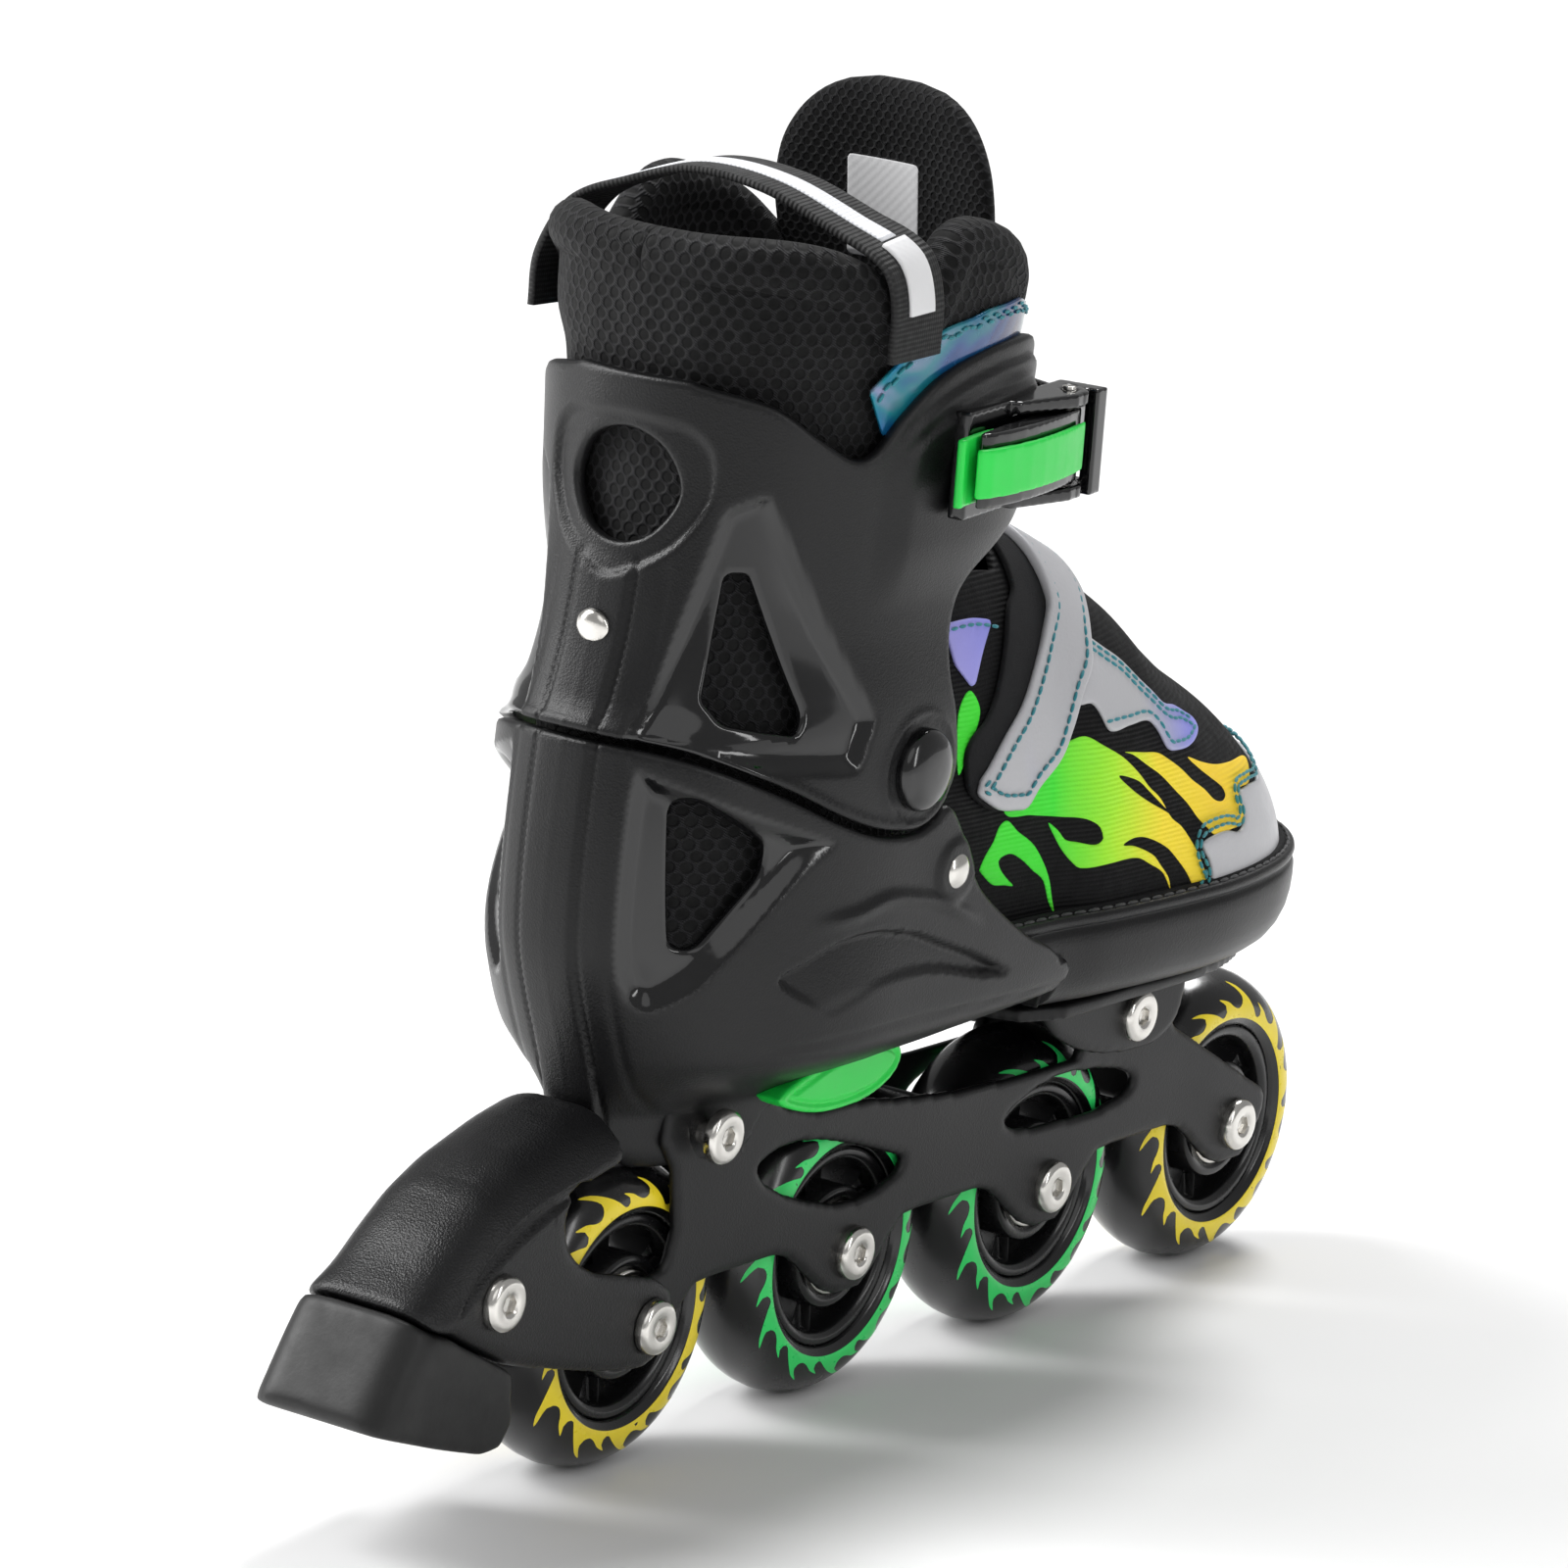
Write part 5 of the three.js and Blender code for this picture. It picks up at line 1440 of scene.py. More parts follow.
    def bearings(self, number, y, body):
        """Outer race, shield and inner race of both bearings."""
        pieces = []
        for side in (1, -1):
            face = side * 11.1
            rings = [
                ([(BEARING_R, face - side * 7), (BEARING_R, face - side * 0.3), (BEARING_R - 0.3, face),
                  (9.4, face), (9.2, face - side * 0.4), (9.2, face - side * 7)], nickel),
                ([(9.2, face - side * 0.5), (8.4, face - side * 0.7), (6.6, face - side * 0.7),
                  (6.2, face - side * 0.5)],
                 bearing_steel),
                ([(6.2, face - side * 7), (6.2, face - side * 0.1), (6.0, face), (AXLE_R + 0.5, face),
                  (AXLE_R + 0.2, face - side * 0.3), (AXLE_R + 0.2, face - side * 7)], nickel),
            ]
            for profile, maker in rings:
                pieces.append(tidy_mesh(turned("race", profile, (0, y, WHEEL_R), 56, maker)))
        piece = joined(f"wheel_bearings_{number}", pieces)
        finished(piece, body, "nickel_steel", f"bearing_{number}_right", f"bearing_{number}_left")


# ---------- bolts and rivets ----------


def bolt_head(radius, tall, socket, segments=48):
    """A domed bolt head with a hexagon socket, pointing along x."""
    hexagon = []
    for i in range(segments):
        a = 2 * math.pi * i / segments
        flat = math.cos(math.pi / 6) / math.cos((a % (math.pi / 3)) - math.pi / 6)
        hexagon.append((flat * math.cos(a), flat * math.sin(a)))
    hexagon = np.array(hexagon)
    circle = np.array([(math.cos(2 * math.pi * i / segments), math.sin(2 * math.pi * i / segments))
                       for i in range(segments)])
    rings = [
        (circle * radius, -0.3), (circle * radius, tall * 0.5), (circle * (radius - 0.25), tall * 0.72),
        (circle * (radius - 0.9), tall * 0.94), (circle * (radius - 1.6), tall),
        (circle * socket * 1.28, tall),
        (circle * socket * 1.16, tall - 0.15), (hexagon * socket * 1.05, tall - 0.4),
        (hexagon * socket, tall - 1.4),
        (hexagon * socket * 0.02, tall - 1.5),
    ]
    points = np.concatenate([np.column_stack([np.full(segments, x), ring]) for ring, x in rings])
    return points, ring_faces(len(rings), segments)


class SKATE_OT_fasteners(SkateOperator):
    """Bolts, axles, nuts and rivets"""

    bl_idname = "skate.fasteners"
    bl_label = "Bolts and rivets"

    def execute(self, context):
        points, faces = bolt_head(6.3, 2.5, 2.3)
        pattern = pattern_piece("bolt_pattern", points, faces)
        seats = []
        for i in range(WHEELS):
            half = (BRAKE_HALF if i == 0 else CHASSIS_HALF) + GAP
            seats.append((half, i * WHEEL_PITCH, WHEEL_R, 0.3 * i))
        for (y, z), half, turn in ((REAR_MOUNT, 20.6, 0.2), (FRONT_MOUNT, 18.4, 0.5), (BRAKE_BOLT, 19, 0.1)):
            seats.append((half, y, z, turn))
        places = [((x, y, z), (turn, 0, 0)) for x, y, z, turn in seats]
        places += [((-x, y, z), (turn, 0, math.pi)) for x, y, z, turn in seats]
        heads = copies("bolt_heads", pattern, places, finish(nickel))
        shade(heads).data.set_sharp_from_angle(angle=math.radians(38))
        names = [f"axle_{i}" for i in range(1, WHEELS + 1)] + [f"axle_screw_{i}" for i in range(1,
                WHEELS + 1)]
        for mount in ("rear_mount", "front_mount", "brake"):
            names += [f"{mount}_bolt", f"{mount}_nut"]
        bars = []
        for x, y, z, _ in seats:
            radius = AXLE_R if z == WHEEL_R else MOUNT_BOLT_R
            bars.append(turned("shaft", [(radius, -x), (radius, x)], (0, y, z), 32, nickel))
        for i in range(WHEELS):
            bars.append(turned("spacer", [(5.8, -3.9), (5.8, 3.9)], (0, i * WHEEL_PITCH, WHEEL_R), 32,
                               nickel))
        bars = joined("bolt_shafts", bars)
        finished(heads, ROOT, "nickel_steel", *names)
        finished(bars, ROOT, "nickel_steel", *[f"bearing_spacer_{i}" for i in range(1, WHEELS + 1)])
        self.rivets()
        return {"FINISHED"}

    def rivets(self):
        dome = [(4.4, -0.6), (4.4, 0.1), (4.2, 0.5), (3.5, 1.2), (2.5, 1.7), (1.3, 2.0), (0.02, 2.1)]
        points, faces = lathe(dome, (0, 0, 0), segments=48)
        pattern = pattern_piece("rivet_pattern", points, faces)
        y, z = SHELL_RIVET
        places = [((44.1, y, z), (0, 0, 0)), ((-44.1, y, z), (0, 0, math.pi))]
        small = copies("shell_rivets", pattern, places, finish(nickel))
        y, z = REAR_RIVET
        back = copies("cuff_rivet", pattern, [((0, y - 0.2, z), (0, REAR_RIVET_LEAN, -math.pi / 2))],
                      finish(nickel))
        wall = float(along(BOOT_HALF, PIVOT[1]))
        cap = [(9.3, -0.5), (9.3, 1.1), (9.0, 1.9), (8.2, 2.7), (6.6, 3.5), (4.4, 4.0), (2.2, 4.2),
               (0.02, 4.25)]
        points, faces = lathe(cap, (0, 0, 0), segments=72)
        pattern = pattern_piece("cap_pattern", points, faces)
        y, z = PIVOT
        places = [((wall + GAP, y, z), (0, 0, 0)), ((-wall - GAP, y, z), (0, 0, math.pi))]
        caps = copies("pivot_caps", pattern, places, finish(gloss_black))
        for piece in (small, back, caps):
            shade(piece)
        finished(small, ROOT, "nickel_steel", "shell_rivet_right", "shell_rivet_left")
        finished(back, "cuff", "nickel_steel", "rear_rivet")
        finished(caps, ROOT, "gloss_plastic", "pivot_rivet_right", "pivot_rivet_left")


# ---------- moulded boot ----------


SHELL_WINDOW = [(-14.8, 157), (-10.5, 158.6), (6, 147.4), (5.4, 140.5), (-8.5, 124), (-13, 124.5)]
SHELL_RECESS = [(16, -19, 166), (25, -12, 162), (33, -1, 157), (42, 21, 149), (43, 24, 146.5), (41, 16, 142),
                (37, 7, 133), (34, -1, 124), (29, -6, 116), (26, -10, 112), (21, -13, 109), (17, -16, 111),
                (15, -19, 117), (15, -21, 127), (15, -21, 144), (15, -20, 157)]
SHELL_SCOOP = [(10, 117), (18, 121), (26, 124), (36, 125), (46, 124), (56, 121.5), (68, 117), (80, 112.5),
               (93, 106),
               (82, 106.5), (66, 110.5), (54, 112), (42, 111.5), (34, 109), (26, 107), (20, 110)]
CUFF_FRONT = [(64.5, 158), (62.8, 170), (59.8, 181), (60.5, 193), (65, 200.5), (74, 206), (84, 211),
              (95, 217),
              (95.6, 236)]
CUFF_TOP = [(92, 246.5), (86, 252), (74, 253.6), (58, 252.6), (42, 248), (32, 240.2), (26, 233), (21, 231.6),
            (13, 236), (3, 243.5), (-6, 247)]
CUFF_WINDOW = [(-2.5, 206.5), (1.5, 206.5), (13.2, 175.5), (11.5, 171.5), (-5, 175.5), (-8, 180)]
CUFF_PORT = [(14.5, 223), (10, 232), (0, 235.5), (-10, 232), (-14.5, 223), (-9, 214), (0, 211), (9, 214)]
CUFF_RECESS = [(26, -3.8, 221.5), (31.4, 4, 226), (38.5, 19.7, 195), (41.8, 33.7, 174), (40.8, 28.3, 161),
               (11, -14.7, 166), (13.7, -13.5, 174)]
CUFF_BACK_RECESS = [(0, 203), (8, 206), (16, 212), (21.5, 222), (21, 233), (14, 238.4), (-14, 238.4),
                    (-21, 233),
                    (-21.5, 222), (-16, 212), (-8, 206)]


def heel_band(base):
    """The raised band down the back, with a groove each side and a mould line."""
    x = np.abs(base[:, 0])
    behind = 1 - smoothstep(base[:, 1], -4, 4)
    return behind * (0.8 * (1 - smoothstep(x, 6.6, 8.0)) + groove(x - 7.6, 0.5, 0.9) + groove(x - 14.5, 0.8,
            0.35)
                     + 0.12 * np.exp(-((x / 0.35) ** 2)))


def polished_recess(uv, loops, depth, slope):
    """How deep a recess is at each point, and where its floor is polished."""
    down = np.max([depth_in(uv, loop) for loop in loops], axis=0)
    return depth * smoothstep(down, 0.0, slope), smoothstep(down, 0.5, 1.4)


class SKATE_OT_shell(SkateOperator):
    """Lower shell with its windows, scoops and polished recesses"""

    bl_idname = "skate.shell"
    bl_label = "Shell"

    def execute(self, context):
        wall = BootWall(SHELL_HEEL, SHELL_REACH, SHELL_POWER, 130)
        top = wall.edge(SHELL_TOP, 114.5, 190)
        rest = wall.side_outline(SHELL_TIP + SHELL_UNDER)
        right = np.concatenate([top, walked(np.concatenate([rest, [(6, 69), (0, 69)]]), 1.2, closed=False)])
        outline = both_sides(right)
        window = cornered(wall.side_outline(SHELL_WINDOW), 0.8, 2.4)
        recess = cornered(wall.seen(SHELL_RECESS), 1.0, 3.0)
        scoop = rounded(wall.side_outline(SHELL_SCOOP), 1.0)
        polished, scoops = [recess, mirrored(recess)], [scoop, mirrored(scoop)]
        depth = mm("recess")

        def height(uv, base):
            y, z = base[:, 1], base[:, 2]
            sunk, _ = polished_recess(uv, polished, depth, 6.0)
            upper = along([(0, 118), (14, 119), (26, 124), (36, 125), (46, 124), (56, 121.5), (68, 117),
                           (93, 106)], y)
            share = np.clip((upper - z) / 13, 0, 1)
            down = np.max([depth_in(uv, loop) for loop in scoops], axis=0)
            scooped = 2.8 * smoothstep(down, 0, 1.3) * (1 - 0.85 * share)
            arch = along([(0, 128), (30, 129.5), (41, 131.5), (50, 130.5), (62, 127.5), (80, 120)], y)
            ridge = 1.3 * np.exp(-(((z - arch) / 1.5) ** 2)) * smoothstep(y, 16,
                    28) * (1 - smoothstep(y, 66, 82))
            hem = groove(z - along([(0, 100), (30, 101), (60, 101), (90, 99.5), (116, 98)], y), 0.7,
                         0.7) * smoothstep(y, 6, 16)
            seat = 0.9 * (1 - smoothstep(np.hypot(y - SHELL_RIVET[0], z - SHELL_RIVET[1]), 6.4, 8.2))
            return heel_band(base) - sunk - scooped + ridge + hem + seat

        piece, uv, base = skin("shell", outline, [window, mirrored(window)], wall.point, mm("wall_cell"),
                               SHELL_T,
                               mm("edge_round"), finish(shell_black), height)
        attribute(piece, "gloss", polished_recess(uv, polished, depth, 6.0)[1])
        finished(piece, ROOT, "shell_plastic", "boot_shell")
        core = soften("shell_floor", "boot_shell", 1.4, 2, finish(shell_black), shrink=0.7, keep_below=103)
        attribute(core, "gloss", np.zeros(len(core.data.vertices)))
        finished(core, ROOT, "shell_plastic")
        return {"FINISHED"}


class SKATE_OT_cuff(SkateOperator):
    """Ankle cuff with its flap, shoulders, ports and polished recesses"""

    bl_idname = "skate.cuff"
    bl_label = "Cuff"

    def execute(self, context):
        wall = BootWall(CUFF_HEEL, CUFF_REACH, CUFF_POWER, 200)
        line = [(y, z + (0.9 if y > 52 else 1.3)) for y, z in CUFF_LINE[:-1]]
        low = wall.edge(line, 61, 170)
        front = wall.side_outline(CUFF_FRONT + CUFF_TOP)
        front = rounded(np.concatenate([low[-1:], front, [(14, 247.5), (0, 247.5)]]), 1.0, closed=False)
        outline = both_sides(np.concatenate([low[:-1], front]))
        window = cornered(wall.side_outline(CUFF_WINDOW), 0.8, 1.6)
        port = rounded(np.stack([wall.behind(*np.array(CUFF_PORT).T), np.array(CUFF_PORT)[:, 1]], -1), 0.8)
        recess = cornered(wall.seen(CUFF_RECESS), 1.0, 3.0)
        back = np.array(CUFF_BACK_RECESS, float)
        back = rounded(np.stack([wall.behind(back[:, 0], back[:, 1]), back[:, 1]], -1), 1.0)
        sides, depth = [recess, mirrored(recess)], mm("recess") * 0.8

        def height(uv, base):
            y, z = base[:, 1], base[:, 2]
            sunk, _ = polished_recess(uv, sides, depth, 4.6)
            sunk_back, _ = polished_recess(uv, [back], 1.5, 1.6)
            lip = 0.8 * (1 - smoothstep(z - along(line, y), 0.5, 3.4)) * (1 - smoothstep(y, 45, 56))
            away = np.hypot(y - PIVOT[0], z - PIVOT[1])
            boss = groove(away - 11.2, 0.6, 0.8) + 0.5 * (1 - smoothstep(away, 12.0,
                    14.6)) * smoothstep(away, 9, 11.2)
            crest = along([(26, 233), (32, 240.2), (42, 248), (58, 252.6), (74, 253.6), (86, 252),
                           (95, 244)], y)
            ahead = smoothstep(y, 28, 38)
            step = ahead * (1.1 * smoothstep(crest - z, 4.2, 5.4) + 1.0 * smoothstep(crest - z, 9.6, 10.8))
            flap = 1 - smoothstep(z, 196, 212)
            return heel_band(base) * (1 - smoothstep(z, 204,
                                                     210)) - sunk - sunk_back + lip + boss + step * (1 - flap)

        piece, uv, _ = skin("cuff_wall", outline, [window, mirrored(window), port], wall.point,
                            mm("wall_cell"), CUFF_T,
                            mm("edge_round"), finish(shell_black), height)
        attribute(piece, "gloss", polished_recess(uv, sides, depth, 4.6)[1])
        finished(piece, "cuff", "shell_plastic", "cuff")
        return {"FINISHED"}


BRAKE_BACK = [(-110, 30), (-96, 38), (-84, 50), (-73, 60.8), (-65, 67.6), (-55, 74.8), (-44.5, 79.8),
              (-27.3, 85),
              (-13.8, 87.6)]
BRAKE_CRESCENT = [(-26, 77), (-38, 76.5), (-50, 72.5), (-60, 66), (-67, 59), (-70, 53), (-64, 58),
                  (-50, 65.5),
                  (-38, 70), (-26, 72.5)]
BUTTON_EDGE = [(-23.5, -1), (-14, -5.3), (-2, -7.2), (12, -6.4), (21.5, -2.4), (23.5, 2.2), (17.5, 6.2),
               (3.5, 6.9),
               (-10, 4.2)]


class SKATE_OT_chassis(SkateOperator):
    """Chassis, sole plate, brake and push button"""

    bl_idname = "skate.chassis"
    bl_label = "Chassis and brake"

    def execute(self, context):
        for name, node, voxel, rounds, material, slot in (
            ("chassis_moulding", "chassis", 1.0, 4, chassis_black, "chassis_plastic"),
            ("boot_sole_plate", "sole_plate", 1.0, 4, chassis_black, "shell_plastic"),
            ("brake_moulding", "brake_arm", 0.9, 55, brake_black, "brake_plastic"),
            ("brake_block", "brake_pad", 0.9, 30, pad_rubber, "brake_rubber"),
        ):
            piece = soften(name, node, voxel, rounds, finish(material), reduce=0.6)
            if "brake" in name:
                self.crown(piece)
            attribute(piece, "gloss", np.zeros(len(piece.data.vertices)))
            finished(piece, ROOT, slot, node)
        button = soften("push_button", "size_button", 0.5, 10, finish(green_plastic))
        place = points_of(button)
        loop = rounded(np.array(BUTTON_EDGE) + (54.5, 84.3), 1.0)
        within = depth_in(place[:, 1:], loop)
        pad = smoothstep(within, 1.4, 2.0) * (1 - smoothstep(within, 2.4, 3.0))
        place[:, 0] -= 0.6 * pad * smoothstep(place[:, 0], 23, 25)
        move_points(button, place)
        finished(button, "size_button", "green_plastic", "size_button")
        return {"FINISHED"}

    def crown(self, piece):
        """Rounds the brake's back over from side to side and sinks the crescents in its sides."""
        place = points_of(piece)
        x, y, z = place.T
        below = along(BRAKE_BACK, y) - z
        share = (np.abs(x) / BRAKE_HALF) ** 2.2
        crescent = rounded(BRAKE_CRESCENT, 1.0)
        sunk = 1.5 * smoothstep(depth_in(place[:, 1:], crescent), 0, 1.2) * smoothstep(np.abs(x), 13, 15)
        place[:, 2] -= 5.0 * share * (1 - smoothstep(below, 0, 16)) * smoothstep(y, -88, -66)
        place[:, 0] -= np.sign(x) * sunk
        move_points(piece, place)


# ---------- buckle ----------


class SKATE_OT_buckle(SkateOperator):
    """Buckle frame, lever, cover, catch and toothed strap"""

    bl_idname = "skate.buckle"
    bl_label = "Buckle"

    def execute(self, context):
        for name, node, body, voxel, rounds, material, slot in (
            ("buckle_frame", "buckle_base", "cuff", 0.45, 4, gloss_black, "gloss_plastic"),
            ("buckle_hinge_pin", "buckle_pin", "cuff", 0.3, 2, nickel, "nickel_steel"),
            ("lever_moulding", "buckle_lever", "buckle_lever", 0.45, 7, gloss_black, "gloss_plastic"),
            ("lever_band", "lever_cover", "buckle_lever", 0.4, 7, green_plastic, "green_plastic"),
            ("catch_tab", "release_catch", "release_catch", 0.4, 5, green_plastic, "green_plastic"),
            ("ladder_band", "ladder_strap", "cuff", 0.55, 3, gloss_black, "gloss_plastic"),
        ):
            piece = soften(name, node, voxel, rounds, finish(material), reduce=0.7)
            finished(piece, body, slot, node)
        self.teeth()
        return {"FINISHED"}

    def teeth(self):
        """Slanted teeth along the ladder strap."""
        tooth = [(-1.1, 0), (1.1, 0), (-0.9, 0.75)]
        points = [(x, out, z) for z in (-4.4, 4.4) for x, out in tooth]
        faces = [(0, 2, 1), (3, 4, 5), (0, 1, 4, 3), (1, 2, 5, 4), (2, 0, 3, 5)]
        pattern = pattern_piece("tooth_pattern", points, faces, smooth=False)
        route = walked(np.array([(-20, 112.5), (0, 116.5), (22, 114.5), (37.5, 108), (43, 103)]), 3.0,
                       closed=False)
        way = tangent(route)
        places = [((x + 0.95 * -dy, y + 0.95 * dx, LADDER_Z), (0, 0, math.atan2(dy, dx)))
                  for (x, y), (dx, dy) in zip(route, way)]
        piece = copies("ladder_teeth", pattern, places, finish(gloss_black))
        finished(tidy_mesh(piece), "cuff", "gloss_plastic")


# ---------- soft goods ----------


LINER_TOP = [(-40, 266), (-12, 270), (-4, 276), (8, 277.5), (20, 273.5), (31, 264), (41, 267), (50, 279),
             (62, 279),
             (76, 273), (86, 262)]
LINER_TUCK = [(121, 0), (134, 3.8), (192, 3.8), (235, 1), (247, 0), (257, -1.6), (270, -1.6), (281, 1)]
LINER_REACH = [(100, 90), (125, 80), (160, 52), (300, 50)]


ANKLE_BEND = ((0, 50, 125), (0, 50, 165))
TONGUE_BEND = ((0, 95, 182), (0, 95, 240))
LINER_POWER = 2.6


def blended(piece, low, high):
    """Bakes a soft piece's placement into its mesh points; low and high are not used."""
    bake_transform(piece)


def liner_point(angle, z, inwards):
    """A place in the liner's wall: its angle from the side, height, and depth in from the outer face."""
    tuck = 4 + along(LINER_TUCK, z) + inwards
    c, s = np.cos(angle), np.sin(angle)
    way = np.where(s > 0, along(LINER_REACH, z) - inwards, ANKLE_Y - along(CUFF_HEEL, z) - tuck)
    e = 2 / LINER_POWER
    return np.stack([(along(BOOT_HALF, z) - tuck) * np.sign(c) * np.abs(c) ** e,
                     ANKLE_Y + way * np.sign(s) * np.abs(s) ** e, z], -1)


def roll(name, line, across, radius, material, flat=1.0, segments=18):
    """A soft roll along a line of points; across gives the outward way at each of them."""
    line, across = np.asarray(line, float), np.asarray(across, float)
    way = tangent(line)
    out = unit(across - (across * way).sum(1, keepdims=True) * way)
    up = np.cross(out, way)
    radius = np.broadcast_to(radius, len(line))
    angle = np.linspace(0, 2 * np.pi, segments, endpoint=False)
    ring = (line[:, None] + out[:, None] * (np.cos(angle)[None, :, None] * radius[:, None, None])
            + up[:, None] * (np.sin(angle)[None, :, None] * radius[:, None, None] * flat))
    points, faces = capped(ring)
    return tidy_mesh(mesh_piece(name, points, faces, material))


class SKATE_OT_liner(SkateOperator):
    """Padded liner with its bound collar"""

    bl_idname = "skate.liner"
    bl_label = "Liner"

    def execute(self, context):
        body = soften("liner_padding", "liner", 1.5, 14, finish(air_mesh), reduce=0.8)
        self.quilt(body)
        blended(body, *ANKLE_BEND)
        finished(body, None, "mesh_padding", "liner")
        for side in (1, -1):
            self.binding(side)
        return {"FINISHED"}

    def quilt(self, piece):
        """Swells the padding a little between its seams."""
        place = points_of(piece)
        normal = np.zeros(place.size)
        piece.data.vertices.foreach_get("normal", normal)
        puff = 0.9 * smoothstep(place[:, 2], 246, 256) * (1 - smoothstep(place[:, 2], 268, 276))
        move_points(piece, place + normal.reshape(-1, 3) * puff[:, None])

    def binding(self, side):
        """The padded edge sewn over the top of the collar, in the same spacer mesh as the padding."""
        angle = np.radians(np.linspace(-90, 66, 150))
        z = np.full(150, 270.0)
        for _ in range(12):
            z = along(LINER_TOP, liner_point(angle, z, 4)[:, 1])
        outer, middle = liner_point(angle, z - 4.6, 0), liner_point(angle, z - 4.6, 4)
        across = outer - middle
        across[:, 2] = 0
        turn = np.array([side, 1, 1])
        smooth = middle.copy()
        for _ in range(6):
            smooth[1:-1] = (smooth[:-2] + 2 * smooth[1:-1] + smooth[2:]) / 4
        ends = np.minimum(1, 0.25 + np.arange(150)[::-1] / 8)
        piece = roll(f"collar_binding_{'right' if side > 0 else 'left'}", smooth * turn, across * turn,
                     5.8 * ends,
                     finish(air_mesh), flat=1.05)
        blended(piece, *ANKLE_BEND)
        finished(piece, None, "mesh_padding")


SPINE_LINE = [(176, 108.3), (190, 102), (203, 95), (240, 89), (265, 86), (290, 83), (303, 81)]
TONGUE_HALF = [(176, 12), (190, 14), (205, 18), (225, 22), (255, 27), (272, 29.5), (284, 28.5), (292, 25),
               (298, 19.5),
               (301.5, 13), (303, 6)]
TONGUE_TOP = 303
TONGUE_T = 8.6


def tongue_thickness(share, z):
    """How thick the tongue is at a share of its half width and at a height."""
    near_top = np.clip((TONGUE_TOP - z) / 9, 0, 1)
    return TONGUE_T * (1 - share**6) ** 0.5 * (0.2 + 0.8 * np.sqrt(1 - (1 - near_top) ** 2))


class SKATE_OT_tongue(SkateOperator):
    """Padded tongue with its label"""

    bl_idname = "skate.tongue"
    bl_label = "Tongue"

    def execute(self, context):
        rows, columns = 90, 60
        z = np.linspace(177, TONGUE_TOP, rows)
        across = np.linspace(-1, 1, columns)
        share = np.sin(across * np.pi / 2)
        half = along(TONGUE_HALF, z)
        x = half[:, None] * share[None]
        middle = along(SPINE_LINE, z)[:, None] - x**2 / 130
        thick = tongue_thickness(share[None], z[:, None])
        crease = 1 - 0.3 * np.exp(-(((z - 262) / 2.4) ** 2)) - 0.25 * np.exp(-(((z - 222) / 2.4) ** 2))
        front = middle + 4 + thick * 0.5 * crease[:, None]
        back = middle + 4 - thick * 0.5
        up = np.repeat(z[:, None], columns, 1)
        sheet = lambda y: np.stack([x, y, up], -1)
        loop = np.concatenate([sheet(front), sheet(back)[:, ::-1]], 1)
        points, faces = capped(loop)
        piece = tidy_mesh(mesh_piece("tongue_padding", points, faces, finish(tongue_mesh)), 2e-5)
        blended(piece, *TONGUE_BEND)
        finished(piece, None, "mesh_padding", "tongue")
        self.label()
        return {"FINISHED"}

    def label(self):
        """The woven label sewn inside the tongue."""
        outline = cornered([(-11, 262), (8, 262), (8, 285), (-11, 285)], 1.0, 1.0)

        def surface(uv):
            u, z = uv[:, 0], uv[:, 1]
            share = np.clip(u / along(TONGUE_HALF, z), -1, 1)
            return np.stack([u, along(SPINE_LINE, z) - u**2 / 130 + 4 - tongue_thickness(share, z) * 0.5,
                             z], -1)

        piece, _, _ = skin("tongue_label", outline, [], surface, 1.5, 0.4, 0.3, finish(label_cloth), out=-1,
                           lift=0.3)
        blended(piece, *TONGUE_BEND)
        finished(piece, None, "mesh_padding")


def tail_tuck(y):
    return 2.6 * (1 - smoothstep(y, 119, 136))


def upper_point(angle, y):
    """A place on the forefoot upper: its angle up from the outer side, and its distance forward."""
    e = 2 / UPPER_POWER
    rest = TRAY_T + SLIP
    half = np.maximum(along(TOE_WIDTH, y) - rest - tail_tuck(y), 2)
    top = along(RIDGE, y)
    c, s = np.cos(angle), np.maximum(np.sin(angle), 0)
    return np.stack([half * np.sign(c) * np.abs(c) ** e, y - rest * smoothstep(y, 190, TOE_TIP),
                     UPPER_BASE + 6 + (top - UPPER_BASE - 6) * s**e], -1)


UPPER_POWER = 2.3
UPPER_BASE = FLOOR_Z - 0.9
TURN = 57.0
RIDGE_V = TURN * math.pi / 2


def upper_surface(uv):
    """The upper unrolled: u runs forward and v up from the outer side over to the inner."""
    y, v = uv[:, 0], uv[:, 1]
    point = upper_point(np.clip(v / TURN, 0, np.pi), y)
    point[:, 2] += np.minimum(v, 0) + np.minimum(2 * RIDGE_V - v, 0)
    return point


def on_upper(points):
    """Places (x, y, z) near the upper, or (y, z) seen from its side, unrolled."""
    p = np.asarray(points, float)
    y, z = (p[:, 1], p[:, 2]) if p.shape[1] == 3 else (p[:, 0], p[:, 1])
    rise = np.clip((z - UPPER_BASE - 6) / (along(RIDGE, y) - UPPER_BASE - 6), 0, 1) ** 1.15
    if p.shape[1] == 3:
        half = along(TOE_WIDTH, y) - TRAY_T - SLIP - tail_tuck(y)
        angle = np.arctan2(rise, np.clip(p[:, 0] / half, 0, 1) ** 1.15)
    else:
        angle = np.arcsin(rise)
    return np.stack([y, angle * TURN], -1)


def other_side(loop):
    """An outline on the upper carried over to the inner side."""
    return np.asarray(loop, float)[::-1] * (1, -1) + (0, 2 * RIDGE_V)


def over_both(right):
    """A closed outline over the upper from its outer half, which starts and ends on the ridge."""
    return np.concatenate([right, other_side(right)[1:-1]])


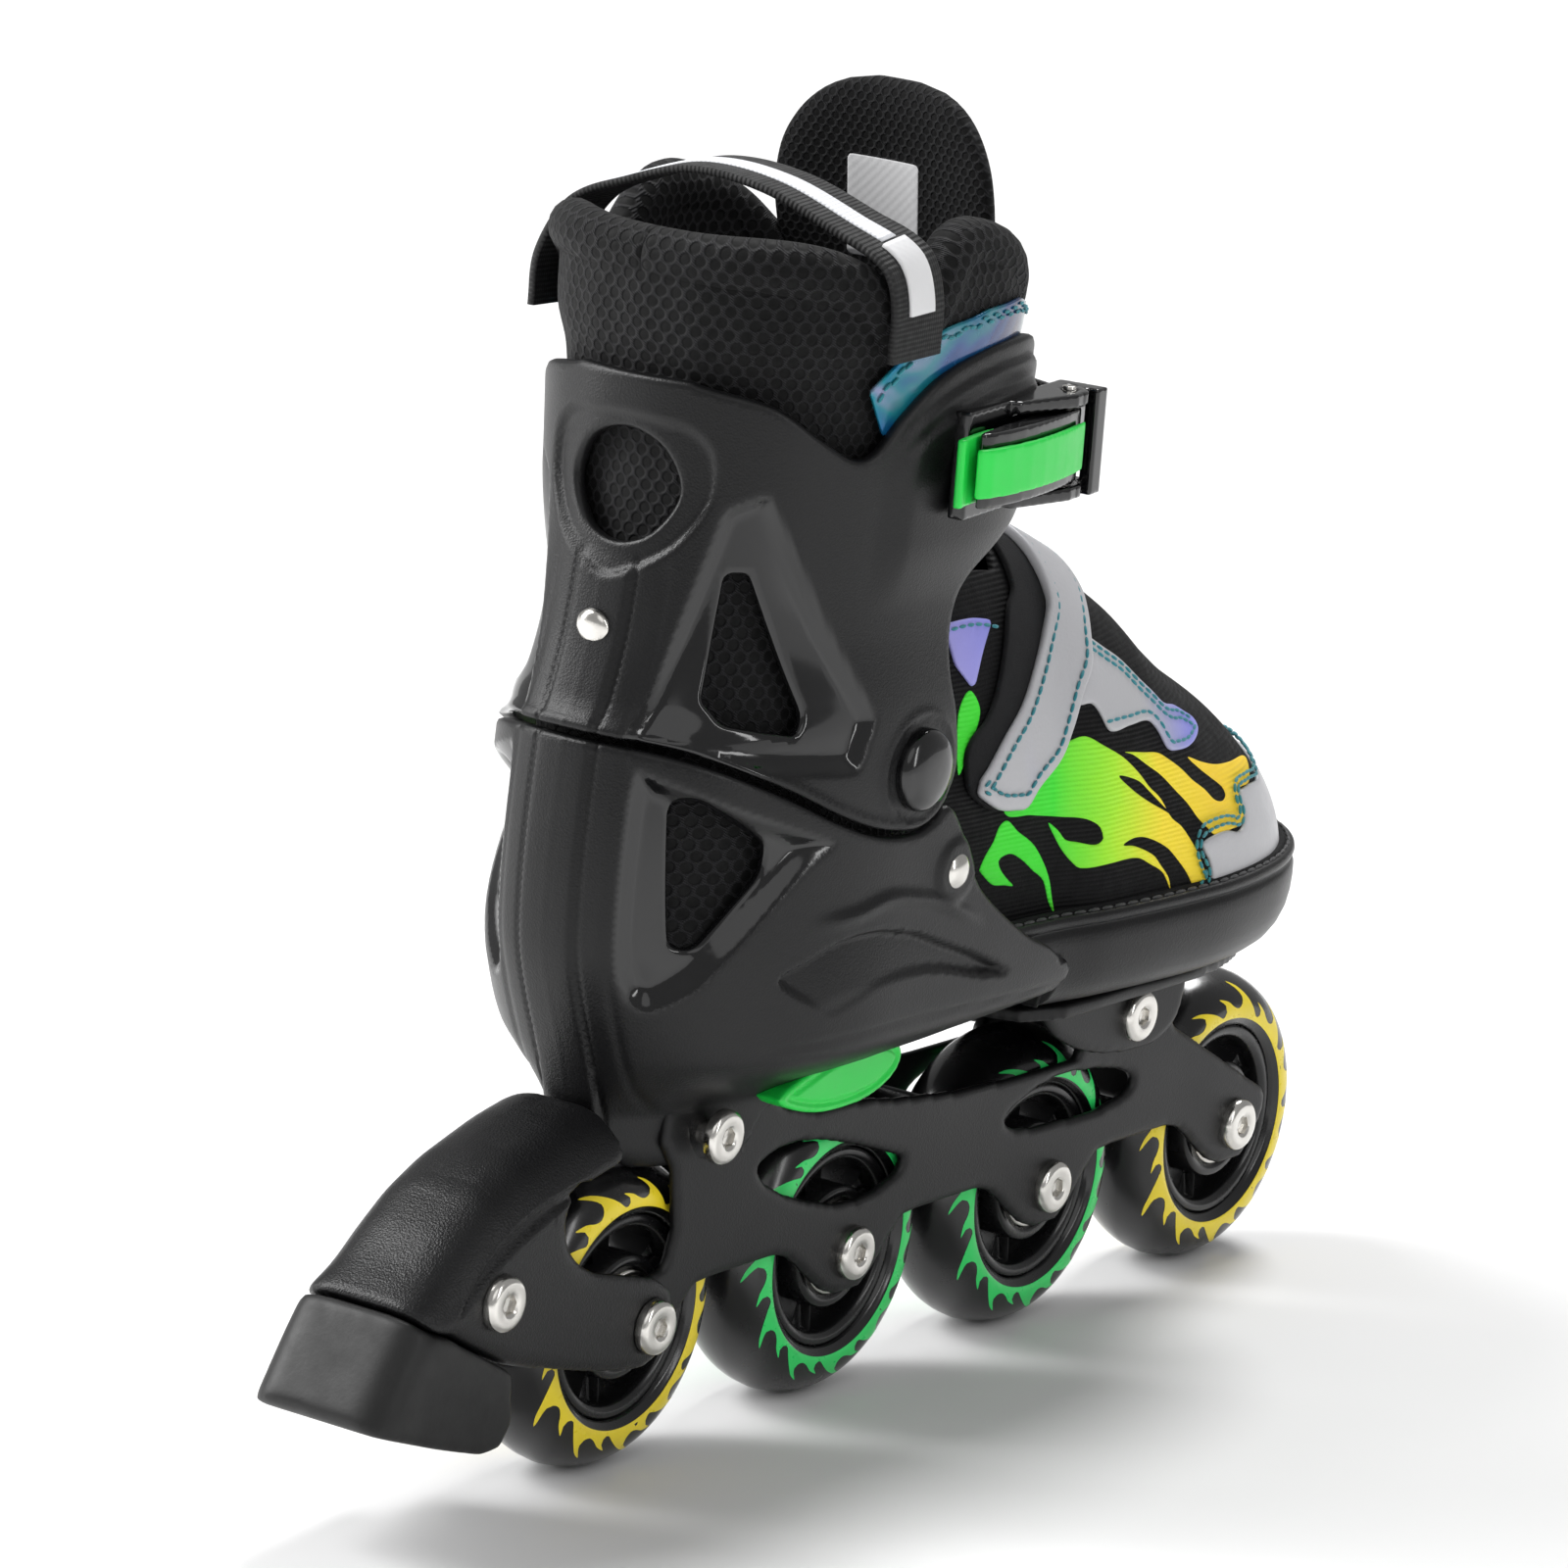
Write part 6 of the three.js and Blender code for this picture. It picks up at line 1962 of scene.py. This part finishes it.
FLAME_MAIN = [(33, 125, 153), (34, 130, 153), (36, 135, 151), (37, 142, 147), (38, 147, 143), (39, 151, 139),
           (40, 155, 136), (41, 159, 131), (41, 163, 128), (42, 167, 124), (42, 170, 120), (42, 173, 115),
           (43, 174, 111), (43, 172, 109), (43, 170, 110), (42, 168, 113), (42, 165, 117), (42, 161, 121),
           (41, 157, 124), (40, 150, 127), (40, 145, 128), (40, 141, 127), (40, 145, 126), (41, 152, 123),
           (41, 155, 120), (42, 158, 117), (42, 159, 114), (41, 156, 118), (41, 151, 121), (40, 146, 123),
           (39, 136, 123), (37, 128, 123), (36, 125.5, 125), (35, 123, 128), (34, 121, 131), (34, 119, 135),
           (35, 122, 133), (35, 124, 130), (36, 127, 129), (38, 132, 128), (38, 134, 129), (38, 133, 132),
           (37, 130, 134), (36, 127, 135), (35, 123, 136), (36, 113, 138), (35, 103, 140), (34, 104, 148),
           (33, 114, 154)]
FLAME_LEAF = [(140, 143), (147, 141), (151, 138), (156, 134), (160, 131), (156, 133), (150, 136), (145, 139)]
FLAME_FRONT = [(143, 148), (150, 147), (156, 146), (160, 144), (165, 141), (169, 138), (174, 135),
               (178, 132), (182, 131),
           (184, 132), (183, 134), (178, 137), (173, 140), (169, 143), (175, 141), (183, 139), (192, 138),
           (206, 136),
           (200, 132), (192, 132), (191, 131), (192, 128), (191, 124.5), (185, 124), (177, 124), (174, 126),
           (170, 129), (166, 133), (161, 137), (156, 141), (151, 144), (146, 147)]
FLAME_REAR = [(104, 137), (108, 134), (114, 130), (118, 125), (120, 121), (121, 117), (122, 113),
              (120, 116), (118, 121),
           (114, 124), (110, 127), (106, 129), (103, 129), (101, 128), (102, 126), (104, 124), (107, 121.5),
           (104, 122), (99, 123), (95, 126), (94, 127), (96, 130), (99, 133), (101, 136)]
EYESTAY = [(32, 129, 160), (33, 133, 160), (34, 135, 158), (35, 138, 153), (35, 146, 153), (35, 154, 153),
           (36, 157, 151), (37, 160, 146), (37, 164, 145), (36, 171, 145), (34, 176, 146), (33, 178, 148),
           (32, 177, 150), (32, 173, 152), (32, 168, 154), (33, 162, 156), (32, 158, 159), (31, 154, 162),
           (29, 148, 167), (28, 142, 171), (27, 138, 173), (26, 132, 177), (29, 127, 171), (31, 124, 163)]
TOE_CAP = [(32, 208, 131), (37, 197, 132), (38, 191, 131), (39, 192, 127), (40, 191, 124), (41, 188, 123),
           (41, 182, 124), (42, 175, 124), (42, 171, 122.5), (42, 174, 118), (43, 175, 114), (44, 172, 110)]
STRAP = [(23, 125, 189), (26, 121, 183), (29, 114, 174), (31, 108, 167), (32, 101, 161), (33, 94, 154),
         (33, 91, 151),
         (33, 90, 148), (34, 93, 145), (35, 98, 142), (35, 104, 141), (35, 108, 141), (35, 112, 145),
         (32, 121, 149),
         (32, 125, 155), (31, 129, 162), (30, 133, 168), (27, 135, 174), (24, 137, 178), (21, 139, 182)]
REAR_STAY = [(22, 86, 183), (24, 97, 188.5), (25, 104, 188.5), (26, 98, 178), (27, 93, 168), (24, 87.5, 171)]
PILE = [(21, 115, 194), (24, 110, 189), (27, 106, 181), (30, 101, 173), (31, 96, 166), (31, 90, 161),
        (31, 87.5, 156),
        (32, 88, 149)]
FLAME_SLIVER = [(86, 150), (90, 155), (95, 163), (92, 168), (87, 163)]


class SKATE_OT_upper(SkateOperator):
    """Forefoot upper with its flames, overlays, strap and stitching"""

    bl_idname = "skate.upper"
    bl_label = "Forefoot upper"

    def execute(self, context):
        self.rows = []
        self.hood()
        self.flames()
        self.overlays()
        self.strap()
        self.sewing()
        self.tray()
        insole = soften("insole_pad", "insole", 1.5, 6, finish(lining), reduce=0.6)
        finished(insole, ROOT, "mesh_padding", "insole")
        return {"FINISHED"}

    def hood(self):
        throat_y = np.linspace(112, 68, 30)
        half = along(TOE_WIDTH, throat_y) - TRAY_T - SLIP - tail_tuck(throat_y)
        throat = np.stack([throat_y, TURN * np.arccos((17.5 / half) ** 1.15)], -1)
        back = on_upper([(62.5, 180), (63.5, 160), (66, 140), (88, 118)])
        low = np.array([(88, 0), (88, -5.6), (120, -5.6), (160, -5.6), (200, -5.6), (243.6, -5.6)])
        right = np.concatenate([[(120, RIDGE_V), (119, RIDGE_V - 12)], throat, back, low,
                                [(243.6, 20), (243.6, RIDGE_V)]])
        right = walked(right, 1.2, closed=False)
        outline = over_both(right)
        piece, _, _ = skin("upper_hood", outline, [], upper_surface, 1.6, 2.0, 0.8, finish(upper_knit))
        finished(piece, "toe", "upper_fabric", "toe_upper")

    def patch(self, name, outline, holes, material, lift, thick, slot="upper_fabric", edge=0.3):
        """A shape laid on the upper, on its outer side and mirrored on its inner."""
        made = []
        for loops in ([outline, *holes], [other_side(x) for x in (outline, *holes)]):
            made.append(skin(name, loops[0], loops[1:], upper_surface, 1.4, thick, edge, material,
                             lift=lift)[0])
        return finished(joined(name, made), "toe", slot)

    def flames(self):
        leaf = rounded(on_upper(FLAME_LEAF), 0.7)
        for name, points, holes in (
            ("flame_main", FLAME_MAIN, [leaf]),
            ("flame_front", FLAME_FRONT, []),
            ("flame_sliver", FLAME_SLIVER, []),
            ("flame_rear", FLAME_REAR, []),
        ):
            self.patch(name, rounded(on_upper(points), 0.7), holes, finish(flame_print), 0.22, 0.4)

    def overlays(self):
        pearl = finish(grey_leather)
        stay = rounded(on_upper(EYESTAY), 0.8)
        piece = self.patch("eyestays", stay, [], pearl, 1.0, 1.2, slot="grey_leather", edge=0.6)
        self.shine(piece, 150, 176)
        self.rows.append(offset_line(rounded(on_upper(EYESTAY[3:11]), 1.0, closed=False), 1.8))
        inner = rounded(on_upper(EYESTAY[13:21]), 1.0, closed=False)
        self.rows += [offset_line(inner, 1.6), offset_line(inner, 3.4)]
        rear = cornered(on_upper(REAR_STAY), 0.8, 1.5)
        piece = self.patch("rear_stays", rear, [], pearl, 0.9, 1.1, slot="grey_leather", edge=0.6)
        self.shine(piece, 60, 70)
        self.rows.append(offset_line(rounded(on_upper(REAR_STAY[:3]), 1.0, closed=False), -1.5))
        edge = on_upper(TOE_CAP)
        top = np.concatenate([[(226.5, RIDGE_V)], [(225, RIDGE_V - 14), (219, RIDGE_V - 30)], edge])
        top = rounded(top, 0.9, closed=False)
        right = np.concatenate([top, walked(np.array([(172, -2), (205, -2), (243.4, -2), (243.4, RIDGE_V)]),
                                            1.2,
                                            closed=False)])
        outline = over_both(right)
        cap = skin("toe_cap", outline, [], upper_surface, 1.5, 1.2, 0.6, pearl, lift=0.9)[0]
        self.shine(cap, 300, 310)
        finished(cap, "toe", "grey_leather")
        self.rows += [offset_line(top, -1.7), offset_line(top, -3.5)]

    def shine(self, piece, low, high):
        """Where the leather turns violet and pearly, from one distance forward to another."""
        attribute(piece, "pearl", smoothstep(points_of(piece)[:, 1], low, high))

    def strap(self):
        right = np.concatenate([[(126.5, RIDGE_V)], on_upper(STRAP), [(142.5, RIDGE_V)]])
        right = rounded(right, 1.0, closed=False)
        outline = over_both(right)
        ride = lambda uv, base: 0.7 * smoothstep(base[:, 2], 168, 186)
        band = skin("strap_band", outline, [], upper_surface, 1.6, 1.7, 0.7, finish(grey_leather), ride,
                    lift=3.3)[0]
        self.shine(band, 300, 310)
        finished(band, "toe", "grey_leather", "instep_strap")
        self.strap_rows = [offset_line(right, 2.2)]
        front = on_upper(STRAP)[8:]
        back_edge = np.concatenate([[(118, RIDGE_V)], on_upper(PILE)])
        lower = rounded(np.concatenate([back_edge, front - (1.2, 0), [(141, RIDGE_V)]]), 1.0, closed=False)
        lower = over_both(lower)
        pile = skin("strap_pile", lower, [], upper_surface, 1.6, 1.4, 0.5, finish(hook_pile), lift=1.7)[0]
        finished(pile, "toe", "upper_fabric")

    def sewing(self):
        def laid(rows, lift):
            lines = []
            for row in rows:
                for line in (row, other_side(row)):
                    flat = np.asarray(line, float)
                    lines.append(upper_surface(flat) + normals_of(upper_surface, flat) * lift)
            return lines

        for name, rows, lift in (
            ("overlay_stitches", self.rows, 1.05),
            ("strap_stitches", self.strap_rows, 3.6),
        ):
            piece = stitches(name, laid(rows, lift), mm("stitch"), mm("thread_width"), finish(teal_thread))
            finished(piece, "toe", "grey_leather")

    def tray(self):
        y = np.concatenate([np.linspace(99, 205, 70), TOE_TIP - 40 * np.cos(np.linspace(0, np.pi / 2,
                70))[1:]])
        right = walked(np.stack([along(TOE_WIDTH, y), y], -1), 1.1, closed=False)
        nose = right[-1, 0]
        tip = walked(np.array([right[-1], (nose * 0.5, TOE_TIP + 0.25), (0, TOE_TIP + 0.35)]), 1.1,
                     closed=False)[1:]
        right = np.concatenate([right, tip])
        plan = np.concatenate([right, (right * (-1, 1))[::-1][1:]])
        for _ in range(6):
            plan[1:-1] = (plan[:-2] + 2 * plan[1:-1] + plan[2:]) / 4
        way = tangent(plan)
        out = np.stack([way[:, 1], -way[:, 0]], -1)
        rim = TRAY_RIM_Z
        profile = [(-3.0, 103.0), (-3.0, rim - 0.8), (-2.4, rim), (-0.8, rim), (-0.2, rim - 0.5),
                   (0.0, rim - 1.4),
                   (-0.2, rim - 2.3), (-1.0, rim - 2.9), (-1.1, rim - 3.3), (-0.5, rim - 3.9),
                   (0.0, rim - 5.0),
                   (0.05, 106.0), (-0.2, 102.5), (-0.9, 99.0), (-2.2, 95.8), (-4.0, 93.2), (-6.2, 91.4),
                   (-8.6, 90.5),
                   (-11.0, TRAY_BASE_Z + 0.2), (-11.0, 94.0)]
        # behind the shell's tip only the rim runs on, inside the shell
        tail = 104.5 * (1 - smoothstep(plan[:, 1], 118, 121))
        ring = np.stack([np.column_stack([plan + out * reach, np.maximum(z, tail)]) for reach,
                         z in profile], 1)
        points, faces = capped(ring)
        wall = tidy_mesh(mesh_piece("tray_wall", points, faces, finish(shell_black)))
        core = soften("tray_core", "toe_tray", 1.1, 4, finish(shell_black), shrink=0.5, reduce=0.6)
        place = points_of(core)
        squeeze = smoothstep(place[:, 1], 116, 122)
        low = 1 - smoothstep(place[:, 2], 90, 104)
        pull = squeeze * (1.0 + 7.5 * low)
        half = np.maximum(along(TOE_WIDTH, place[:, 1]), 8)
        place[:, 0] *= 1 - pull / half
        ahead = smoothstep(place[:, 1], 200, TOE_TIP)
        place[:, 1] -= pull * ahead
        move_points(core, place)
        piece = joined("toe_bumper", [wall, core])
        attribute(piece, "gloss", np.zeros(len(piece.data.vertices)))
        finished(piece, "toe", "shell_plastic", "toe_tray")
        line = np.column_stack([plan + out * -3.4, np.full(len(plan), rim - 0.5)])
        across = np.column_stack([out, np.zeros(len(plan))])
        welt = roll("welt", line, across, 1.3, finish(lining), segments=12)
        finished(welt, "toe", "upper_fabric")
        row = np.column_stack([plan + out * -1.7, np.full(len(plan), rim + 0.1)])
        sewn = stitches("welt_stitches", [row], 4.4, 1.1, finish(black_thread))
        finished(sewn, "toe", "upper_fabric")


COLLAR_TURN = 45
FACING = [(22, 247), (32, 256.5), (43, 259.6), (58, 262), (74, 262.5), (88, 258), (88, 244), (68, 244),
          (42, 242),
          (35, 240), (29, 236)]
FACING_SEAM = [(25, 246.5), (33, 254.5), (43, 257.6), (58, 260), (74, 260.5), (86, 257)]


class SKATE_OT_collar_trim(SkateOperator):
    """Pull loop, its reflective stripe, and the collar's facing strips"""

    bl_idname = "skate.collar_trim"
    bl_label = "Collar trim"

    def execute(self, context):
        route = [(-43.6, 22, 252), (-43.2, 22.5, 264), (-36.5, 24, 276), (-23, 25, 282.5), (-7, 26, 287.5),
                 (12, 26.5, 286.5), (30, 28, 280.5), (42.5, 29.5, 275), (45.5, 30.5, 267), (45.4, 31, 254)]
        line = rounded(np.array(route, float), 1.0, closed=False)
        way = tangent(line)
        out = np.stack([line[:, 0], (line[:, 1] - 30) * 0.3, line[:, 2] - 250], -1)
        across = unit(np.cross(way, out))
        up = np.cross(across, way)
        for name, half, low, high, part, maker in (
            ("pull_band", 9.0, 0.0, 1.7, slice(None), black_webbing),
            ("pull_stripe", 2.7, 1.2, 2.1, slice(4, -26), reflective_tape),
            ("pull_tab", 4.4, 1.4, 2.5, slice(-26, -10), label_cloth),
        ):
            rim = [(-half, low), (-half + 0.5, low - 0.1), (0, low - 0.1), (half - 0.5, low - 0.1),
                   (half, low),
                   (half + 0.2, (low + high) / 2), (half, high - 0.1), (half - 0.5, high), (0, high),
                   (-half + 0.5, high), (-half, high - 0.1), (-half - 0.2, (low + high) / 2)]
            ring = np.stack([line[part] + across[part] * a + up[part] * b for a, b in rim], 1)
            points, faces = capped(ring)
            piece = tidy_mesh(mesh_piece(name, points, faces, finish(maker)))
            travel = np.repeat(np.arange(len(ring)), len(rim)) * 1.0
            if len(piece.data.vertices) == len(travel):
                uv_layer(piece, np.stack([travel, np.tile([a for a, _ in rim], len(ring))], -1) * 0.01)
            nodes = ["pull_loop"] if name == "pull_band" else []
            finished(piece, "cuff", "webbing", *nodes)
        self.facing()
        return {"FINISHED"}

    def around(self, y):
        """How far round the collar a distance forward is."""
        ahead = y > ANKLE_Y
        way = 50.0 if ahead else ANKLE_Y - float(along(CUFF_HEEL, 255.0)) - 2.4
        share = min(abs(y - ANKLE_Y) / way, 1) ** 1.3
        return math.copysign(math.asin(share), y - ANKLE_Y) * COLLAR_TURN

    def facing(self):
        """The shiny strip on the collar's front, sewn down in zigzag."""

        def surface(uv):
            return liner_point(uv[:, 0] / COLLAR_TURN, uv[:, 1], 0)

        outline = cornered([(self.around(y), z) for y, z in FACING], 1.0, 1.0)
        made, lines = [], []
        for side in (1, -1):
            place = lambda uv, side=side: surface(uv) * (side, 1, 1)
            made.append(skin("facing", outline, [], place, 1.4, 1.0, 0.4, finish(holographic), out=side,
                             lift=1.6)[0])
            edge = [(self.around(y), z) for y, z in FACING_SEAM]
            zig = walked(np.array(edge), 1.9, closed=False)
            zig[:, 1] += np.where(np.arange(len(zig)) % 2, 0.8, -0.8)
            lines.append(place(zig) + normals_of(place, zig) * side * 1.9)
        piece = joined("collar_facing", made)
        blended(piece, *ANKLE_BEND)
        finished(piece, None, "mesh_padding")
        sewn = stitches("facing_stitches", lines, mm("stitch"), mm("thread_width"), finish(teal_thread))
        blended(sewn, *ANKLE_BEND)
        finished(sewn, None, "mesh_padding")


# ---------- panel, registering and the run ----------


OPERATORS = (SKATE_OT_wheels, SKATE_OT_fasteners, SKATE_OT_shell, SKATE_OT_cuff, SKATE_OT_chassis,
             SKATE_OT_buckle,
             SKATE_OT_liner, SKATE_OT_tongue, SKATE_OT_upper, SKATE_OT_collar_trim, SKATE_OT_stage)


class SKATE_PT_panel(bpy.types.Panel):
    """The skate's sizes, colours and pieces"""

    bl_label = "Inline skate"
    bl_idname = "SKATE_PT_panel"
    bl_space_type = "VIEW_3D"
    bl_region_type = "UI"
    bl_category = "Skate"

    def draw(self, context):
        layout = self.layout
        for group in (context.scene.skate_sizes, context.scene.skate_colours):
            box = layout.box()
            for name in group.bl_rna.properties.keys():
                if name not in {"rna_type", "name"}:
                    box.prop(group, name)
        for operator in OPERATORS:
            layout.operator(operator.bl_idname)


CLASSES = (SkateSizes, SkateColours, *OPERATORS, SKATE_PT_panel)


def register():
    for cls in CLASSES:
        bpy.utils.register_class(cls)
    bpy.types.Scene.skate_sizes = PointerProperty(type=SkateSizes)
    bpy.types.Scene.skate_colours = PointerProperty(type=SkateColours)


def unregister():
    del bpy.types.Scene.skate_colours
    del bpy.types.Scene.skate_sizes
    for cls in reversed(CLASSES):
        bpy.utils.unregister_class(cls)


def main():
    register()
    for operator in OPERATORS:
        group, name = operator.bl_idname.split(".")
        scene_add(getattr(getattr(bpy.ops, group), name))


if __name__ == "__main__":
    main()
